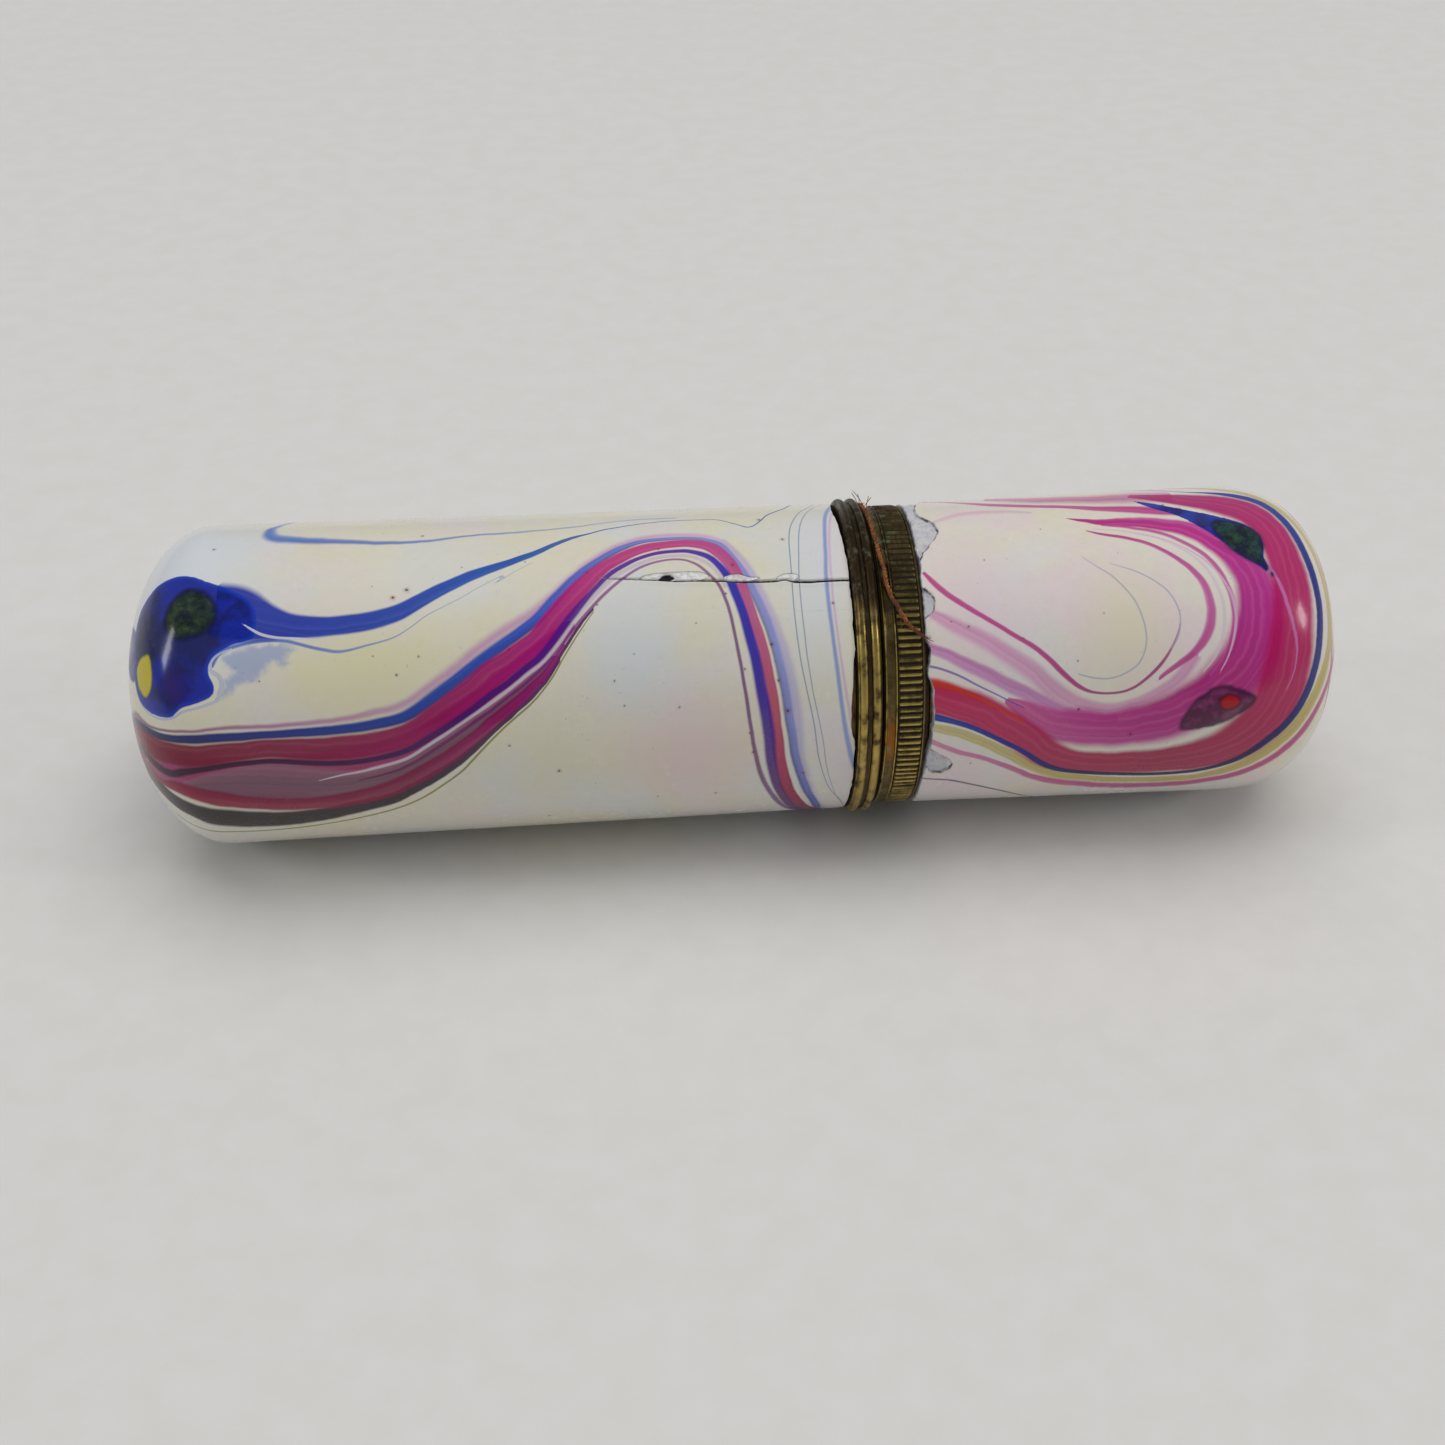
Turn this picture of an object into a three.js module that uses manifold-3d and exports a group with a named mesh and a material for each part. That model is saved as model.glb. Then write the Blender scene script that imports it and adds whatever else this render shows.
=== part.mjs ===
// A round two-part lipstick case: a marbled, lacquer-coated brass cap that pulls off a
// marbled base, with a screw-up mechanism between them. Millimetres, +Z up. The case lies
// on its side with its axis along X, the base end towards +X and the cap end towards -X.
import * as THREE from "three";
import { mergeVertices } from "three/addons/utils/BufferGeometryUtils.js";
import Module from "manifold-3d";

const wasm = await Module();
wasm.setup();

// ---------------------------------------------------------------- driving dimensions
// Every axial station is measured from the base end (0) towards the cap end (LENGTH).
const LENGTH = 74.0;
const SEG = 32; // facets round the axis
const PHASE = Math.PI / SEG; // a flat of each ring faces straight down

const END_FLAT_R = 3.0; // small flat at both ends, to stand the case on
const BASE_R_END = 9.66; // outside of the coating where the base's dome starts
const BASE_R_MOUTH = 9.42;
const BASE_DOME = 7.3; // axial depth of the rounded end
const BASE_POWER = 2.7; // superellipse power: 2 is an ellipse
const BASE_COAT_TOP = 26.38;
const CAP_R_END = 9.84;
const CAP_R_MOUTH = 9.57;
const CAP_DOME = 5.6;
const CAP_POWER = 2.05;
const CAP_COAT_FOOT = 30.7;
const COAT = 0.62; // least thickness of the coating
const COAT_GAP = 0.05;

const SHELL_WALL = 0.3;
const BASE_SHELL_R = 8.7;
const BASE_SHELL_TOP = 26.15;
const CAP_SHELL_R = 8.8;
const CAP_SHELL_FOOT = 29.5;

const BEAD_R = 9.86; // crest of the cap's beaded mouth ring
const BEAD_FOOT = 29.1;
const BEAD_TOP = 30.62;

const KNURL_R = 9.36; // crest of the knurling
const KNURL_DEPTH = 0.2;
const KNURL_COUNT = 132;
const KNURL_FOOT = 26.66;
const KNURL_TOP = 28.16;
const COLLAR_FOOT = 26.46;
const COLLAR_TOP = 28.98;
const COLLAR_BORE = 8.1;

const SLEEVE_R = 8.02; // outer sleeve, which the cap slides over
const SLEEVE_BORE = 7.72;
const SLEEVE_FOOT = 22.0;
const SLEEVE_TOP = 50.5;

const SPIRAL_R = 7.65;
const SPIRAL_BORE = 7.05;
const SPIRAL_FOOT = 15.5;
const SPIRAL_TOP = 48.9;
const SPIRAL_SLOT = 2.3; // axial width of each helical slot
const TURNS = 1.5;

const TUBE_R = 6.95; // slotted inner tube
const TUBE_BORE = 6.55;
const TUBE_FOOT = 14.9;
const TUBE_TOP = 49.9;
const TUBE_SLOT = 2.1;

const CUP_R = 6.45; // carrier cup
const CUP_BORE = 6.12;
const CUP_FOOT = 17.3;
const CUP_FLOOR = 20.5;
const CUP_TOP = 28.3;
const LUG_R = 0.9;
const LUG_AT = 18.8; // station of the lugs with the stick wound down
const TRAVEL = 20.0;

const STICK_R = 6.03;
const STICK_FOOT = 21.1;
const STICK_TOP = 48.6;

// ---------------------------------------------------------------- helpers
const V = (r, y) => new THREE.Vector2(r, y);

// A turned piece from its outline in (radius, station). An outline that doesn't touch the
// axis is closed on itself; it is put in the order that faces outwards.
function turned(outline, segments = SEG, phase = PHASE) {
  let pts = outline.map(([r, y]) => V(r, y));
  let area = 0;
  for (let i = 0; i < pts.length; i++) {
    const a = pts[i], b = pts[(i + 1) % pts.length];
    area += a.x * b.y - b.x * a.y;
  }
  if (area < 0) pts.reverse();
  const onAxis = pts.filter((p) => p.x === 0).length === 2;
  if (onAxis) while (!(pts[0].x === 0 && pts[pts.length - 1].x === 0)) pts.push(pts.shift());
  else pts.push(pts[0].clone());
  return new THREE.LatheGeometry(pts, segments, phase);
}

function solid(geometry) {
  const g = (geometry.index ? geometry.toNonIndexed() : geometry.clone());
  for (const k of Object.keys(g.attributes)) if (k !== "position") g.deleteAttribute(k);
  const m = mergeVertices(g, 1e-4);
  return new wasm.Manifold(new wasm.Mesh({
    numProp: 3,
    vertProperties: new Float32Array(m.attributes.position.array),
    triVerts: new Uint32Array(m.index.array),
  }));
}

function geometryOf(manifold) {
  const m = manifold.getMesh();
  const v = new Float32Array(m.numVert * 3);
  for (let i = 0; i < m.numVert; i++) v.set(m.vertProperties.subarray(i * m.numProp, i * m.numProp + 3), i * 3);
  const g = new THREE.BufferGeometry();
  g.setAttribute("position", new THREE.BufferAttribute(v, 3));
  g.setIndex(new THREE.BufferAttribute(new Uint32Array(m.triVerts), 1));
  g.computeVertexNormals();
  return g;
}

// The outline of a rounded end, a superellipse, from the end flat's edge out to the full radius.
// Stations run from `end` inwards along `direction`.
function dome(radius, depth, power, end, direction, flat, steps) {
  const t0 = Math.asin((flat / radius) ** (power / 2));
  const c = depth * (1 - Math.cos(t0) ** (2 / power));
  const pts = [];
  for (let i = 0; i <= steps; i++) {
    const t = t0 + ((Math.PI / 2 - t0) * i) / steps;
    const cos = i === steps ? 0 : Math.cos(t);
    pts.push([radius * Math.sin(t) ** (2 / power), end + direction * (depth * (1 - cos ** (2 / power)) - c)]);
  }
  return pts;
}

const materials = {
  marbledBase: new THREE.MeshStandardMaterial({ color: 0xc2336f, roughness: 0.22, metalness: 0 }),
  marbledCap: new THREE.MeshStandardMaterial({ color: 0xe2dcc4, roughness: 0.22, metalness: 0 }),
  oldBrass: new THREE.MeshStandardMaterial({ color: 0x6f6035, roughness: 0.42, metalness: 1 }),
  brass: new THREE.MeshStandardMaterial({ color: 0xb08d3e, roughness: 0.3, metalness: 1 }),
  steel: new THREE.MeshStandardMaterial({ color: 0x8d9094, roughness: 0.45, metalness: 1 }),
  fibre: new THREE.MeshStandardMaterial({ color: 0x5b3a26, roughness: 0.9, metalness: 0 }),
  felt: new THREE.MeshStandardMaterial({ color: 0x7b6f63, roughness: 1, metalness: 0 }),
  wax: new THREE.MeshStandardMaterial({ color: 0x9b1330, roughness: 0.38, metalness: 0 }),
};

const lipstickCase = new THREE.Group();
// The turned pieces' own axis is +Y: it is laid over towards -X, with the lowest flat on Z = 0.
lipstickCase.rotation.z = Math.PI / 2;
lipstickCase.position.set(LENGTH / 2, 0, BEAD_R * Math.cos(Math.PI / SEG));

function add(group, name, geometry, material) {
  const mesh = new THREE.Mesh(geometry, material);
  mesh.name = name;
  group.add(mesh);
  return mesh;
}

const base = new THREE.Group();
const swivel = new THREE.Group();
const carrier = new THREE.Group();
const cap = new THREE.Group();
lipstickCase.add(base, swivel, carrier, cap);

// ---------------------------------------------------------------- base
{
  const out = dome(BASE_R_END, BASE_DOME, BASE_POWER, 0, 1, END_FLAT_R, 6);
  const shellDepth = BASE_DOME - 0.75;
  const inn = dome(BASE_SHELL_R + COAT_GAP, shellDepth, BASE_POWER, COAT + 0.1, 1, END_FLAT_R - 0.3, 4);
  add(base, "base_coating", turned([
    [0, 0], ...out, [BASE_R_MOUTH, BASE_COAT_TOP],
    [BASE_SHELL_R + COAT_GAP, BASE_COAT_TOP], ...inn.reverse(), [0, COAT + 0.1],
  ]), materials.marbledBase);

  const sOut = dome(BASE_SHELL_R, shellDepth, BASE_POWER, COAT + 0.16, 1, END_FLAT_R - 0.3, 4);
  const sIn = dome(BASE_SHELL_R - SHELL_WALL, shellDepth - 0.3, BASE_POWER, COAT + 0.16 + SHELL_WALL, 1, END_FLAT_R - 0.6, 4);
  add(base, "base_shell", turned([
    [0, COAT + 0.16], ...sOut, [BASE_SHELL_R, BASE_SHELL_TOP],
    [BASE_SHELL_R - SHELL_WALL, BASE_SHELL_TOP], ...sIn.reverse(), [0, COAT + 0.16 + SHELL_WALL],
  ]), materials.oldBrass);

  // The weight fills the foot of the shell. The rivet's shank passes through its middle.
  add(base, "base_weight", turned([
    [1.0, 7.0], [7.9, 7.0], [8.32, 7.4], [8.32, 14.5], [1.0, 14.5],
  ]), materials.steel);

  const tube = solid(turned([
    [1.0, TUBE_FOOT], [8.2, TUBE_FOOT], [8.2, TUBE_FOOT + 0.4], [TUBE_R, TUBE_FOOT + 0.4],
    [TUBE_R, TUBE_TOP], [TUBE_BORE, TUBE_TOP], [TUBE_BORE, TUBE_FOOT + 0.4], [1.0, TUBE_FOOT + 0.4],
  ]));
  const slotFoot = LUG_AT - LUG_R - 0.2;
  const slotTop = LUG_AT + TRAVEL + LUG_R + 0.2;
  const slot = new THREE.BoxGeometry(3, slotTop - slotFoot, TUBE_SLOT);
  slot.translate(6.6, (slotTop + slotFoot) / 2, 0);
  const other = slot.clone();
  other.rotateY(Math.PI);
  add(base, "slotted_tube", geometryOf(tube.subtract(solid(slot)).subtract(solid(other))), materials.brass);

  add(base, "tube_rivet", turned([
    [0, 6.2], [1.6, 6.2], [1.8, 6.6], [1.8, 6.95], [0.9, 6.95], [0.9, TUBE_FOOT + 0.45],
    [1.9, TUBE_FOOT + 0.45], [1.9, TUBE_FOOT + 0.8], [1.2, TUBE_FOOT + 1.25], [0, TUBE_FOOT + 1.35],
  ], 20, PHASE), materials.brass);

  add(base, "retaining_ring", turned([
    [TUBE_R + 0.05, 49.1], [7.6, 49.1], [7.6, 49.7], [TUBE_R + 0.05, 49.7],
  ]), materials.brass);

  add(base, "brake_band", turned([
    [8.1, 22.4], [8.35, 22.4], [8.35, 25.4], [8.1, 25.4],
  ]), materials.felt);

  add(base, "thrust_washer", turned([
    [8.12, 26.2], [8.66, 26.2], [8.66, 26.42], [8.12, 26.42],
  ]), materials.fibre);
}

// ---------------------------------------------------------------- swivel
{
  // Knurled collar: a plain foot rim, the knurled band, then a plain band with two fine ridges.
  const blank = solid(turned([
    [COLLAR_BORE, COLLAR_FOOT], [9.18, COLLAR_FOOT], [9.27, COLLAR_FOOT + 0.07], [9.27, KNURL_FOOT],
    [KNURL_R - KNURL_DEPTH - 0.05, KNURL_FOOT], [KNURL_R - KNURL_DEPTH - 0.05, KNURL_TOP],
    [9.27, KNURL_TOP], [9.36, KNURL_TOP + 0.1], [9.27, KNURL_TOP + 0.22], [9.25, COLLAR_TOP - 0.28],
    [9.36, COLLAR_TOP - 0.14], [9.27, COLLAR_TOP - 0.03], [9.12, COLLAR_TOP], [COLLAR_BORE, COLLAR_TOP],
  ]));
  const star = new THREE.Shape();
  for (let i = 0; i < 2 * KNURL_COUNT; i++) {
    const a = (i * Math.PI) / KNURL_COUNT;
    const r = i % 2 ? KNURL_R - KNURL_DEPTH : KNURL_R;
    if (i) star.lineTo(r * Math.cos(a), r * Math.sin(a));
    else star.moveTo(r, 0);
  }
  star.closePath();
  const hole = new THREE.Path();
  hole.absarc(0, 0, 8.7, 0, 2 * Math.PI, true);
  star.holes.push(hole);
  const teeth = new THREE.ExtrudeGeometry(star, { depth: KNURL_TOP - KNURL_FOOT, bevelEnabled: false, curveSegments: 10 });
  teeth.rotateX(-Math.PI / 2);
  teeth.translate(0, KNURL_FOOT, 0);
  add(swivel, "knurled_collar", geometryOf(blank.add(solid(teeth))), materials.oldBrass);

  add(swivel, "outer_sleeve", turned([
    [SLEEVE_BORE, SLEEVE_FOOT], [SLEEVE_R, SLEEVE_FOOT], [SLEEVE_R, SLEEVE_TOP - 0.3], [SLEEVE_R - 0.3, SLEEVE_TOP],
    [7.1, SLEEVE_TOP], [7.1, SLEEVE_TOP - 0.35], [SLEEVE_BORE, SLEEVE_TOP - 0.35],
  ]), materials.brass);

  // Two helical slots, half a turn apart, carry the lugs up as the sleeve turns.
  const blankSpiral = solid(turned([
    [SPIRAL_BORE, SPIRAL_FOOT], [SPIRAL_R, SPIRAL_FOOT], [SPIRAL_R, SPIRAL_TOP], [SPIRAL_BORE, SPIRAL_TOP],
  ]));
  const over = 0.16; // radians past the lug's centre at both ends
  const helix = (start) => {
    const bar = new THREE.BoxGeometry(1.6, SPIRAL_SLOT, 1, 1, 1, 32);
    const p = bar.attributes.position;
    const sweep = TURNS * 2 * Math.PI + 2 * over;
    for (let i = 0; i < p.count; i++) {
      const t = (p.getZ(i) + 0.5) * sweep - over; // angle turned from rest
      const r = (SPIRAL_R + SPIRAL_BORE) / 2 + p.getX(i);
      const a = start - t;
      const y = LUG_AT + (TRAVEL * t) / (TURNS * 2 * Math.PI) + p.getY(i);
      p.setXYZ(i, r * Math.sin(a), y, r * Math.cos(a));
    }
    return solid(bar);
  };
  add(swivel, "spiral_sleeve", geometryOf(
    blankSpiral.subtract(helix(Math.PI / 2)).subtract(helix(-Math.PI / 2)),
  ), materials.brass);
}

// ---------------------------------------------------------------- carrier and stick
{
  const cup = solid(turned([
    [0, CUP_FLOOR], [CUP_R - 0.6, CUP_FLOOR], [CUP_R - 0.6, CUP_FOOT], [CUP_R, CUP_FOOT], [CUP_R, CUP_TOP],
    [CUP_BORE, CUP_TOP], [CUP_BORE, CUP_FLOOR + 0.5], [0, CUP_FLOOR + 0.5],
  ]));
  const drill = new THREE.CylinderGeometry(LUG_R + 0.1, LUG_R + 0.1, 16, 20);
  drill.rotateZ(Math.PI / 2);
  drill.translate(0, LUG_AT, 0);
  add(carrier, "carrier_cup", geometryOf(cup.subtract(solid(drill))), materials.brass);

  for (const [name, side] of [["lug_pin_front", -1], ["lug_pin_back", 1]]) {
    // A stepped pin: its head bears on the inside of the cup's skirt.
    const pin = turned([[0, 5.1], [1.3, 5.1], [1.3, 5.6], [LUG_R, 5.6], [LUG_R, 7.5], [LUG_R - 0.15, 7.6], [0, 7.6]], 20, 0);
    const mesh = add(carrier, name, pin, materials.steel);
    mesh.rotation.z = -side * Math.PI / 2;
    mesh.position.set(0, LUG_AT, 0);
  }

  // The stick: a cylinder with a slanted, slightly rounded cut at the tip.
  const stick = solid(turned([
    [0, STICK_FOOT], [STICK_R, STICK_FOOT], [STICK_R, STICK_TOP - 2.6], [STICK_R - 0.35, STICK_TOP - 1.2],
    [STICK_R - 1.6, STICK_TOP - 0.35], [STICK_R - 3.2, STICK_TOP], [0, STICK_TOP],
  ]));
  const cut = new THREE.BoxGeometry(30, 14, 30);
  cut.translate(0, 7, 0);
  cut.rotateX(0.62);
  cut.translate(0, STICK_TOP - 3.4, 0);
  add(carrier, "lipstick_stick", geometryOf(stick.subtract(solid(cut))), materials.wax);
}

// ---------------------------------------------------------------- cap
{
  const shellDepth = CAP_DOME - 0.65;
  const out = dome(CAP_R_END, CAP_DOME, CAP_POWER, LENGTH, -1, END_FLAT_R, 6);
  const inn = dome(CAP_SHELL_R + COAT_GAP, shellDepth, CAP_POWER, LENGTH - COAT - 0.1, -1, END_FLAT_R - 0.3, 4);
  add(cap, "cap_coating", turned([
    [0, LENGTH], ...out, [CAP_R_MOUTH, CAP_COAT_FOOT],
    [CAP_SHELL_R + COAT_GAP, CAP_COAT_FOOT], ...inn.reverse(), [0, LENGTH - COAT - 0.1],
  ]), materials.marbledCap);

  const end = LENGTH - COAT - 0.16;
  const sOut = dome(CAP_SHELL_R, shellDepth, CAP_POWER, end, -1, END_FLAT_R - 0.3, 4);
  const sIn = dome(CAP_SHELL_R - SHELL_WALL, shellDepth - 0.3, CAP_POWER, end - SHELL_WALL, -1, END_FLAT_R - 0.6, 4);
  add(cap, "cap_shell", turned([
    [0, end], ...sOut, [CAP_SHELL_R, CAP_SHELL_FOOT],
    [CAP_SHELL_R - SHELL_WALL, CAP_SHELL_FOOT], ...sIn.reverse(), [0, end - SHELL_WALL],
  ]), materials.oldBrass);

  // Mouth ring: two rounded beads side by side, turned in over the shell's edge.
  add(cap, "bead_ring", turned([
    [8.14, BEAD_FOOT], [9.46, BEAD_FOOT], [9.74, BEAD_FOOT + 0.14], [BEAD_R, BEAD_FOOT + 0.36],
    [9.76, BEAD_FOOT + 0.56], [9.66, BEAD_FOOT + 0.74], [9.78, BEAD_FOOT + 0.9], [BEAD_R, BEAD_FOOT + 1.12],
    [9.78, BEAD_FOOT + 1.38], [9.6, BEAD_TOP], [CAP_SHELL_R + 0.06, BEAD_TOP],
    [CAP_SHELL_R + 0.06, BEAD_FOOT + 0.32], [8.14, BEAD_FOOT + 0.32],
  ]), materials.oldBrass);

  // A split brass liner grips the outer sleeve.
  const liner = solid(turned([
    [8.12, CAP_SHELL_FOOT + 0.1], [8.42, CAP_SHELL_FOOT + 0.1], [8.42, 49.4], [8.12, 49.4],
  ]));
  const slit = new THREE.BoxGeometry(1.2, 30, 4);
  slit.translate(0, 40, 8.3);
  slit.rotateY(2.4);
  add(cap, "cap_liner", geometryOf(liner.subtract(solid(slit))), materials.brass);
}

export default lipstickCase;
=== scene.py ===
import math

import bpy
import numpy as np
from mathutils import Matrix, Vector


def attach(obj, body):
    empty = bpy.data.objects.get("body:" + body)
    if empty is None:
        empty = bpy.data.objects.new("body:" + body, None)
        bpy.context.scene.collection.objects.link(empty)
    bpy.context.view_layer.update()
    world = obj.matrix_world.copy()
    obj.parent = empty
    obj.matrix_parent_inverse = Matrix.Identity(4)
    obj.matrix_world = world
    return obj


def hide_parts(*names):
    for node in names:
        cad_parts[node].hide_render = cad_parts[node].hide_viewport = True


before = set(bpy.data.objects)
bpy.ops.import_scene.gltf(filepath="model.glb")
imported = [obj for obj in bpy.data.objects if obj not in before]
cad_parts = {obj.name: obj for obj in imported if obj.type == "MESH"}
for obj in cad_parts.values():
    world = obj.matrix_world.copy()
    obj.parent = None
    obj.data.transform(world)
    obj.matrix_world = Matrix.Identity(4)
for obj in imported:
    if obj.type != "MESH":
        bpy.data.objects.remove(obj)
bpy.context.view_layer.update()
rng = np.random.default_rng(11)

MM = 0.001
AXIS_Z = 9.86 * math.cos(math.pi / 32)  # height of the case's axis

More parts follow.
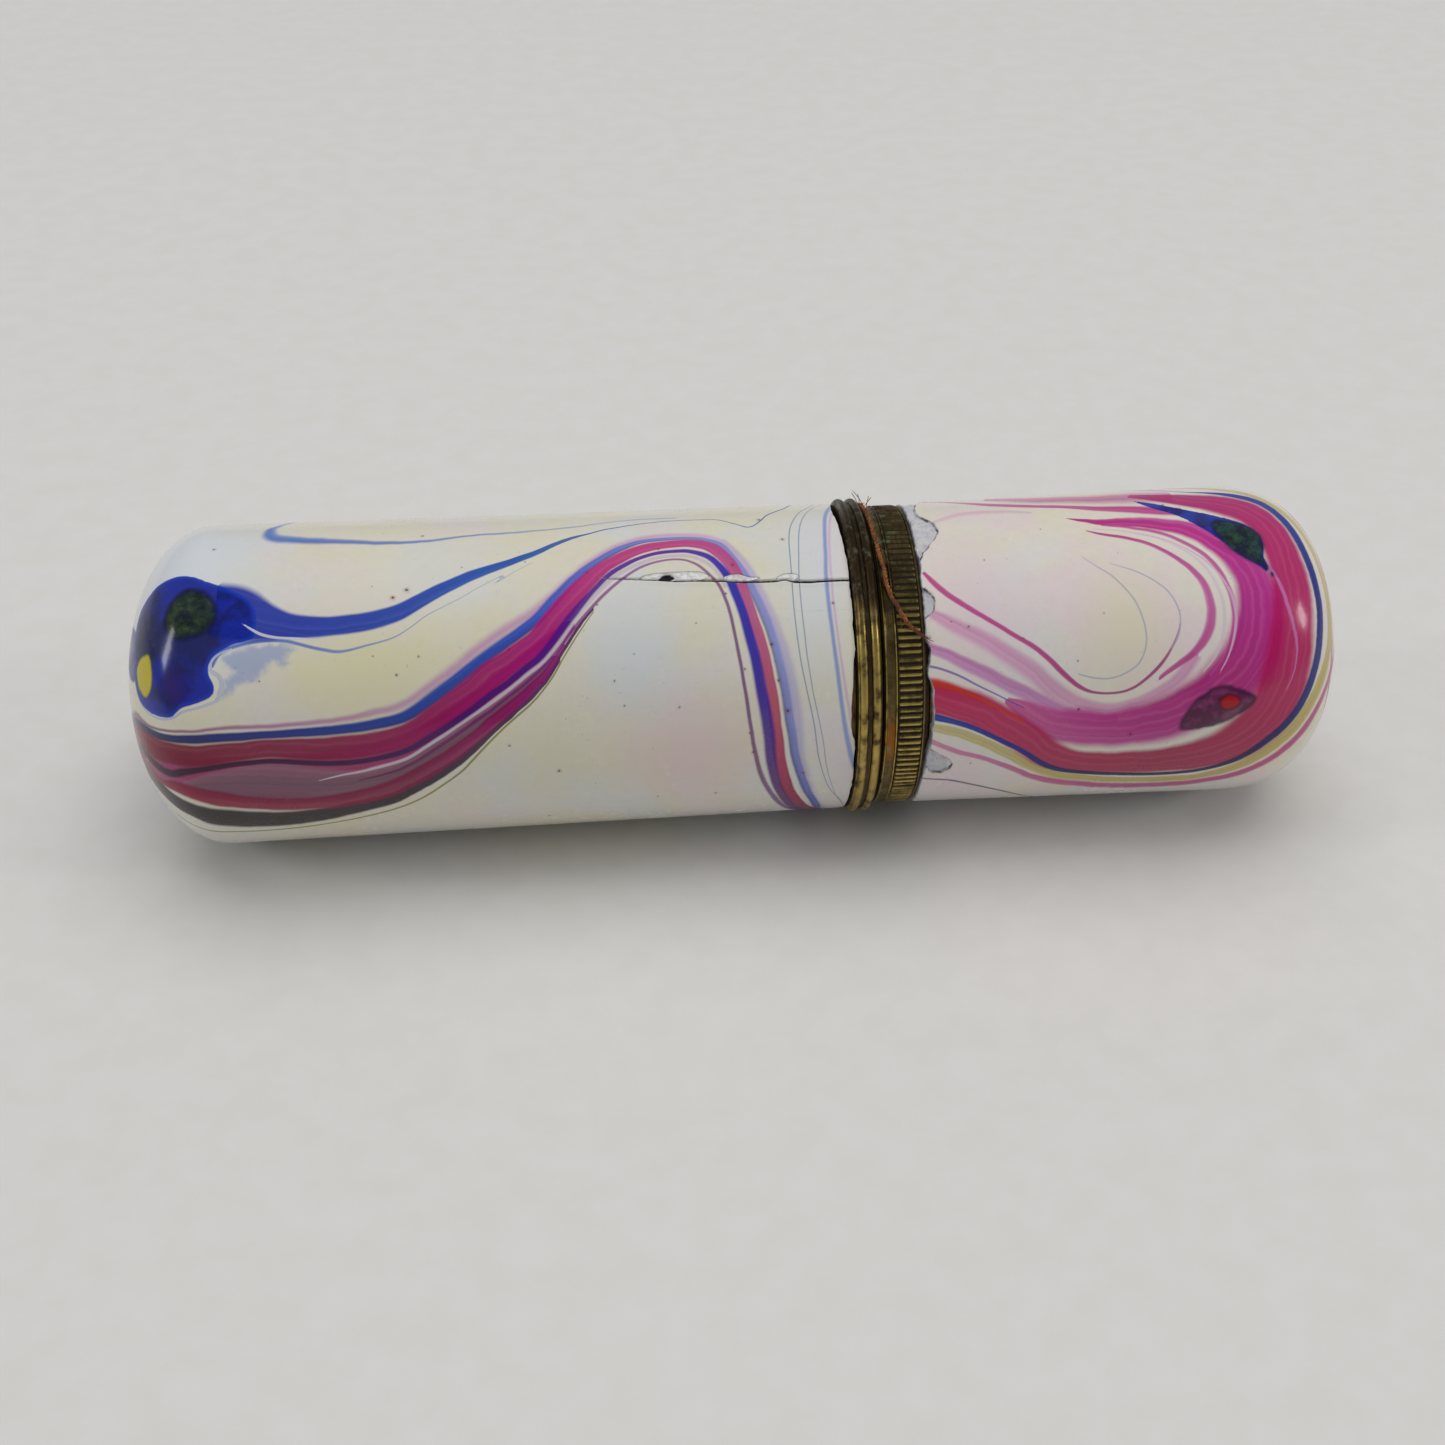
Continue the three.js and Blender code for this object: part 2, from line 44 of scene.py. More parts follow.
# ------------------------------------------------------------------ marbling tables
# Veins: points (x, angle, half width) along each stream of colour. Pools: closed outlines.
CAP_VEINS = {
    "blue_streak": [(-30.75, 63.0, 1.375), (-29.50, 61.5, 1.375), (-28.38, 58.5, 1.188), (-27.38, 56.6, 0.875), (-26.25, 55.3, 0.625), (-25.00, 54.7, 0.525), (-23.75, 54.7, 0.475), (-22.25, 55.4, 0.475), (-21.00, 56.9, 0.450), (-20.00, 58.8, 0.412), (-19.00, 62.1, 0.375), (-18.00, 65.6, 0.350), (-17.00, 68.7, 0.325), (-16.00, 71.7, 0.300), (-15.00, 74.1, 0.263), (-14.00, 76.4, 0.225), (-13.00, 79.1, 0.200), (-12.00, 81.9, 0.175), (-11.00, 85.9, 0.138), (-10.00, 89.3, 0.113), (-9.00, 91.8, 0.087), (-8.00, 94.4, 0.069), (-7.00, 96.1, 0.062), (-6.00, 97.8, 0.056), (-5.00, 99.0, 0.050), (-4.00, 99.9, 0.050), (-3.00, 100.0, 0.044), (-2.00, 100.0, 0.044), (-1.00, 99.2, 0.044), (0.00, 95.2, 0.050), (0.80, 92.7, 0.056), (1.50, 96.9, 0.050), (2.00, 102.1, 0.062), (2.88, 108.0, 0.075), (3.38, 112.4, 0.087), (3.75, 119.1, 0.100), (4.00, 128.0, 0.100)],
    "lightblue_line": [(-30.75, 42.3, 0.125), (-30.25, 47.0, 0.200), (-29.00, 49.5, 0.175), (-27.75, 50.4, 0.150), (-26.50, 50.0, 0.150), (-25.75, 48.8, 0.150), (-24.75, 47.0, 0.150), (-23.75, 45.7, 0.138), (-23.00, 45.9, 0.113), (-22.00, 47.2, 0.087), (-20.50, 49.4, 0.062), (-19.50, 52.6, 0.050), (-18.50, 56.9, 0.050), (-17.50, 60.0, 0.044), (-16.50, 63.0, 0.044), (-15.50, 66.7, 0.037), (-14.50, 70.1, 0.037), (-14.00, 71.5, 0.037), (-14.50, 68.1, 0.037), (-13.25, 73.3, 0.037), (-12.25, 77.0, 0.037)],
    "upper_streak": [(-27.12, 116.1, 0.200), (-27.55, 110.2, 0.275), (-27.95, 104.3, 0.575), (-27.62, 97.7, 0.775), (-26.00, 95.0, 0.650), (-24.50, 93.8, 0.525), (-23.00, 92.7, 0.425), (-21.50, 91.3, 0.325), (-20.00, 90.7, 0.250), (-18.50, 91.3, 0.225), (-17.00, 92.7, 0.188), (-15.50, 94.0, 0.163), (-14.00, 94.6, 0.163), (-13.00, 95.0, 0.150), (-12.00, 95.5, 0.150), (-10.00, 97.5, 0.138), (-8.00, 100.2, 0.125), (-6.00, 102.1, 0.125), (-3.50, 102.8, 0.113)],
    "halo": [(-34.75, 20.7, 0.175), (-32.00, 21.0, 0.175), (-30.00, 21.6, 0.225), (-28.00, 21.3, 0.225), (-26.00, 21.6, 0.250), (-24.00, 22.5, 0.275), (-22.00, 24.0, 0.350), (-20.00, 26.8, 0.425), (-18.00, 34.0, 0.500), (-16.00, 42.3, 0.550), (-14.00, 50.4, 0.550), (-12.00, 57.8, 0.550), (-10.00, 69.2, 0.525), (-8.00, 80.3, 0.500), (-6.00, 87.2, 0.425), (-4.00, 89.1, 0.375), (-2.00, 87.3, 0.425), (-1.00, 82.9, 0.550), (0.00, 73.3, 0.625), (1.00, 58.5, 0.625), (2.00, 40.8, 0.650), (2.62, 21.6, 0.650), (3.00, -2.0, 0.650), (3.75, -22.7, 0.625), (4.75, -44.8, 0.625)],
    "blue_band": [(-35.00, 19.0, 0.300), (-34.00, 17.8, 0.275), (-32.00, 18.1, 0.325), (-30.00, 18.2, 0.312), (-28.00, 18.4, 0.275), (-26.00, 18.5, 0.300), (-24.00, 19.0, 0.338), (-22.00, 20.0, 0.362), (-20.00, 22.4, 0.388), (-18.00, 29.5, 0.425), (-16.00, 37.9, 0.412), (-14.00, 46.0, 0.375), (-13.00, 50.0, 0.375), (-12.00, 54.4, 0.400), (-11.00, 61.2, 0.400), (-10.00, 67.7, 0.375), (-9.00, 73.6, 0.350), (-8.00, 78.5, 0.325), (-7.00, 82.5, 0.300), (-6.00, 85.4, 0.250), (-5.00, 86.6, 0.225), (-4.00, 87.0, 0.200), (-3.00, 86.8, 0.200), (-2.00, 85.4, 0.225), (-1.00, 81.4, 0.275), (0.00, 69.6, 0.325), (1.00, 54.1, 0.350), (1.62, 40.8, 0.350), (2.05, 27.5, 0.350), (2.38, 12.8, 0.350), (2.75, -2.0, 0.350), (3.38, -16.8, 0.325), (4.25, -34.5, 0.325)],
    "crimson": [(-35.25, 12.0, 0.750), (-34.00, 11.7, 0.800), (-32.00, 11.9, 0.750), (-30.00, 12.8, 0.650), (-28.00, 13.4, 0.625), (-26.00, 12.6, 0.725), (-24.00, 12.3, 0.825), (-22.00, 13.2, 0.800), (-20.00, 15.7, 0.750), (-18.00, 22.4, 0.775), (-16.00, 30.1, 0.875), (-15.00, 34.9, 0.825), (-14.00, 38.9, 0.775), (-13.00, 42.9, 0.750), (-12.00, 47.0, 0.750), (-11.00, 54.1, 0.725), (-10.00, 61.8, 0.675), (-9.00, 68.3, 0.600), (-8.00, 73.8, 0.525), (-7.00, 78.0, 0.475), (-6.00, 81.3, 0.450), (-5.00, 83.1, 0.425), (-4.00, 83.8, 0.425), (-3.00, 83.8, 0.425), (-2.00, 82.2, 0.450), (-1.25, 78.5, 0.475), (-0.62, 72.6, 0.450), (0.00, 61.5, 0.375), (0.50, 49.7, 0.375), (1.00, 36.4, 0.375), (1.38, 21.6, 0.400), (1.62, 6.9, 0.425), (1.95, -7.9, 0.425), (2.50, -21.2, 0.450), (3.38, -36.0, 0.450), (4.50, -50.0, 0.450)],
    "purple": [(-35.00, -0.5, 0.250), (-34.00, 2.7, 0.275), (-33.00, 5.1, 0.250), (-32.00, 6.6, 0.200), (-30.00, 8.0, 0.175), (-28.00, 8.6, 0.163), (-26.00, 7.3, 0.175), (-24.00, 6.4, 0.175), (-22.00, 7.3, 0.175), (-20.00, 10.1, 0.188), (-18.00, 16.6, 0.200), (-16.00, 23.9, 0.200), (-15.00, 28.3, 0.200), (-14.00, 32.0, 0.200), (-13.00, 36.4, 0.200), (-12.00, 40.8, 0.212), (-11.00, 47.8, 0.225), (-10.00, 55.3, 0.225), (-9.00, 62.4, 0.225), (-8.00, 68.9, 0.225), (-7.00, 73.6, 0.225), (-6.00, 77.0, 0.200), (-5.00, 79.1, 0.200), (-4.00, 79.8, 0.200), (-3.00, 79.5, 0.225), (-2.00, 77.0, 0.275), (-1.38, 73.0, 0.300), (-0.88, 67.4, 0.350), (-0.50, 60.8, 0.375), (-0.12, 52.6, 0.375), (0.20, 43.8, 0.400), (0.50, 34.9, 0.425), (0.70, 26.1, 0.450), (0.95, 17.2, 0.475), (1.15, 8.3, 0.475), (1.25, -0.5, 0.450), (1.45, -9.4, 0.400), (1.88, -19.7, 0.375), (2.62, -33.0, 0.350), (3.75, -50.0, 0.350)],
    "pale_stripe": [(-25.25, -0.5, 0.050), (-24.00, 1.3, 0.100), (-23.00, 2.3, 0.125), (-22.00, 3.6, 0.150), (-21.00, 5.1, 0.150), (-20.00, 7.0, 0.150), (-19.00, 10.6, 0.150), (-18.00, 14.4, 0.163), (-17.00, 18.4, 0.175), (-16.00, 22.1, 0.175), (-15.00, 25.8, 0.175), (-14.00, 29.8, 0.175), (-13.00, 34.2, 0.188), (-12.00, 38.5, 0.188), (-11.00, 44.8, 0.188), (-10.00, 52.6, 0.200), (-9.00, 59.7, 0.200), (-8.00, 66.2, 0.188), (-7.00, 71.0, 0.175), (-6.00, 74.4, 0.163), (-5.00, 76.7, 0.150), (-4.00, 77.5, 0.150), (-3.00, 77.0, 0.150), (-2.12, 74.1, 0.150), (-1.50, 69.6, 0.125), (-1.05, 63.0, 0.100)],
    "mauve_line": [(-23.00, -1.4, 0.075), (-21.50, 0.7, 0.125), (-20.00, 3.9, 0.150), (-18.00, 11.3, 0.175), (-16.00, 19.3, 0.175), (-15.00, 23.1, 0.163), (-14.00, 27.4, 0.163), (-13.00, 31.5, 0.163), (-12.00, 36.4, 0.150), (-11.00, 42.3, 0.150), (-10.00, 50.0, 0.150), (-9.00, 56.8, 0.150), (-8.00, 63.0, 0.150), (-7.00, 68.3, 0.138), (-6.00, 72.6, 0.138), (-5.00, 74.9, 0.125), (-4.00, 75.8, 0.125), (-3.25, 75.2, 0.125), (-2.50, 72.6, 0.138), (-1.88, 68.1, 0.138), (-1.38, 63.3, 0.150), (-1.00, 56.3, 0.150), (-0.70, 46.7, 0.150), (-0.45, 36.4, 0.150), (-0.20, 24.6, 0.163), (0.05, 12.8, 0.175), (0.30, 2.4, 0.200), (0.70, -9.4, 0.225), (1.38, -21.2, 0.250), (2.25, -34.5, 0.275), (3.50, -50.0, 0.300)],
    "grey_zone": [(-33.25, -2.0, 0.250), (-32.00, -0.2, 0.625), (-30.00, -0.5, 1.125), (-28.00, -1.3, 1.375), (-26.00, -2.7, 1.300), (-24.00, -3.5, 1.050), (-22.00, -1.4, 0.750), (-20.00, 2.7, 0.575), (-18.00, 9.8, 0.550), (-16.00, 17.2, 0.525), (-14.00, 25.3, 0.450), (-12.00, 34.6, 0.375), (-11.00, 40.1, 0.300)],
    "lower_crimson": [(-34.75, -4.9, 0.250), (-33.75, -3.2, 0.425), (-32.50, -3.9, 0.550), (-31.00, -6.9, 0.575), (-29.50, -9.1, 0.550), (-27.75, -10.9, 0.550), (-26.00, -11.6, 0.550), (-24.00, -10.7, 0.575), (-22.00, -7.6, 0.575), (-20.00, -2.3, 0.525), (-18.00, 5.1, 0.450), (-16.00, 13.8, 0.362), (-15.00, 19.0, 0.325), (-14.00, 23.4, 0.300), (-13.00, 28.0, 0.275), (-12.00, 33.2, 0.225), (-11.50, 36.7, 0.175), (-11.00, 40.8, 0.125), (-10.50, 45.3, 0.075)],
    "dark_low": [(-35.00, -10.9, 0.500), (-33.50, -13.1, 0.875), (-31.50, -16.8, 1.125), (-29.50, -19.4, 1.125), (-27.50, -20.0, 1.000), (-25.50, -18.5, 0.825), (-23.50, -15.3, 0.700), (-21.50, -11.6, 0.600), (-20.00, -6.9, 0.500), (-18.00, 0.7, 0.400), (-16.00, 9.8, 0.263), (-15.00, 15.4, 0.200), (-14.00, 20.5, 0.175), (-13.00, 25.2, 0.163), (-12.00, 30.5, 0.150), (-11.38, 35.2, 0.138), (-10.88, 40.5, 0.125), (-10.25, 46.0, 0.113), (-9.50, 52.1, 0.100), (-8.75, 57.4, 0.087)],
    "yellow_edge": [(-34.50, -24.1, 0.125), (-32.00, -27.1, 0.150), (-29.50, -28.6, 0.150), (-27.00, -27.4, 0.150), (-25.00, -24.9, 0.125), (-23.00, -21.5, 0.125), (-21.50, -18.2, 0.125), (-20.00, -13.8, 0.113), (-19.00, -9.7, 0.113), (-18.00, -4.9, 0.113), (-17.00, 0.1, 0.113), (-16.00, 6.6, 0.113), (-15.00, 12.8, 0.100), (-14.00, 18.4, 0.100), (-13.00, 23.1, 0.100), (-12.25, 27.2, 0.087), (-11.70, 30.9, 0.087), (-11.20, 34.9, 0.087), (-10.70, 39.8, 0.075), (-10.12, 45.0, 0.075), (-9.45, 50.7, 0.062), (-8.75, 56.3, 0.050)],
    "right_haze": [(-1.00, 85.1, 0.250), (0.00, 76.3, 0.375), (0.75, 64.5, 0.450), (1.38, 51.2, 0.500), (2.00, 36.4, 0.500), (2.45, 21.6, 0.500), (2.80, -0.5, 0.500), (3.62, -22.7, 0.500)],
    "line_a": [(5.25, 119.1, 0.062), (4.75, 111.0, 0.062), (4.07, 104.3, 0.062), (3.55, 96.9, 0.062), (3.18, 89.6, 0.062), (3.00, 80.7, 0.062), (2.93, 68.9, 0.062), (2.88, 58.5, 0.062), (2.95, 45.3, 0.062), (3.15, 33.4, 0.062), (3.50, 21.6, 0.062), (3.82, 11.3, 0.062), (4.07, -0.5, 0.062), (4.45, -10.9, 0.050), (4.95, -20.5, 0.050), (5.75, -31.5, 0.050)],
    "line_b": [(5.75, 117.6, 0.050), (5.12, 111.0, 0.050), (4.43, 102.8, 0.056), (3.93, 94.0, 0.062), (3.65, 85.1, 0.062), (3.45, 73.3, 0.062), (3.32, 61.5, 0.062), (3.38, 48.2, 0.062), (3.50, 36.4, 0.062), (3.75, 24.6, 0.056), (4.05, 15.0, 0.056), (4.38, 3.9, 0.050), (4.60, -6.4, 0.050), (5.00, -16.8, 0.037)],
    "ring_blue": [(6.62, 119.1, 0.175), (6.12, 111.0, 0.200), (5.55, 99.9, 0.200), (5.27, 88.1, 0.188), (5.10, 76.3, 0.188), (4.95, 65.9, 0.200), (4.95, 55.6, 0.200), (5.07, 42.3, 0.188), (5.25, 30.5, 0.200), (5.45, 18.7, 0.200), (5.70, 8.3, 0.225), (6.05, -2.0, 0.250), (6.50, -12.3, 0.250)],
    "ring_pink": [(7.00, 116.1, 0.125), (6.43, 108.8, 0.138), (5.85, 98.4, 0.138), (5.52, 86.6, 0.138), (5.35, 76.3, 0.125), (5.25, 65.9, 0.125), (5.25, 55.6, 0.125), (5.38, 42.3, 0.125), (5.57, 30.5, 0.138), (5.80, 20.2, 0.150), (6.15, 8.3, 0.150), (6.62, -2.0, 0.150)],
    "blob_white": [(-29.50, 48.5, 0.062), (-30.45, 46.1, 0.075), (-30.85, 42.9, 0.100), (-30.75, 40.8, 0.150), (-30.35, 39.1, 0.175), (-30.20, 36.4, 0.175), (-30.40, 33.2, 0.150), (-30.55, 31.1, 0.113), (-31.62, 29.0, 0.100), (-32.50, 27.7, 0.087), (-33.25, 25.2, 0.087), (-34.12, 24.6, 0.087), (-35.00, 26.8, 0.075), (-35.45, 30.5, 0.062)],
    "white_wedge": [(-28.95, 56.6, 0.037), (-28.50, 54.7, 0.087), (-27.88, 52.6, 0.113), (-27.00, 51.3, 0.100), (-25.75, 50.7, 0.087), (-24.50, 50.0, 0.062)],
}

CAP_POOLS = {
    "blob": [(-35.50, 74.1), (-34.62, 78.0), (-33.62, 78.6), (-32.50, 77.5), (-31.25, 74.5), (-29.75, 70.1), (-28.62, 65.2), (-28.20, 59.3), (-28.25, 54.1), (-28.38, 51.2), (-29.50, 49.4), (-30.38, 47.0), (-30.88, 43.3), (-30.93, 39.6), (-30.70, 36.4), (-30.80, 32.9), (-31.62, 30.5), (-32.62, 29.0), (-33.25, 26.1), (-34.00, 25.6), (-34.88, 27.2), (-35.45, 30.5), (-35.75, 37.9), (-35.88, 51.2), (-35.80, 64.5)],
    "green_oval": [(-31.88, 71.5), (-31.00, 68.9), (-30.45, 63.7), (-30.45, 58.5), (-31.05, 54.1), (-32.00, 51.9), (-32.88, 52.6), (-33.42, 56.3), (-33.55, 61.5), (-33.25, 66.7), (-32.62, 70.4)],
    "yellow_oval": [(-35.25, 49.4), (-34.62, 49.7), (-34.40, 44.5), (-34.40, 37.9), (-34.70, 33.2), (-35.05, 32.3), (-35.45, 36.4), (-35.60, 42.3), (-35.55, 46.7)],
    "smear": [(-30.12, 45.3), (-29.00, 48.2), (-27.75, 49.4), (-26.50, 49.0), (-25.88, 46.7), (-26.75, 42.3), (-27.50, 42.3), (-28.00, 37.9), (-29.25, 36.4), (-29.75, 33.4), (-30.25, 30.5), (-30.30, 34.9), (-29.75, 39.4)],
}

BASE_VEINS = {
    "blue_loop": [(10.35, 12.8, 0.324), (11.38, 11.2, 0.265), (12.56, 8.9, 0.221), (13.74, 5.5, 0.206), (14.91, 1.3, 0.206), (16.09, -3.2, 0.221), (16.97, -7.4, 0.235), (17.85, -11.9, 0.265), (18.74, -15.4, 0.265), (19.91, -17.8, 0.265), (21.38, -19.5, 0.250), (23.15, -20.9, 0.235), (24.91, -21.8, 0.235), (26.09, -21.8, 0.235), (27.26, -20.9, 0.235), (28.44, -18.8, 0.250), (29.62, -14.9, 0.279), (30.50, -10.5, 0.309), (31.38, -5.3, 0.338), (32.26, 0.3, 0.368), (33.15, 7.7, 0.382), (33.74, 15.5, 0.397), (34.18, 24.2, 0.412), (34.47, 34.7, 0.426), (34.62, 46.8, 0.441), (34.50, 59.0, 0.456), (34.26, 69.4, 0.485), (33.88, 79.8, 0.515), (33.29, 89.4, 0.515), (32.41, 96.3, 0.500), (31.38, 100.3, 0.441), (30.50, 102.8, 0.353), (29.47, 105.5, 0.206), (28.15, 108.5, 0.088)],
    "ochre": [(10.44, 8.3, 0.324), (12.56, 4.8, 0.382), (14.91, -3.2, 0.412), (16.97, -12.2, 0.441), (18.74, -19.2, 0.441), (20.21, -22.0, 0.441), (23.15, -25.5, 0.441), (26.09, -26.5, 0.471), (27.85, -25.1, 0.471), (29.62, -20.2, 0.500), (31.38, -11.9, 0.529), (32.85, -3.0, 0.559), (34.09, 8.6, 0.559), (35.00, 20.8, 0.559), (35.50, 34.7, 0.559), (35.62, 48.6, 0.559), (35.44, 64.2, 0.559), (35.15, 76.4, 0.559), (34.47, 88.5, 0.529), (33.44, 97.2, 0.500), (31.97, 104.5, 0.441), (30.79, 108.5, 0.353)],
    "pink_out": [(10.35, 3.4, 0.206), (12.56, -3.9, 0.235), (14.32, -8.4, 0.235), (16.09, -14.5, 0.294), (17.26, -19.5, 0.382), (18.74, -24.1, 0.500), (20.79, -28.2, 0.588), (23.15, -31.4, 0.647), (25.50, -32.2, 0.647), (27.85, -30.7, 0.588), (29.91, -25.8, 0.529), (31.68, -18.3, 0.500), (33.44, -8.4, 0.500), (34.76, 3.4, 0.500), (35.79, 17.3, 0.500), (36.38, 31.2, 0.500), (36.53, 46.8, 0.500), (36.38, 64.2, 0.500), (36.09, 79.8, 0.441)],
    "dark_line": [(10.44, -18.5, 0.103), (11.68, -19.5, 0.132), (12.56, -20.9, 0.147), (14.03, -25.3, 0.147), (15.21, -29.6, 0.147), (16.09, -33.4, 0.147), (17.26, -39.7, 0.132), (18.15, -46.1, 0.132), (19.32, -55.7, 0.118), (21.09, -66.1, 0.118), (23.74, -74.8, 0.118), (26.68, -78.3, 0.118)],
    "crimson": [(10.35, 19.9, 1.324), (11.38, 18.7, 1.294), (12.56, 16.4, 1.265), (13.74, 12.9, 1.294), (14.91, 8.6, 1.324), (16.09, 3.4, 1.324), (17.26, -2.7, 1.353), (18.74, -9.6, 1.265), (20.21, -12.2, 1.176), (21.97, -13.3, 1.235), (23.74, -13.6, 1.353), (25.50, -13.1, 1.529), (27.26, -11.4, 1.735), (29.03, -7.0, 1.912), (30.50, 0.8, 2.059), (31.53, 10.3, 2.059), (32.12, 20.8, 2.059), (32.50, 34.7, 1.912), (32.71, 46.8, 1.765), (32.79, 59.0, 1.647), (32.56, 69.4, 1.559), (32.12, 79.8, 1.529), (31.38, 87.6, 1.529), (30.21, 92.9, 1.529), (28.74, 97.2, 1.324), (27.26, 100.7, 1.029), (26.09, 103.3, 0.735), (24.62, 106.8, 0.441)],
    "magenta": [(15.21, 17.3, 0.294), (16.68, 12.1, 0.882), (18.15, 6.9, 1.324), (19.62, 5.1, 1.618), (21.38, 3.4, 1.618), (23.15, 4.3, 1.765), (24.91, 6.9, 1.912), (26.68, 12.1, 2.059), (28.44, 19.0, 2.206), (29.91, 29.4, 2.206), (30.50, 41.6, 1.912), (30.50, 53.8, 1.618), (29.91, 64.2, 1.324), (28.74, 72.9, 1.029), (27.26, 79.5, 0.882), (25.50, 83.3, 0.735), (23.74, 85.4, 0.588), (21.97, 86.4, 0.353), (20.79, 88.2, 0.176), (20.12, 89.7, 0.059)],
    "orange": [(10.35, 25.1, 0.441), (11.38, 23.9, 0.412), (12.56, 21.5, 0.294), (13.74, 17.6, 0.206), (14.91, 13.5, 0.147), (16.38, 8.3, 0.118)],
    "lilac_top": [(10.35, 38.1, 0.441), (11.38, 36.0, 0.441), (12.56, 32.1, 0.500), (14.03, 27.4, 0.559), (15.50, 22.5, 0.588), (17.26, 16.4, 0.588), (18.74, 11.2, 0.588), (20.21, 8.3, 0.529), (21.97, 7.7, 0.441)],
    "purple_line": [(10.35, 31.5, 0.118), (11.38, 29.8, 0.118), (12.56, 26.7, 0.103), (13.74, 22.5, 0.088), (14.91, 18.7, 0.074), (16.38, 13.8, 0.059)],
    "rose": [(10.74, 66.3, 0.118), (11.24, 62.1, 0.235), (11.97, 57.2, 0.250), (12.85, 52.9, 0.235), (13.74, 49.1, 0.206), (14.62, 45.4, 0.191), (15.79, 40.7, 0.191), (16.97, 35.9, 0.206), (17.85, 31.2, 0.221), (18.74, 25.6, 0.221), (19.62, 21.1, 0.176), (20.50, 18.8, 0.118), (21.68, 18.2, 0.103), (22.71, 19.5, 0.118), (23.50, 22.5, 0.132), (24.32, 27.2, 0.147), (24.91, 31.7, 0.118), (25.38, 36.4, 0.074), (25.68, 41.6, 0.059)],
    "rose_soft": [(10.35, 52.0, 0.294), (11.97, 46.0, 0.588), (14.32, 38.1, 0.735), (16.68, 27.7, 0.824), (18.44, 18.2, 0.882), (20.21, 12.9, 0.735), (21.97, 12.1, 0.588), (23.74, 15.5, 0.529), (25.50, 22.5, 0.529), (26.68, 31.2, 0.529)],
    "loop_pink1": [(20.94, 81.9, 0.059), (21.97, 79.5, 0.147), (23.15, 77.4, 0.176), (24.32, 74.3, 0.191), (25.50, 69.4, 0.206), (26.53, 63.8, 0.235), (27.26, 57.2, 0.294), (27.56, 50.3, 0.353), (27.56, 43.3, 0.382), (27.21, 37.3, 0.382), (26.53, 32.1, 0.324), (25.50, 27.7, 0.235), (24.32, 22.5, 0.147)],
    "loop_pink2": [(21.97, 84.7, 0.118), (23.74, 82.3, 0.176), (25.50, 78.4, 0.206), (26.97, 72.0, 0.206), (28.09, 64.2, 0.221), (28.74, 55.5, 0.235), (28.97, 46.8, 0.250), (28.82, 38.1, 0.235), (28.29, 29.4, 0.206), (27.41, 22.5, 0.147)],
    "white1": [(21.38, 82.8, 0.059), (23.15, 80.7, 0.088), (24.91, 77.2, 0.118), (26.53, 70.3, 0.118), (27.62, 62.5, 0.132), (28.21, 53.8, 0.147), (28.38, 46.0, 0.162), (28.21, 37.3, 0.147), (27.71, 29.8, 0.103), (26.97, 24.2, 0.059)],
    "white2": [(23.74, 79.5, 0.044), (25.79, 74.6, 0.074), (27.41, 66.8, 0.088), (28.50, 58.1, 0.103), (29.03, 48.6, 0.147), (28.97, 39.9, 0.132), (28.59, 31.2, 0.088), (28.00, 24.2, 0.044)],
    "white3": [(29.03, 72.9, 0.059), (30.21, 69.1, 0.103), (31.15, 64.2, 0.132), (31.82, 57.2, 0.162), (32.26, 48.6, 0.176), (32.56, 39.9, 0.162), (32.74, 31.2, 0.118), (32.56, 22.5, 0.074), (32.12, 15.5, 0.044)],
    "grey1": [(20.35, 69.4, 0.044), (21.09, 65.1, 0.074), (21.97, 60.7, 0.088), (22.85, 53.8, 0.088), (23.29, 48.6, 0.088), (23.59, 41.6, 0.088), (23.59, 34.7, 0.088), (23.15, 28.6, 0.088), (22.26, 25.1, 0.088), (21.38, 23.7, 0.088), (20.50, 24.1, 0.088), (19.56, 25.6, 0.074)],
    "grey2": [(21.97, 65.9, 0.044), (23.44, 62.1, 0.074), (24.62, 57.2, 0.088), (25.35, 52.0, 0.088), (25.74, 45.1, 0.088), (25.56, 38.1, 0.088), (25.06, 32.9, 0.074)],
    "topline": [(11.38, 120.1, 0.088), (13.15, 114.2, 0.206), (14.62, 109.0, 0.294), (15.79, 105.5, 0.353), (17.26, 102.8, 0.324), (18.74, 100.7, 0.294), (20.21, 98.9, 0.294), (21.97, 96.3, 0.382), (23.74, 94.4, 0.529), (25.79, 92.0, 0.647), (27.26, 90.3, 0.588)],
    "tophaze": [(15.79, 114.6, 0.882), (18.74, 109.4, 1.029), (21.68, 106.8, 1.324), (24.62, 105.9, 1.618), (27.26, 104.2, 1.618)],
    "pinkfaint": [(11.97, 92.0, 0.206), (13.44, 96.3, 0.382), (14.91, 98.1, 0.441), (16.68, 97.2, 0.382), (18.15, 95.5, 0.206)],
}

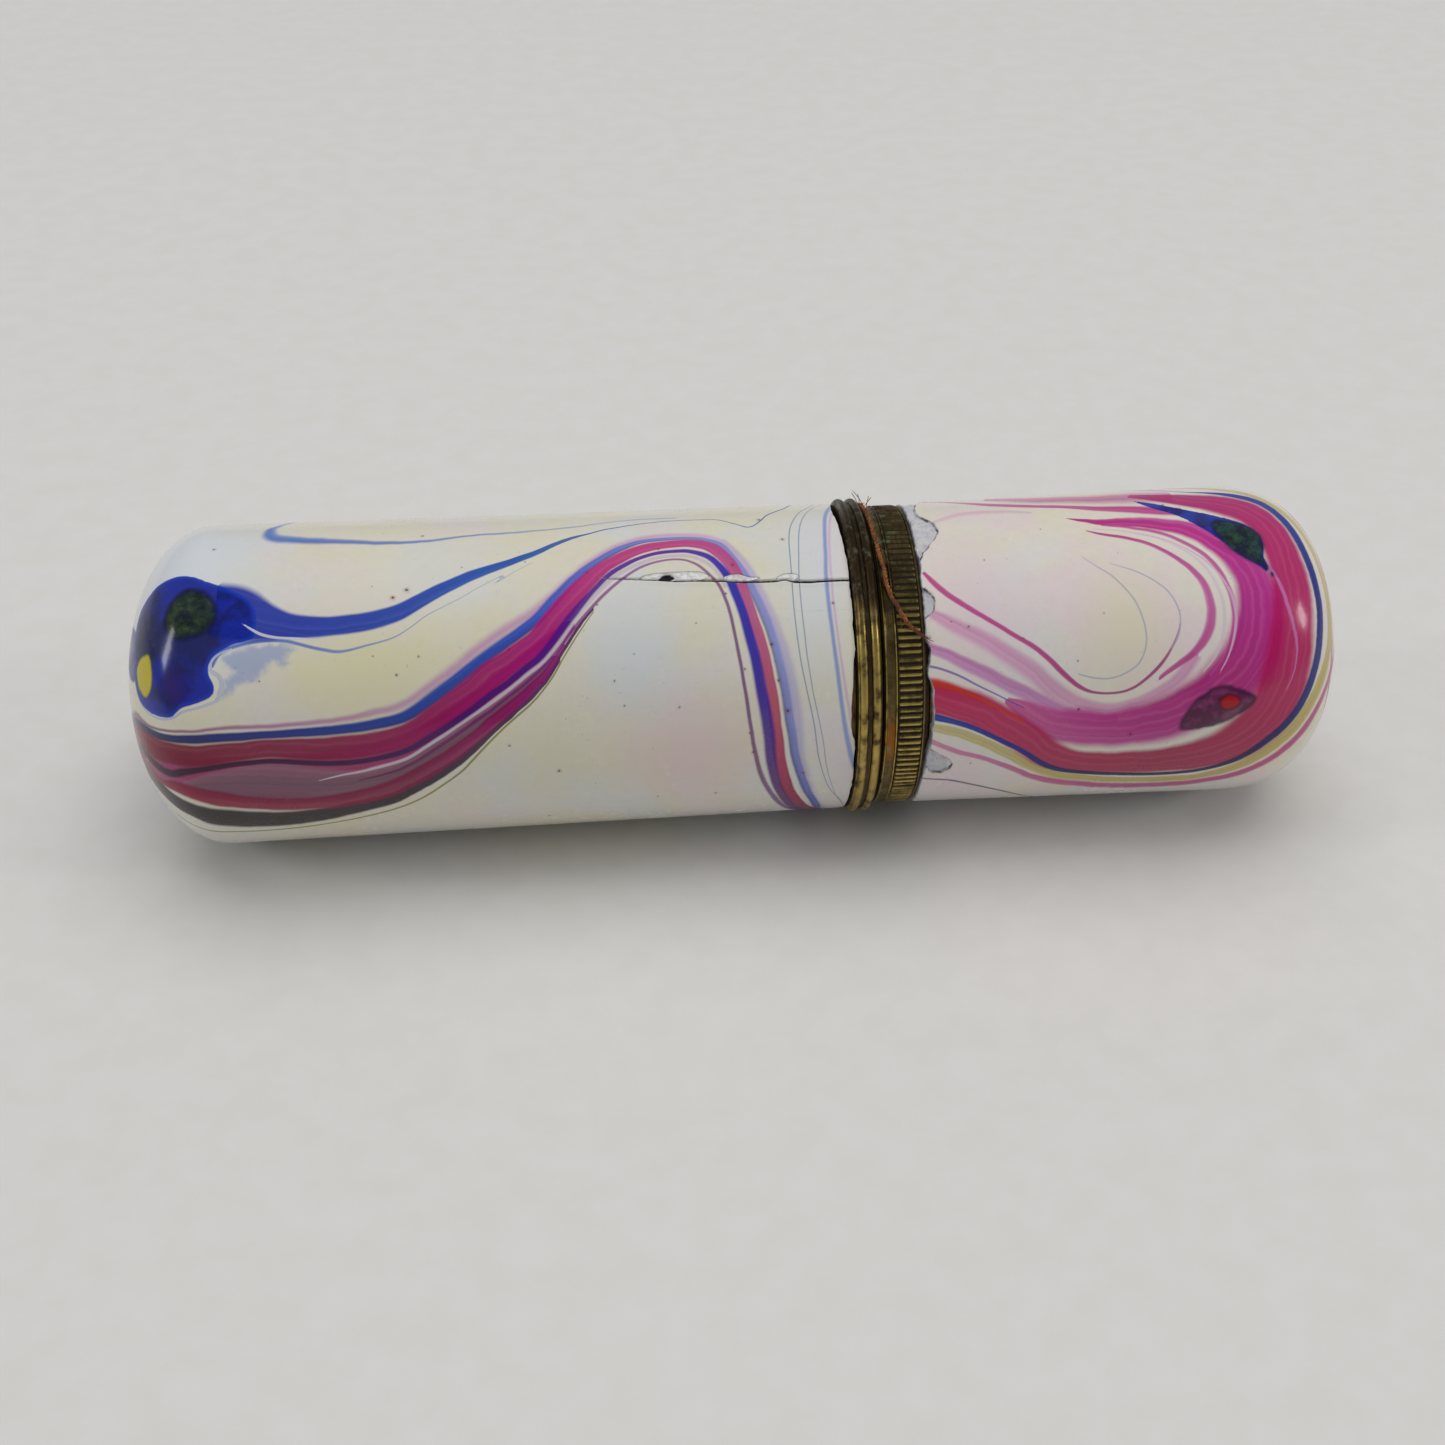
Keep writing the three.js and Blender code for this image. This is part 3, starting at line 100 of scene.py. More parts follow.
BASE_POOLS = {
    "wedge": [(24.68, 100.7), (25.15, 99.5), (26.09, 96.3), (27.56, 91.1), (29.03, 86.8), (30.50, 81.6), (31.26, 76.7), (31.44, 71.1), (31.26, 65.1), (31.68, 57.6), (31.15, 60.4), (30.65, 63.0), (29.85, 66.3), (28.97, 72.9), (28.00, 80.2), (26.97, 87.1), (25.79, 92.7), (24.97, 97.6)],
    "wedge_dark": [(29.03, 84.2), (30.50, 81.2), (31.32, 76.4), (31.50, 71.1), (31.26, 65.1), (31.68, 57.6), (31.15, 60.4), (30.50, 63.3), (29.68, 67.3), (28.88, 73.7), (28.59, 79.5)],
    "drop": [(26.00, 2.0), (25.88, 6.5), (26.44, 12.8), (27.26, 17.3), (28.21, 19.5), (29.32, 17.8), (30.26, 14.9), (30.09, 10.9), (29.09, 6.7), (27.91, 3.4)],
    "drop_red": [(28.00, 13.8), (28.44, 16.4), (29.18, 15.5), (29.38, 12.4), (28.88, 10.0), (28.21, 10.3)],
    "chip1": [(10.50, 135.4), (12.85, 135.4), (12.32, 123.3), (11.53, 112.8), (11.12, 104.2), (11.18, 98.9), (11.68, 93.7), (12.09, 89.4), (11.97, 84.2), (11.44, 79.5), (10.97, 75.7), (10.50, 75.7)],
    "chip2": [(10.50, 59.0), (10.85, 58.5), (11.15, 56.2), (11.21, 52.9), (11.03, 49.9), (10.74, 48.6), (10.50, 48.6)],
    "chip3": [(10.50, -1.5), (11.09, -3.2), (11.53, -5.3), (12.15, -8.4), (12.26, -11.4), (11.82, -14.5), (11.24, -14.9), (10.91, -12.2), (10.50, -10.5)],
}

# The streams of colour go on round the side that faces away, in wide lazy bends.
def go_on(veins, name, before=(), after=()):
    veins[name] = list(before) + veins[name] + list(after)


go_on(CAP_VEINS, "halo", after=[(5.0, -62, 0.7), (5.0, -85, 0.7), (3.4, -108, 0.7), (-1.0, -126, 0.6), (-8, -137, 0.6), (-16, -146, 0.5), (-24, -152, 0.4), (-30, -150, 0.3)])
go_on(CAP_VEINS, "blue_band", after=[(4.6, -50, 0.32), (4.6, -72, 0.34), (3.6, -96, 0.36), (0.6, -116, 0.36), (-5, -129, 0.34), (-12, -139, 0.32), (-20, -147, 0.3), (-27, -150, 0.24), (-32, -140, 0.15)])
go_on(CAP_VEINS, "crimson", after=[(4.7, -62, 0.45), (3.9, -86, 0.5), (1.6, -106, 0.56), (-2.6, -121, 0.6), (-9, -131, 0.62), (-16, -138, 0.6), (-23, -141, 0.55), (-29, -136, 0.5), (-33, -120, 0.4)])
go_on(CAP_VEINS, "purple", after=[(3.8, -60, 0.32), (3.0, -82, 0.3), (0.6, -100, 0.28), (-4, -113, 0.26), (-11, -123, 0.24), (-18, -129, 0.22), (-25, -130, 0.2), (-31, -122, 0.15)])
go_on(CAP_VEINS, "mauve_line", after=[(3.2, -66, 0.3), (1.6, -86, 0.28), (-2, -101, 0.24), (-9, -113, 0.2), (-17, -119, 0.16), (-24, -118, 0.1)])
go_on(CAP_VEINS, "blue_streak", after=[(4.6, 142, 0.12), (5.4, 158, 0.14), (6.3, 172, 0.14)])
go_on(CAP_VEINS, "upper_streak", before=[(-6, 176, 0.08), (-14, 168, 0.16), (-21, 152, 0.25), (-25.5, 138, 0.25)])
go_on(CAP_VEINS, "line_a", before=[(6.4, 142, 0.06), (5.8, 130, 0.06)], after=[(6.3, -46, 0.05)])
go_on(CAP_VEINS, "line_b", before=[(6.4, 134, 0.05), (6.0, 125, 0.05)], after=[(5.6, -30, 0.04), (6.3, -40, 0.03)])
go_on(CAP_VEINS, "dark_low", before=[(-33.5, -60, 0.2), (-34.6, -38, 0.4)])
OVER = [(-36.0, -1.0), (-3.4, -2.6), (-0.4, -3.9), (2.6, -4.9), (5.4, -5.6)]


for name, dy, dz, w, back in (("crimson", 0.0, 0.6, 0.85, (-34.0, -128, 0.3)), ("blue_band", 0.2, 1.9, 0.4, (-34.2, -140, 0.12)), ("halo", 0.3, 2.7, 0.4, (-34.2, -146, 0.12)), ("purple", 0.0, -0.55, 0.35, (-34.2, -122, 0.12)), ("dark_low", -0.4, -2.6, 0.9, (-34.2, -104, 0.2)), ("lower_crimson", -0.2, -1.4, 0.5, (-34.2, -114, 0.15))):
    if name == "dark_low":
        CAP_VEINS[name] = [p for p in CAP_VEINS[name] if not (p[0] < -33.4 and p[1] < -30)]
    start = CAP_VEINS[name][0]
    pts = [("end", y + dy, z + dz, w) for y, z in OVER[1:]]
    bridge = [("end", -6.4 + 0.35 * dy, 0.55 + 0.75 * dz, w)]
    CAP_VEINS[name] = [back] + pts[::-1] + bridge + CAP_VEINS[name][(1 if start[0] < -34.9 else 0):]
CAP_VEINS["blob_end"] = [(-34.6, 60, 1.9), ("end", -4.4, 5.9, 1.7), ("end", -2.6, 5.0, 1.35), ("end", -0.6, 4.6, 0.9), ("end", 1.8, 4.9, 0.5), ("end", 4.0, 6.0, 0.2), ("end", 5.3, 6.5, 0.04)]
CAP_VEINS["back_blue"] = [(-35, 150, 0.3), (-32, 166, 0.55), (-27, 178, 0.5), (-20, 186, 0.36), (-12, 196, 0.26), (-4, 210, 0.2), (2, 222, 0.16), (6.4, 228, 0.14)]
CAP_VEINS["back_rose"] = [(-33, 196, 0.2), (-27, 202, 0.42), (-19, 204, 0.5), (-11, 214, 0.42), (-5, 226, 0.34), (-1, 240, 0.3), (1, 256, 0.22)]
CAP_VEINS["back_line"] = [(-30, 136, 0.06), (-22, 170, 0.07), (-13, 184, 0.08), (-4, 194, 0.08), (3, 204, 0.07), (6.4, 208, 0.06)]
CAP_POOLS["back_pool"] = [(-34.6, 214), (-31, 210), (-28, 218), (-27, 232), (-29, 244), (-33, 246), (-35.2, 232)]
go_on(BASE_VEINS, "blue_loop", after=[(26.2, 116, 0.12), (23.5, 124, 0.1), (19, 134, 0.12), (14, 150, 0.16), (10.7, 172, 0.2)])
go_on(BASE_VEINS, "ochre", after=[(27, 122, 0.3), (22, 134, 0.26), (17, 146, 0.22), (13, 162, 0.2), (10.7, 182, 0.2)])
go_on(BASE_VEINS, "pink_out", after=[(34.9, 96, 0.4), (33.5, 118, 0.42), (30, 134, 0.46), (25, 146, 0.5), (19, 158, 0.5), (14, 176, 0.5), (10.7, 196, 0.5)])
BASE_VEINS["back_crimson"] = [(10.7, 222, 0.7), (15, 216, 0.8), (20, 204, 0.95), (25, 190, 1.1), (30, 178, 1.2), (33, 190, 0.9), (33.5, 212, 0.7), (31, 232, 0.6), (26, 246, 0.5), (21, 258, 0.3)]
BASE_VEINS["back_blue"] = [(10.7, 236, 0.25), (15, 230, 0.3), (20, 219, 0.32), (25, 206, 0.3), (29, 200, 0.28), (30.5, 212, 0.26), (29, 228, 0.24), (24, 240, 0.2), (18, 252, 0.15), (12, 262, 0.12)]
BASE_VEINS["back_rose"] = [(10.7, 206, 0.2), (16, 198, 0.22), (21, 184, 0.24), (26, 168, 0.26), (31, 156, 0.3), (34.5, 170, 0.3), (35.2, 210, 0.3), (34.4, 250, 0.3), (31, 276, 0.25), (25, 286, 0.2), (18, 288, 0.15)]
BASE_VEINS["back_line"] = [(10.7, 244, 0.06), (16, 239, 0.06), (22, 228, 0.07), (27, 220, 0.07)]
BASE_VEINS["end_pink"] = [(35.75, a, 0.3) for a in range(-170, 190, 12)]
BASE_VEINS["end_blue"] = [(36.35, a, 0.16) for a in range(20, 220, 10)]

CRACK = [(-8.4, 68.9, 0.006), (-7.9, 68.5, 0.012), (-7.0, 68.2, 0.022), (-6.0, 67.7, 0.035), (-4.9, 67.1, 0.05), (-4.0, 66.4, 0.055), (-2.6, 66.2, 0.05), (-1.0, 65.6, 0.055), (0.0, 64.9, 0.06), (1.0, 64.7, 0.055), (2.0, 64.7, 0.06), (2.5, 65.4, 0.055), (3.0, 64.2, 0.08), (3.9, 63.8, 0.07), (5.0, 64.0, 0.06), (6.4, 63.9, 0.06)]
FLAKES = [
    [(-6.0, 68.0), (-5.6, 69.2), (-5.0, 69.7), (-4.1, 69.9), (-3.0, 69.9), (-2.3, 69.3), (-2.0, 67.4), (-2.6, 66.4), (-4.0, 66.6), (-4.9, 67.3), (-5.5, 67.6)],
    [(-1.1, 66.2), (-0.85, 67.7), (-0.2, 68.0), (0.4, 66.7), (1.0, 66.1), (0.3, 65.2), (-0.7, 65.5)],
    [(2.0, 65.1), (2.4, 67.1), (3.0, 67.4), (3.3, 66.2), (3.1, 64.7), (2.5, 64.9)],
]
HOLE = [(-4.95, 67.4), (-4.6, 69.3), (-4.2, 69.2), (-3.95, 67.7), (-4.25, 66.9), (-4.75, 67.0)]

# Small specks sunk in the coating: x, angle, radius in mm (negative: grey).
CAP_SPECKS = [(-0.5, 72.3, 0.10), (-1.05, 60.5, 0.08), (1.45, 41.4, 0.11), (1.75, 28.7, 0.09), (2.25, 17.6, 0.13), (3.25, -9.7, 0.1), (-0.2, 33.2, 0.08), (0.0, 9.8, 0.08), (0.2, 1.7, 0.09), (-12.0, 31.7, 0.08), (-8.6, 58.3, 0.07), (-13.8, 43.8, 0.07), (-4.8, 81.2, 0.08), (-4.1, 20.9, -0.08), (-7.3, 22.4, -0.07), (-11.3, -2.0, -0.12), (-7.8, 31.2, -0.08), (5.2, 55.2, 0.09), (1.45, 98.0, -0.13), (2.65, 84.1, -0.11), (-20.4, 64.2, 0.13), (-19.6, 67.1, -0.15), (-31.0, 90.6, -0.1), (-18.8, 94.7, -0.1), (-20.3, 36.8, 0.08), (-19.0, 42.7, 0.07), (-28.1, 36.8, -0.06), (-21.6, 69.1, -0.05), (-16.4, 75.9, -0.05), (-14.1, 9.8, -0.08), (-25.9, 12.3, 0.06), (-21.6, 43.5, 0.05), (-9.1, 71.5, 0.06), (-2.0, -19.0, 0.08), (-5.5, -19.0, 0.06), (-12.1, -30.2, -0.1), (-6.6, 40.2, -0.05), (-2.9, 50.0, 0.05), (-12.7, 77.4, 0.05), (-17.0, 150, 0.1), (-9.0, 170, -0.1), (-22, 190, 0.08), (1.0, 200, 0.1), (-6.0, 240, 0.1), (-15, 250, -0.09), (-3.0, 130, 0.07)]
BASE_SPECKS = [(13.1, 44.5, -0.08), (19.6, 12.6, 0.11), (22.9, 1.2, 0.12), (19.5, 30.5, 0.06), (12.1, 46.6, -0.05), (26.3, 96.0, 0.07), (16.3, 39.4, -0.06), (14.5, 70.2, 0.05), (21.2, 47.0, -0.05), (18.3, 84.0, 0.05), (13.4, -10.0, 0.06), (15.0, 150, 0.1), (24.0, 230, -0.1), (19.0, 275, 0.09)]


# ------------------------------------------------------------------ outlines of the case
def end_r(u, radius, depth, power, flat=3.0):
    """Radius at u from the end flat of a rounded end."""
    t0 = math.asin((flat / radius) ** (power / 2))
    c = depth * (1 - math.cos(t0) ** (2 / power))
    q = np.clip((depth - c - np.asarray(u, float)) / depth, 0, 1)
    return radius * (1 - q**power) ** (1 / power)


def end_length(radius, depth, power, flat=3.0):
    t0 = math.asin((flat / radius) ** (power / 2))
    return depth - depth * (1 - math.cos(t0) ** (2 / power))


CAP_MOUTH_X, BASE_MOUTH_X = 6.3, 10.62
CAP_LEN, BASE_LEN = end_length(9.84, 5.6, 2.05), end_length(9.66, 7.3, 2.7)


def cap_r(x):
    x = np.asarray(x, float)
    body = 9.84 + (9.57 - 9.84) * (x + 37 - CAP_LEN) / (CAP_MOUTH_X + 37 - CAP_LEN)
    return np.where(x + 37 < CAP_LEN, end_r(x + 37, 9.84, 5.6, 2.05), body)


def base_r(x):
    x = np.asarray(x, float)
    body = 9.66 + (9.42 - 9.66) * (37 - BASE_LEN - x) / (37 - BASE_LEN - BASE_MOUTH_X)
    return np.where(37 - x < BASE_LEN, end_r(37 - x, 9.66, 7.3, 2.7), body)


def on(x, deg, r):
    """A point in millimetres at station x, angle deg and radius r."""
    a = np.radians(deg)
    return np.stack([np.asarray(x, float) + 0 * a, -r * np.cos(a), r * np.sin(a)], -1)


# ------------------------------------------------------------------ mesh building
def make_mesh(name, verts, faces, smooth=38.0):
    """verts in millimetres about the axis, faces as an array of quads or a list."""
    me = bpy.data.meshes.new(name)
    v = np.asarray(verts, float) * MM
    v[:, 2] += AXIS_Z * MM
    me.from_pydata(v.tolist(), [], [tuple(int(i) for i in f) for f in faces])
    me.update()
    me.shade_smooth()
    if smooth is not None:
        me.set_sharp_from_angle(angle=math.radians(smooth))
    ob = bpy.data.objects.new(name, me)
    bpy.context.scene.collection.objects.link(ob)
    return ob


def fast_mesh(name, verts, quads, smooth=38.0):
    """The same for large all-quad meshes, written straight into the mesh's arrays."""
    me = bpy.data.meshes.new(name)
    v = np.asarray(verts, np.float64) * MM
    v[:, 2] += AXIS_Z * MM
    tris = quads[quads[:, 2] == quads[:, 3]][:, :3]
    quad = quads[quads[:, 2] != quads[:, 3]]
    n = len(quad) * 4 + len(tris) * 3
    me.vertices.add(len(v))
    me.vertices.foreach_set("co", v.astype(np.float32).ravel())
    me.loops.add(n)
    me.loops.foreach_set("vertex_index", np.concatenate([quad.ravel(), tris.ravel()]).astype(np.int32))
    me.polygons.add(len(quad) + len(tris))
    starts = np.concatenate([np.arange(len(quad)) * 4, len(quad) * 4 + np.arange(len(tris)) * 3])
    me.polygons.foreach_set("loop_start", starts.astype(np.int32))
    me.update(calc_edges=True)
    me.validate()
    me.shade_smooth()
    if smooth is not None:
        me.set_sharp_from_angle(angle=math.radians(smooth))
    ob = bpy.data.objects.new(name, me)
    bpy.context.scene.collection.objects.link(ob)
    return ob


def ring_faces(rings, n, closed):
    """Quads between successive rings of n vertices each. A ring of one vertex closes an end.
    rings is a list of (first index, count)."""
    out = []
    pairs = list(zip(rings[:-1], rings[1:]))
    if closed:
        pairs.append((rings[-1], rings[0]))
    j = np.arange(n)
    k = (j + 1) % n
    for (a, na), (b, nb) in pairs:
        if na == n and nb == n:
            out.append(np.stack([a + j, b + j, b + k, a + k], 1))
        elif na == 1 and nb == n:
            out.append(np.stack([a + 0 * j, b + j, b + k, b + k], 1))
        elif na == n and nb == 1:
            out.append(np.stack([a + j, b + 0 * j, a + k, a + k], 1))
    return np.concatenate(out)


def volume(verts, quads):
    a, b, c, d = (verts[quads[:, i]] for i in range(4))
    return float((np.cross(b - a, c - a) * a).sum() + (np.cross(c - a, d - a) * a).sum()) / 6


def lathe(name, profile, angles, shape=None, smooth=38.0):
    """A turned piece. profile is a list of (x, r) that closes on itself, or starts and ends on the
    axis. shape(x, angle, r, ring) may return changed x and r arrays for each ring of vertices."""
    closed = not (profile[0][1] == 0 and profile[-1][1] == 0)
    deg = np.asarray(angles, float)
    n = len(deg)
    verts, rings, at = [], [], 0
    for i, (x, r) in enumerate(profile):
        if r == 0:
            verts.append(np.array([[x, 0.0, 0.0]]))
            rings.append((at, 1))
            at += 1
            continue
        xs, rs = np.full(n, float(x)), np.full(n, float(r))
        if shape is not None:
            xs, rs = shape(xs, deg, rs, i)
        verts.append(on(xs, deg, rs))
        rings.append((at, n))
        at += n
    v = np.concatenate(verts)
    q = ring_faces(rings, n, closed)
    if volume(v, q) < 0:
        q = q[:, ::-1]
        q = np.where((q[:, 0] == q[:, 1])[:, None], q[:, [1, 2, 3, 3]], q)
    ob = fast_mesh(name, v, q, smooth)
    return ob, v, rings


def even(n, start=0.0):
    return start + np.arange(n) * 360.0 / n


def arc(cx, cr, rx, rr, a0, a1, steps):
    """Points on an ellipse about (cx, cr), angles in degrees from +x towards +r."""
    return [(cx + rx * math.cos(math.radians(a)), cr + rr * math.sin(math.radians(a))) for a in np.linspace(a0, a1, steps)]


# ------------------------------------------------------------------ colour fields
END_SIGN = {"cap_r": -1, "base_r": 1}
ENDS = {"cap_r": (9.84, 5.6, 2.05), "base_r": (9.66, 7.3, 2.7)}


def settle(p, surface):
    """Points near the surface, brought onto it: to the nearest place on the rounded end, square to the axis elsewhere."""
    sign = END_SIGN[surface.__name__]
    radius, depth, power = ENDS[surface.__name__]
    t0 = math.asin((3.0 / radius) ** (power / 2))
    t = np.linspace(t0, math.pi / 2, 240)
    h = depth * (1 - np.maximum(np.cos(t), 0) ** (2 / power)) - depth * (1 - math.cos(t0) ** (2 / power))
    px = sign * (37.0 - np.concatenate([np.zeros(40), h, h[-1] + np.linspace(0.03, 3, 80)]))
    pr = np.concatenate([np.linspace(0, 3.0, 41)[:-1], radius * np.sin(t) ** (2 / power), surface(px[-80:])])
    r = np.maximum(np.hypot(p[:, 1], p[:, 2]), 1e-6)
    end = sign * p[:, 0] > 31.0
    near = ((p[:, 0][:, None] - px[None]) ** 2 + (r[:, None] - pr[None]) ** 2).argmin(1)
    out = p.copy()
    out[end, 0] = px[near[end]]
    k = np.where(end, pr[near], surface(p[:, 0])) / r
    out[:, 1] *= k
    out[:, 2] *= k
    return out


def spline(points, step=0.16, surface=cap_r):
    """Points (x, deg, w) through a Catmull-Rom curve, evenly resampled on the surface."""
    p = []
    for k in points:
        if k[0] == "end":
            p.append([END_SIGN[surface.__name__] * 37.0, k[1], k[2], k[3]])
        else:
            p.append([*on(float(k[0]), float(k[1]), float(surface(float(k[0])))), k[2] if len(k) > 2 else 0.1])
    p = np.array(p)
    q = np.vstack([2 * p[0] - p[1], p, 2 * p[-1] - p[-2]])
    out = []
    for i in range(1, len(q) - 2):
        t = np.linspace(0, 1, 30, endpoint=False)[:, None]
        a, b, c, d = q[i - 1], q[i], q[i + 1], q[i + 2]
        out.append(0.5 * (2 * b + (c - a) * t + (2 * a - 5 * b + 4 * c - d) * t**2 + (3 * b - a - 3 * c + d) * t**3))
    out.append(q[-2][None])
    s = np.concatenate(out)
    s[:, 3] = np.maximum(s[:, 3], 0.01)
    s[:, :3] = settle(s[:, :3], surface)
    length = np.concatenate([[0], np.cumsum(np.linalg.norm(np.diff(s[:, :3], axis=0), axis=1))])
    m = max(8, int(length[-1] / step))
    t = np.linspace(0, length[-1], m)
    s = np.stack([np.interp(t, length, s[:, i]) for i in range(4)], 1)
    return s[:, :3], s[:, 3], t


def normals(p, surface):
    e = 0.02
    slope = (surface(p[:, 0] + e) - surface(p[:, 0] - e)) / (2 * e)
    r = np.hypot(p[:, 1], p[:, 2]) + 1e-9
    n = np.stack([-slope, p[:, 1] / r, p[:, 2] / r], 1)
    return n / np.linalg.norm(n, axis=1)[:, None]


def vein_field(v, points, surface):
    """Per vertex: signed place across the vein over its half width, length along it, half width."""
    c, w, t = spline(points, surface=surface)
    tan = np.gradient(c, axis=0)
    tan /= np.linalg.norm(tan, axis=1)[:, None]
    side = np.cross(normals(c, surface), tan)
    near = np.empty(len(v), np.int64)
    c2 = (c**2).sum(1)
    for i in range(0, len(v), 20000):
        part = v[i : i + 20000]
        near[i : i + 20000] = (c2 - 2 * part @ c.T).argmin(1)
    d = v - c[near]
    along = (d * tan[near]).sum(1)
    along = np.clip(along, -0.2, 0.2)
    lateral = d - along[:, None] * tan[near]
    sign = np.where((lateral * side[near]).sum(1) < 0, -1.0, 1.0)
    dist = np.linalg.norm(lateral, axis=1) * sign
    slope = np.gradient(w, t)
    hw = w[near] + slope[near] * along
    past = ((near == 0) & (along < -0.05)) | ((near == len(c) - 1) & (along > 0.05))
    hw = np.where(past | (np.abs(dist) > 2.2 * hw + 0.6), 0.004, np.maximum(hw, 0.008))
    u = np.clip(dist / np.maximum(hw, 0.008), -40, 40)
    return np.stack([u, t[near] + along, hw], 1).astype(np.float32)


def pool_field(v, outline, surface):
    """Per vertex: signed distance to a closed outline, positive inside, then x and angle from its middle."""
    p = np.asarray(outline, float)
    q = np.vstack([p[-1], p, p[0], p[1]])
    out = []
    for i in range(1, len(q) - 2):
        t = np.linspace(0, 1, 14, endpoint=False)[:, None]
        a, b, c, d = q[i - 1], q[i], q[i + 1], q[i + 2]
        out.append(0.5 * (2 * b + (c - a) * t + (2 * a - 5 * b + 4 * c - d) * t**2 + (3 * b - a - 3 * c + d) * t**3))
    s = np.concatenate(out)
    c = on(s[:, 0], s[:, 1], surface(s[:, 0]))
    c2 = (c**2).sum(1)
    dist = np.empty(len(v))
    for i in range(0, len(v), 20000):
        part = v[i : i + 20000]
        dist[i : i + 20000] = np.sqrt(np.maximum((part**2).sum(1)[:, None] + c2 - 2 * part @ c.T, 0)).min(1)
    mid = p.mean(0)
    x = v[:, 0]
    deg = np.degrees(np.arctan2(v[:, 2], -v[:, 1]))
    deg = mid[1] + (deg - mid[1] + 180) % 360 - 180
    inside = np.zeros(len(v), bool)
    sx, sa = s[:, 0], s[:, 1]
    for i in range(len(s)):
        j = (i + 1) % len(s)
        cross = (sa[i] > deg) != (sa[j] > deg)
        at = sx[i] + (deg - sa[i]) / (sa[j] - sa[i] + 1e-12) * (sx[j] - sx[i])
        inside ^= cross & (x < at)
    sd = np.where(inside, dist, -dist)
    return np.stack([sd, x - mid[0], (deg - mid[1]) * 0.168], 1).astype(np.float32)


def speck_field(v, specks, surface):
    """Per vertex: the way to the nearest speck in mm, across and along, and that speck's radius."""
    s = np.asarray(specks, float)
    c = on(s[:, 0], s[:, 1], surface(s[:, 0]))
    near = (((c**2).sum(1)) - 2 * v @ c.T).argmin(1)
    d = v - c[near]
    a = np.radians(s[near, 1])
    round_way = np.stack([0 * a, np.sin(a), np.cos(a)], 1)
    return np.stack([d[:, 0], (d * round_way).sum(1), s[near, 2]], 1).astype(np.float32)


def put(ob, name, values, count):
    """A vector attribute on the first count vertices, and far from any vein on the rest."""
    me = ob.data
    full = np.zeros((len(me.vertices), 3), np.float32)
    full[:, 0] = 40.0 if values.shape[0] else 0
    full[:count] = values[:count]
    at = me.attributes.new(name, "FLOAT_VECTOR", "POINT")
    at.data.foreach_set("vector", full.ravel())


# ------------------------------------------------------------------ node helpers
def rgb(r, g, b):
    return tuple(c / 255 / 12.92 if c / 255 <= 0.04045 else ((c / 255 + 0.055) / 1.055) ** 2.4 for c in (r, g, b)) + (1.0,)


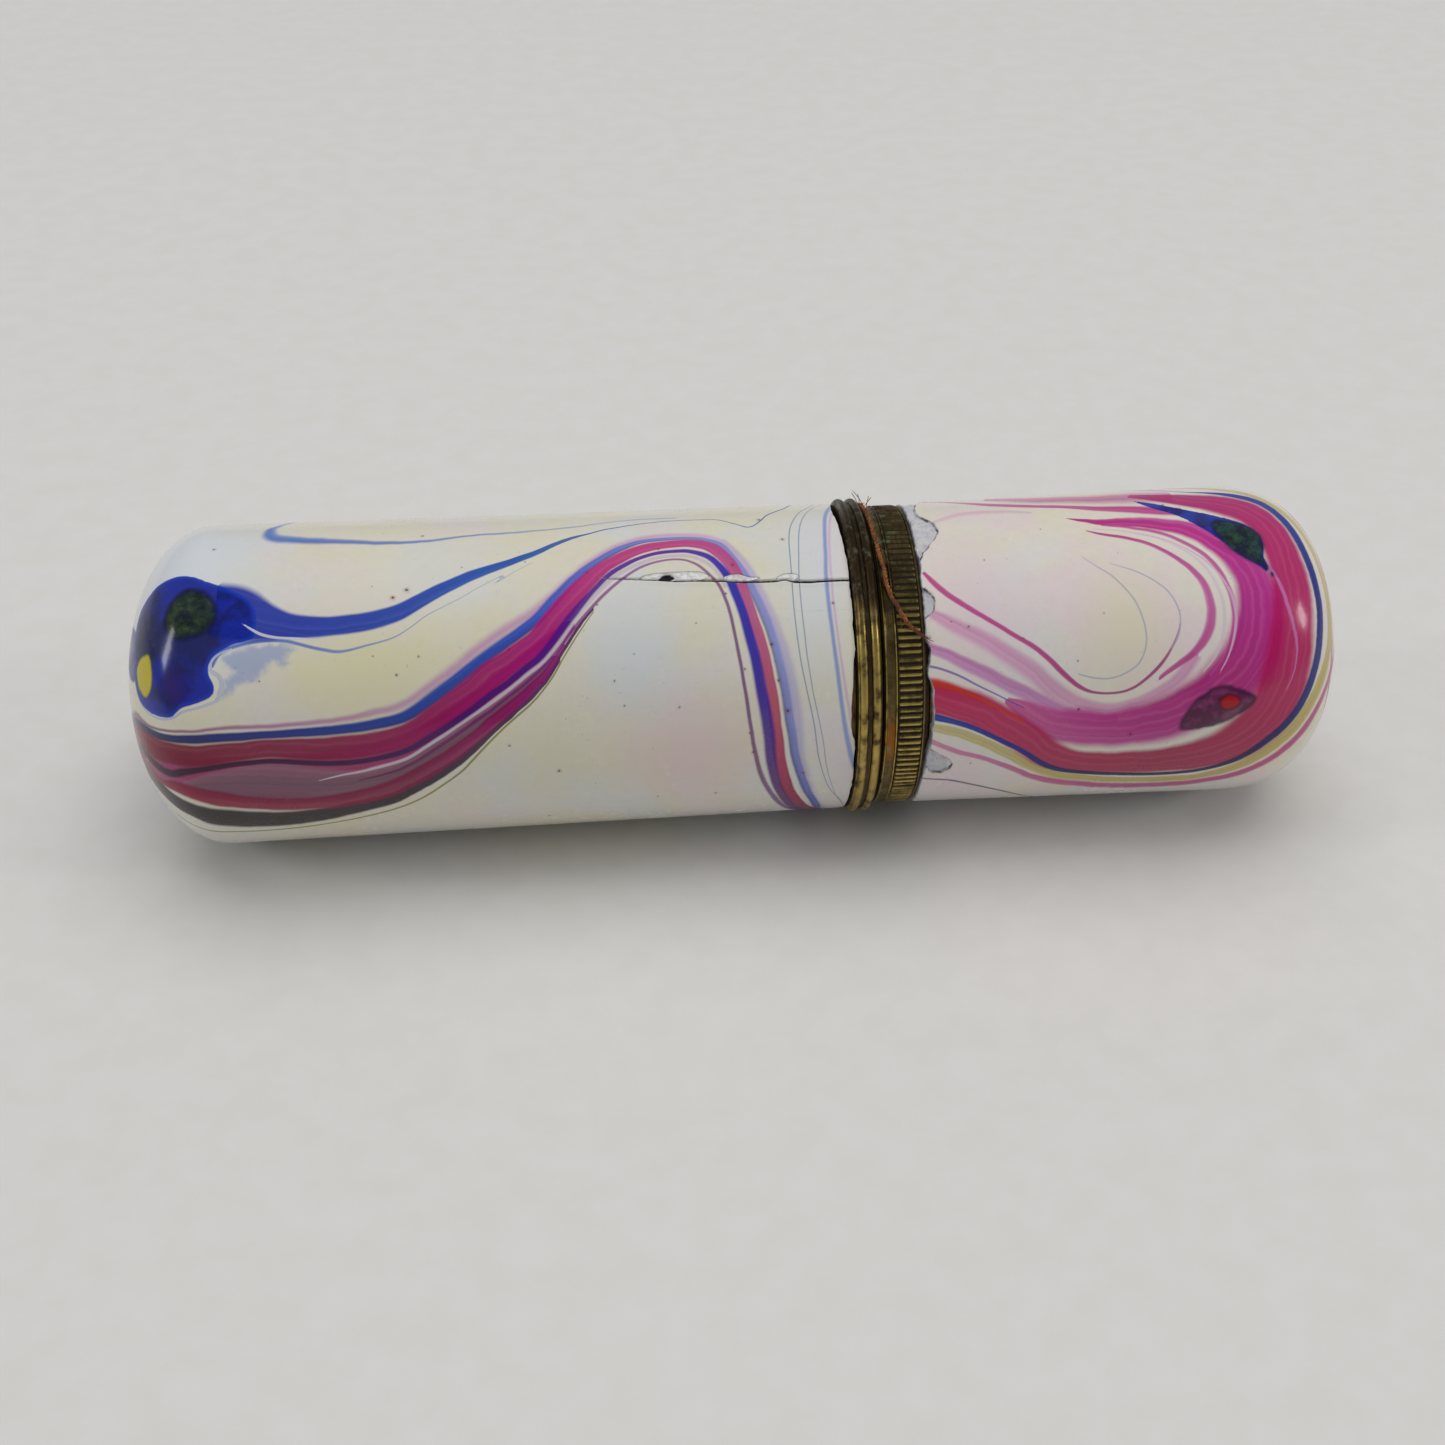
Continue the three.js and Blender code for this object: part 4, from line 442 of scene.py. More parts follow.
class Net:
    def __init__(self, tree):
        self.t = tree

    def new(self, kind, **settings):
        n = self.t.nodes.new(kind)
        for k, v in settings.items():
            setattr(n, k, v)
        return n

    def feed(self, socket, value):
        if isinstance(value, bpy.types.NodeSocket):
            self.t.links.new(value, socket)
        elif value is not None:
            socket.default_value = value

    def math(self, op, a, b=None, c=None, clamp=False):
        n = self.new("ShaderNodeMath", operation=op, use_clamp=clamp)
        for i, x in enumerate((a, b, c)):
            if x is not None:
                self.feed(n.inputs[i], x)
        return n.outputs[0]

    def remap(self, value, a, b, lo=0.0, hi=1.0, kind="SMOOTHSTEP"):
        n = self.new("ShaderNodeMapRange", interpolation_type=kind, clamp=True)
        for i, x in zip((0, 1, 2, 3, 4), (value, a, b, lo, hi)):
            self.feed(n.inputs[i], x)
        return n.outputs[0]

    def mix(self, fac, a, b, blend="MIX"):
        n = self.new("ShaderNodeMix", data_type="RGBA", blend_type=blend, clamp_factor=True)
        self.feed(n.inputs[0], fac)
        self.feed(n.inputs[6], a)
        self.feed(n.inputs[7], b)
        return n.outputs[2]

    def lerp(self, fac, a, b):
        n = self.new("ShaderNodeMix", data_type="FLOAT", clamp_factor=True)
        self.feed(n.inputs[0], fac)
        self.feed(n.inputs[2], a)
        self.feed(n.inputs[3], b)
        return n.outputs[0]

    def noise(self, vector, scale, detail=3.0, rough=0.55, distort=0.0, out=0):
        n = self.new("ShaderNodeTexNoise")
        self.feed(n.inputs["Vector"], vector)
        n.inputs["Scale"].default_value = scale
        n.inputs["Detail"].default_value = detail
        n.inputs["Roughness"].default_value = rough
        n.inputs["Distortion"].default_value = distort
        return n.outputs[out]

    def voronoi(self, vector, scale, feature="F1", rand=1.0):
        n = self.new("ShaderNodeTexVoronoi", feature=feature)
        self.feed(n.inputs["Vector"], vector)
        n.inputs["Scale"].default_value = scale
        n.inputs["Randomness"].default_value = rand
        return n

    def ramp(self, fac, stops, interp="LINEAR"):
        n = self.new("ShaderNodeValToRGB")
        n.color_ramp.interpolation = interp
        el = n.color_ramp.elements
        while len(el) > 1:
            el.remove(el[-1])
        el[0].position, el[0].color = stops[0]
        for p, c in stops[1:]:
            e = el.new(p)
            e.color = c
        self.feed(n.inputs[0], fac)
        return n.outputs[0]

    def attr(self, name, out="Color"):
        n = self.new("ShaderNodeAttribute", attribute_type="GEOMETRY", attribute_name=name)
        return n.outputs[out]

    def parts(self, three):
        """The three numbers of a vector attribute, read as a colour so that no conversion is needed."""
        n = self.new("ShaderNodeSeparateColor", mode="RGB")
        self.feed(n.inputs[0], three)
        return n.outputs

    def streaks(self, w, detail=4.0, rough=0.6):
        n = self.new("ShaderNodeTexNoise", noise_dimensions="1D")
        self.feed(n.inputs["W"], w)
        n.inputs["Scale"].default_value = 1.0
        n.inputs["Detail"].default_value = detail
        n.inputs["Roughness"].default_value = rough
        return n.outputs[0]

    def level(self, colour, value, saturation=1.0):
        """The colour made lighter or darker by a factor."""
        n = self.new("ShaderNodeHueSaturation")
        n.inputs["Saturation"].default_value = saturation
        self.feed(n.inputs["Value"], value)
        self.feed(n.inputs["Color"], colour)
        return n.outputs[0]

    def mapped(self, point, scale=(1, 1, 1), location=(0, 0, 0)):
        n = self.new("ShaderNodeMapping", vector_type="POINT")
        self.feed(n.inputs["Vector"], point)
        n.inputs["Scale"].default_value = scale
        n.inputs["Location"].default_value = location
        return n.outputs[0]

    def split(self, vector):
        n = self.new("ShaderNodeSeparateXYZ")
        self.feed(n.inputs[0], vector)
        return n.outputs

    def join(self, x, y, z):
        n = self.new("ShaderNodeCombineXYZ")
        for i, s in enumerate((x, y, z)):
            self.feed(n.inputs[i], s)
        return n.outputs[0]

    def vmath(self, op, a, b=None, scale=None):
        n = self.new("ShaderNodeVectorMath", operation=op)
        self.feed(n.inputs[0], a)
        if b is not None:
            self.feed(n.inputs[1], b)
        if scale is not None:
            self.feed(n.inputs[3], scale)
        return n.outputs["Value"] if op in ("LENGTH", "DISTANCE", "DOT_PRODUCT") else n.outputs[0]

    def place(self):
        """The piece's own coordinates, in millimetres."""
        tc = self.new("ShaderNodeTexCoord")
        return self.mapped(tc.outputs["Object"], (1000.0, 1000.0, 1000.0))

    def bump(self, height, strength, distance, normal=None):
        n = self.new("ShaderNodeBump")
        n.inputs["Strength"].default_value = strength
        n.inputs["Distance"].default_value = distance
        self.feed(n.inputs["Height"], height)
        if normal is not None:
            self.feed(n.inputs["Normal"], normal)
        return n.outputs[0]


def material(name):
    m = bpy.data.materials.new(name)
    m.use_nodes = True
    m.node_tree.nodes.clear()
    net = Net(m.node_tree)
    bsdf = net.new("ShaderNodeBsdfPrincipled")
    out = net.new("ShaderNodeOutputMaterial")
    net.t.links.new(bsdf.outputs[0], out.inputs[0])
    return m, net, bsdf


def group_tree(name, inputs, outputs):
    g = bpy.data.node_groups.new(name, "ShaderNodeTree")
    for n, kind in inputs:
        g.interface.new_socket(name=n, in_out="INPUT", socket_type=kind)
    for n, kind in outputs:
        g.interface.new_socket(name=n, in_out="OUTPUT", socket_type=kind)
    net = Net(g)
    return g, net, net.new("NodeGroupInput").outputs, net.new("NodeGroupOutput").inputs


F, V, C = "NodeSocketFloat", "NodeSocketVector", "NodeSocketColor"


def vein_group():
    """One stream of colour laid over what is under it: three colours across, silky streaks along."""
    g, net, i, o = group_tree(
        "vein",
        [("Under", C), ("Field", C), ("Side A", C), ("Middle", C), ("Side B", C), ("Soft", F), ("Opacity", F), ("Warp", F), ("Streak", F), ("Wander", F), ("Seed", F)],
        [("Color", C)],
    )
    u, s, hw = net.parts(i["Field"])[:3]
    wide = net.math("MAXIMUM", hw, 0.02)
    u2 = net.math("ADD", u, net.math("DIVIDE", net.math("MULTIPLY", i["Wander"], i["Warp"]), wide))
    au = net.math("ABSOLUTE", u2)
    flow = net.math("MULTIPLY_ADD", net.math("MULTIPLY", u2, wide), 3.2, net.math("MULTIPLY_ADD", s, 0.05, i["Seed"]))
    fine = net.streaks(net.math("MULTIPLY_ADD", i["Wander"], 0.5, flow), 3.0, 0.5)
    edge = net.math("SUBTRACT", 1.0, i["Soft"])
    mask = net.remap(au, 1.0, edge)
    here = net.remap(hw, 0.006, 0.02)
    gap = net.math("SUBTRACT", 1.0, net.math("MULTIPLY", net.math("MULTIPLY", i["Streak"], 0.16), net.remap(fine, 0.45, 0.85)))
    side = net.mix(net.remap(u2, -0.12, 0.12), i["Side A"], i["Side B"])
    hue = net.mix(net.math("POWER", net.math("MINIMUM", au, 1.0), 1.5), i["Middle"], side)
    level = net.math("ADD", 1.0, net.math("MULTIPLY", net.math("MULTIPLY", net.math("SUBTRACT", fine, 0.5), i["Streak"]), 1.0))
    lit = net.level(hue, net.math("MULTIPLY", level, 0.93), 1.16)
    fac = net.math("MULTIPLY", net.math("MULTIPLY", net.math("MULTIPLY", mask, i["Opacity"]), here), gap)
    net.feed(o["Color"], net.mix(fac, i["Under"], lit))
    return g


def pool_group():
    """A closed pool of colour with a rim."""
    g, net, i, o = group_tree(
        "pool",
        [("Under", C), ("Field", C), ("Inner", C), ("Rim", C), ("Rim width", F), ("Soft", F), ("Opacity", F), ("Warp", F), ("Wander", F)],
        [("Color", C), ("Mask", F)],
    )
    sd = net.parts(i["Field"])[0]
    sd = net.math("MULTIPLY", sd, net.math("LESS_THAN", sd, 39.0))
    sd2 = net.math("ADD", sd, net.math("MULTIPLY", i["Wander"], i["Warp"]))
    half = net.math("MULTIPLY", i["Soft"], 0.5)
    mask = net.remap(sd2, net.math("MULTIPLY", half, -1.0), half)
    hue = net.mix(net.remap(sd2, 0.0, i["Rim width"]), i["Rim"], i["Inner"])
    fac = net.math("MULTIPLY", mask, i["Opacity"])
    net.feed(o["Color"], net.mix(fac, i["Under"], net.level(hue, 0.96, 1.1)))
    net.feed(o["Mask"], fac)
    return g


VEIN, POOL = vein_group(), pool_group()


def lay_vein(net, under, name, wander, a, m, b, soft=0.5, opacity=1.0, warp=0.05, streak=0.3, seed=0.0):
    field = net.attr(name)
    n = net.new("ShaderNodeGroup", node_tree=VEIN)
    for k, v in {"Under": under, "Field": field, "Side A": a, "Middle": m, "Side B": b, "Soft": soft, "Opacity": opacity, "Warp": warp, "Streak": streak, "Wander": wander, "Seed": seed}.items():
        net.feed(n.inputs[k], v)
    return n.outputs["Color"]


def lay_pool(net, under, name, wander, inner, rim, rim_width=0.15, soft=0.06, opacity=1.0, warp=0.04):
    field = net.attr(name)
    n = net.new("ShaderNodeGroup", node_tree=POOL)
    for k, v in {"Under": under, "Field": field, "Inner": inner, "Rim": rim, "Rim width": rim_width, "Soft": soft, "Opacity": opacity, "Warp": warp, "Wander": wander}.items():
        net.feed(n.inputs[k], v)
    return n.outputs["Color"], n.outputs["Mask"]


def widen(veins, name, by):
    veins[name] = [p[:-1] + (p[-1] * (by if p[0] == "end" or p[0] < -9 else 1.0),) for p in veins[name]]


for vein, by in (("grey_zone", 1.35), ("crimson", 1.1), ("lower_crimson", 1.3), ("purple", 1.4), ("blue_band", 1.2), ("blue_streak", 1.45)):
    widen(CAP_VEINS, vein, by)
CAP_VEINS["underlay"] = [(-35.4, 5, 1.6), (-33, 3.5, 1.9), (-28, 1.5, 1.95), (-24, 3.5, 1.9), (-20, 8.5, 1.75), (-16, 23, 1.3), (-12, 42, 0.8), (-10, 52, 0.4)]

# ------------------------------------------------------------------ the coated halves
def smooth_max(a, k):
    return 0.5 * (a + np.sqrt(a * a + k * k))


def end_points(radius, depth, power, end_x, inwards, flat, steps, soft=0.0):
    """Profile points (x, r) of a rounded end, from the axis out to the full radius."""
    t0 = math.asin((flat / radius) ** (power / 2))
    c = depth * (1 - math.cos(t0) ** (2 / power))
    first = [0.0, 0.35, 0.7] + [flat * k for k in (0.45, 0.65, 0.82, 0.93)]
    out = []
    for r in first:
        h = depth * (1 - (1 - (r / radius) ** power) ** (1 / power)) - c
        out.append((end_x + inwards * (smooth_max(h, soft) if soft else 0.0), r))
    for t in np.linspace(t0, math.pi / 2, steps):
        r = radius * math.sin(t) ** (2 / power)
        h = depth * (1 - max(0.0, math.cos(t)) ** (2 / power)) - c
        out.append((end_x + inwards * (smooth_max(h, soft) if soft else h), r))
    return out


def smoothstep(a, b, x):
    t = np.clip((np.asarray(x, float) - a) / (b - a), 0, 1)
    return t * t * (3 - 2 * t)


def turn_noise(x, deg, seed, parts):
    """Smooth noise over the surface that joins up with itself round the axis."""
    g = np.random.default_rng(seed)
    out = np.zeros(np.broadcast(x, deg).shape)
    for waves, along, amp in parts:
        for _ in range(5):
            k = g.integers(1, waves + 1)
            f = g.normal(0, along)
            out = out + amp * np.cos(np.radians(deg) * k + f * x + g.uniform(0, 6.283)) / 2.2
    return out


def edge_table(pairs, deg):
    a = np.array(sorted(pairs), float)
    return np.interp(deg, a[:, 0], a[:, 1], period=360)


CAP_EDGE = [(110, 6.05), (100, 6.05), (90, 6.15), (80, 6.25), (70, 6.3), (55, 6.28), (40, 6.3), (30, 6.15), (20, 6.05), (15, 6.02), (10, 5.98), (7, 6.1), (5, 6.2), (0, 6.25), (-14, 6.28), (-40, 6.2), (-70, 6.28), (-110, 6.15), (-150, 6.28), (160, 6.2), (130, 6.26)]
BASE_EDGE = [(110, 10.6), (95, 10.6), (80, 10.6), (70, 10.7), (60, 10.56), (50, 10.6), (42, 10.56), (39, 10.7), (37, 10.85), (33, 10.8), (28, 10.6), (26, 10.75), (22, 11.0), (20, 10.95), (15, 11.0), (10, 11.0), (5, 10.95), (0, 10.9), (-5, 10.8), (-16, 10.66), (-30, 10.6), (-60, 10.75), (-66, 10.62), (-100, 10.7), (-140, 10.6), (-150, 10.8), (-158, 10.62), (160, 10.7), (130, 10.6)]


def wrap(deg, mid=90.0):
    return mid + (np.asarray(deg) - mid + 180) % 360 - 180


def coated(name, profile, surface, edge, mouth, way, inner, degs, fields_veins, fields_pools, specks, carve):
    """A coated half. profile runs from the end's middle to the mouth, then inner runs from the mouth
    back to the axis. way is +1 where x grows towards the mouth."""
    degs = np.asarray(degs, float)
    n = len(degs)
    jag = edge_table(edge, degs) + 0.022 * turn_noise(0.0, degs, 5, [(90, 0, 0.7), (30, 0, 0.8)])
    jag = np.where(way > 0, np.minimum(jag, mouth + 0.005), np.maximum(jag, mouth - 0.005))
    X, D, R, rings, at = [], [], [], [], 0
    for x, r in profile:
        m = 1 if r == 0 else n
        d = degs if m > 1 else np.array([0.0])
        xs = np.full(m, float(x))
        if m > 1:
            pull = smoothstep(mouth - way * 1.6, mouth, xs)
            xs = xs + (jag - mouth) * pull
        rs = surface(xs) if abs(x - mouth) < 25 and m > 1 else np.full(m, float(r))
        X.append(xs)
        D.append(d)
        R.append(rs)
        rings.append((at, m))
        at += m
    outer = at
    x0, d0, r0 = map(np.concatenate, (X, D, R))
    skin = on(x0, d0, r0)
    moved = carve(x0, d0, skin)
    verts = [moved]
    rough = 0.03 * turn_noise(0.0, degs, 9, [(120, 0, 0.9), (40, 0, 0.7)])
    for dx, r in inner[0]:
        verts.append(on(jag + way * dx + rough * (1 if 0 < (r - inner[1][0][1]) else 0), degs, np.full(n, float(r))))
        rings.append((at, n))
        at += n
    for x, r in inner[1]:
        m = 1 if r == 0 else n
        verts.append(on(np.full(m, float(x)), degs if m > 1 else np.array([0.0]), np.full(m, float(r))))
        rings.append((at, m))
        at += m
    v = np.concatenate(verts)
    q = ring_faces(rings, n, False)
    if volume(v, q) < 0:
        q = flip(q)
    ob = fast_mesh(name, v, q, 40.0)
    for key, pts in fields_veins.items():
        put(ob, key, vein_field(skin, pts, surface), outer)
    for key, pts in fields_pools.items():
        put(ob, key, pool_field(skin, pts, surface), outer)
    put(ob, "specks", speck_field(skin, specks, surface), outer)
    return ob, skin, outer


def flip(q):
    tri = q[:, 2] == q[:, 3]
    out = q[:, ::-1].copy()
    out[tri] = np.stack([q[tri, 0], q[tri, 2], q[tri, 1], q[tri, 1]], 1)
    return out


def put_scalar(ob, name, values):
    full = np.zeros(len(ob.data.vertices), np.float32)
    full[: len(values)] = values
    at = ob.data.attributes.new(name, "FLOAT", "POINT")
    at.data.foreach_set("value", full)


def normal_of(p, surface):
    x = np.clip(p[:, 0], -36.7, 36.7)
    q = p.copy()
    q[:, 0] = x
    return normals(q, surface)


def crack_depth(x, deg):
    """How deep the split in the cap's coating is here, in mm, and how much gesso shows."""
    c = np.array(CRACK)
    mid = np.interp(x, c[:, 0], c[:, 1])
    half = np.interp(x, c[:, 0], c[:, 2], left=0, right=0.06)
    d = (wrap(deg, 66) - mid) * math.radians(1) * 9.7
    return d, half


cap_profile = end_points(9.84, 5.6, 2.05, -37.0, 1, 3.0, 34, 0.05)
cap_body = np.linspace(cap_profile[-1][0], CAP_MOUTH_X - 1.2, 162)[1:]
cap_profile += [(x, float(cap_r(x))) for x in cap_body]
cap_profile += [(x, float(cap_r(x))) for x in np.linspace(CAP_MOUTH_X - 1.2, CAP_MOUTH_X, 12)[1:]]
cap_inner = [
    [(0.0, 9.5), (-0.03, 9.4), (-0.02, 9.25), (-0.05, 9.1), (-0.03, 8.95), (-0.05, 8.87)],
    [(5.4, 8.86), (-8.0, 8.86), (-20.0, 8.86)] + end_points(8.86, 4.95, 2.05, -36.27, 1, 2.7, 12)[::-1],
]
cap_degs = np.sort(np.concatenate([np.arange(0, 360, 1.2), np.arange(61.8, 72.0, 0.3)]))
cap_degs = cap_degs[np.concatenate([[True], np.diff(cap_degs) > 0.05])]


def carve_cap(x, deg, p):
    nrm = normal_of(p, cap_r)
    d, half = crack_depth(x, deg)
    h = 0.003 * turn_noise(x, deg, 21, [(7, 0.35, 1.0), (15, 0.8, 0.5)])
    live = (x > -8.4) & (np.abs(d) < 3)
    # the split: a V of varying width, its lips lifted a little
    w = np.maximum(half, 0.004)
    cut = np.where(live, np.clip(1 - np.abs(d) / (w + 0.05), 0, 1), 0)
    h -= 0.2 * cut * smoothstep(-8.4, -6.8, x)
    h += np.where(live, 0.035 * np.exp(-((np.abs(d) - w - 0.12) / 0.16) ** 2) * smoothstep(-7.5, -4, x), 0)
    # the far lip stands proud of the near one
    h += np.where(live & (d > 0), 0.03 * np.exp(-d / 0.7) * smoothstep(-6, 0, x), 0)
    chips = np.full(len(x), -9.0)
    near = (x > -7) & (np.abs(d) < 2)
    for f in FLAKES:
        sd = np.full(len(x), -9.0)
        sd[near] = pool_field(p[near], f, cap_r)[:, 0]
        h -= 0.07 * smoothstep(-0.04, 0.08, sd)
        chips = np.maximum(chips, sd)
    hole = np.full(len(x), -9.0)
    hole[near] = pool_field(p[near], HOLE, cap_r)[:, 0]
    h -= 0.22 * smoothstep(-0.03, 0.1, hole)
    # a low blister of lacquer in the dark blue
    oval = pool_field(p, CAP_POOLS["green_oval"], cap_r)[:, 0]
    h += 0.10 * smoothstep(-0.5, 0.9, oval)
    # specks stand a few hundredths proud
    s = speck_field(p, CAP_SPECKS, cap_r)
    rad = np.abs(s[:, 2])
    h += 0.02 * np.clip(1 - np.hypot(s[:, 0], s[:, 1]) / (rad + 0.12), 0, 1)
    # worn lip at the mouth
    h -= 0.05 * smoothstep(CAP_MOUTH_X - 0.28, CAP_MOUTH_X, x) ** 2
    return p + nrm * h[:, None]


cap, cap_skin, cap_outer = coated("marbled_cap", cap_profile, cap_r, CAP_EDGE, CAP_MOUTH_X, 1, cap_inner, cap_degs, CAP_VEINS, CAP_POOLS, CAP_SPECKS, carve_cap)
d, half = crack_depth(cap_skin[:, 0], np.degrees(np.arctan2(cap_skin[:, 2], -cap_skin[:, 1])))
crack_in = np.stack([np.where((cap_skin[:, 0] > -8.6) & (np.abs(d) < 2.0), d, 9.0), half, cap_skin[:, 0]], 1).astype(np.float32)
put(cap, "crack", crack_in, cap_outer)
flake = np.full(len(cap_skin), -9.0)
for f in FLAKES:
    flake = np.maximum(flake, pool_field(cap_skin, f, cap_r)[:, 0])
hole = pool_field(cap_skin, HOLE, cap_r)[:, 0]
put(cap, "flakes", np.stack([flake, hole, 0 * hole], 1).astype(np.float32), cap_outer)

base_profile = end_points(9.66, 7.3, 2.7, 37.0, -1, 3.0, 38, 0.05)
base_profile += [(x, float(base_r(x))) for x in np.linspace(base_profile[-1][0], BASE_MOUTH_X + 3.0, 84)[1:]]
base_profile += [(x, float(base_r(x))) for x in np.linspace(BASE_MOUTH_X + 3.0, BASE_MOUTH_X, 30)[1:]]
base_inner = [
    [(0.0, 9.34), (0.04, 9.22), (0.02, 9.1), (0.05, 8.98), (0.03, 8.86), (0.06, 8.77)],
    [(11.6, 8.76), (18.0, 8.76)] + end_points(8.76, 6.55, 2.7, 36.27, -1, 2.7, 12)[::-1],
]
base_degs = even(420)
CHIPS = [BASE_POOLS["chip1"], BASE_POOLS["chip2"], BASE_POOLS["chip3"], [(10.5, -62), (10.9, -63), (11.3, -68), (11.2, -75), (10.8, -78), (10.5, -77)], [(10.5, 168), (11.2, 170), (11.6, 178), (11.3, 188), (10.8, 192), (10.5, 190)]]


def chip_field(p, deg):
    out = np.full(len(p), -9.0)
    near = p[:, 0] < 14
    for c in CHIPS:
        sd = np.full(len(p), -9.0)
        sd[near] = pool_field(p[near], c, base_r)[:, 0]
        out = np.maximum(out, sd)
    out += 0.05 * turn_noise(p[:, 0] * 1.0, deg, 33, [(60, 6.0, 1.0)])
    return out


def carve_base(x, deg, p):
    nrm = normal_of(p, base_r)
    h = 0.003 * turn_noise(x, deg, 41, [(7, 0.35, 1.0), (15, 0.8, 0.5)])
    sd = chip_field(p, deg)
    crumb = 0.5 + 0.5 * turn_noise(x, deg, 35, [(50, 9.0, 0.8)])
    h -= (0.13 + 0.06 * crumb) * smoothstep(-0.05, 0.07, sd)
    h += 0.03 * np.exp(-((sd + 0.12) / 0.09) ** 2)  # rims of the chips curl up
    drop = pool_field(p, BASE_POOLS["drop"], base_r)[:, 0]
    h += 0.13 * smoothstep(-0.6, 1.1, drop)
    red = pool_field(p, BASE_POOLS["drop_red"], base_r)[:, 0]
    h += 0.05 * smoothstep(-0.3, 0.4, red)
    wedge = pool_field(p, BASE_POOLS["wedge_dark"], base_r)[:, 0]
    h += 0.07 * smoothstep(-0.4, 0.7, wedge)
    s = speck_field(p, BASE_SPECKS, base_r)
    h += 0.02 * np.clip(1 - np.hypot(s[:, 0], s[:, 1]) / (np.abs(s[:, 2]) + 0.12), 0, 1)
    h -= 0.05 * smoothstep(BASE_MOUTH_X + 0.3, BASE_MOUTH_X, x) ** 2
    return p + nrm * h[:, None]


base, base_skin, base_outer = coated("marbled_base", base_profile, base_r, BASE_EDGE, BASE_MOUTH_X, -1, base_inner, base_degs, BASE_VEINS, {k: v for k, v in BASE_POOLS.items() if not k.startswith("chip")}, BASE_SPECKS, carve_base)
deg = np.degrees(np.arctan2(base_skin[:, 2], -base_skin[:, 1]))
put(base, "chips", np.stack([chip_field(base_skin, deg), 0 * deg, 0 * deg], 1).astype(np.float32), base_outer)


# ------------------------------------------------------------------ lacquer
def along(net, name, points, surface, stops):
    """A colour that changes along a vein. stops: ((x, deg), colour)."""
    c, w, t = spline(points, surface=surface)
    s = net.parts(net.attr(name))[1]
    out = []
    for (x, a), colour in stops:
        p = on(x, a, surface(float(x)))
        out.append((float(t[((c - p) ** 2).sum(1).argmin()] / t[-1]), colour))
    out.sort(key=lambda k: k[0])
    return net.ramp(net.math("DIVIDE", s, float(t[-1])), out)


def lacquer_finish(net, bsdf, colour, place, bare, bare_colour):
    """Gloss, orange peel and fine scratches of the coating; bare is where it has gone."""
    peel = net.noise(place, 0.9, 2.0, 0.5)
    fine = net.noise(place, 5.0, 3.0, 0.6)
    smear = net.noise(place, 0.28, 4.0, 0.6)
    pit = net.voronoi(place, 2.2)
    pits = net.remap(pit.outputs["Distance"], 0.05, 0.11, 1.0, 0.0)
    pits = net.math("MULTIPLY", pits, net.remap(net.noise(place, 0.5, 1.0), 0.56, 0.66))
    scratch_at = net.vmath("MULTIPLY", place, (0.16, 1.0, 1.0))
    scratch = net.noise(net.vmath("ADD", scratch_at, net.vmath("SCALE", net.noise(place, 0.2, 1.0, out=1), scale=1.6)), 7.0, 1.0, 0.4)
    scratches = net.remap(net.math("ABSOLUTE", net.math("SUBTRACT", scratch, 0.5)), 0.0, 0.006, 1.0, 0.0)
    scratches = net.math("MULTIPLY", scratches, net.remap(net.noise(place, 0.33, 2.0), 0.5, 0.66))
    grime = net.remap(net.noise(place, 1.1, 5.0, 0.7), 0.6, 0.78)
    colour = net.mix(net.math("MULTIPLY", grime, 0.05), colour, rgb(120, 104, 84))
    colour = net.mix(net.math("MULTIPLY", pits, 0.5), colour, rgb(96, 78, 66))
    colour = net.mix(bare, colour, bare_colour)
    net.feed(bsdf.inputs["Base Color"], colour)
    rough = net.math("ADD", net.remap(smear, 0.35, 0.7, 0.17, 0.30), net.math("MULTIPLY", scratches, 0.2))
    rough = net.math("ADD", rough, net.math("MULTIPLY", net.math("SUBTRACT", fine, 0.5), 0.06))
    rough = net.math("MAXIMUM", rough, net.math("MULTIPLY", bare, 0.72))
    net.feed(bsdf.inputs["Roughness"], rough)
    bsdf.inputs["IOR"].default_value = 1.46
    bsdf.inputs["Specular IOR Level"].default_value = 0.4
    bsdf.inputs["Coat Weight"].default_value = 0.08
    bsdf.inputs["Coat Roughness"].default_value = 0.06
    height = net.math("ADD", net.math("MULTIPLY", peel, 1.0), net.math("MULTIPLY", fine, 0.10))
    height = net.math("SUBTRACT", height, net.math("MULTIPLY", scratches, 0.06))
    height = net.math("SUBTRACT", height, net.math("MULTIPLY", pits, 0.5))
    height = net.math("ADD", height, net.math("MULTIPLY", net.math("MULTIPLY", net.noise(place, 7.0, 4.0, 0.7), bare), 4.0))
    net.feed(bsdf.inputs["Normal"], net.bump(height, 0.55, 0.000012))


def speck_layer(net, under, place):
    dx, dy, r = net.parts(net.attr("specks"))[:3]
    wob = net.noise(place, 9.0, 2.0)
    dist = net.math("SQRT", net.math("ADD", net.math("MULTIPLY", dx, dx), net.math("MULTIPLY", dy, dy)))
    dist = net.math("MULTIPLY", dist, net.math("ADD", 0.4, net.math("MULTIPLY", wob, 1.2)))
    size = net.math("MULTIPLY", net.math("ABSOLUTE", r), 0.72)
    far = net.math("LESS_THAN", dist, 3.0)
    core = net.math("MULTIPLY", net.remap(dist, net.math("MULTIPLY", size, 1.05), net.math("MULTIPLY", size, 0.6)), far)
    fringe = net.math("MULTIPLY", net.remap(dist, net.math("MULTIPLY", size, 3.0), size), 0.25)
    hue = net.mix(net.math("LESS_THAN", r, 0.0), rgb(122, 22, 52), rgb(104, 92, 92))
    under = net.mix(net.math("MULTIPLY", fringe, far), under, hue)
    return net.mix(net.math("MULTIPLY", core, 0.9), under, hue)


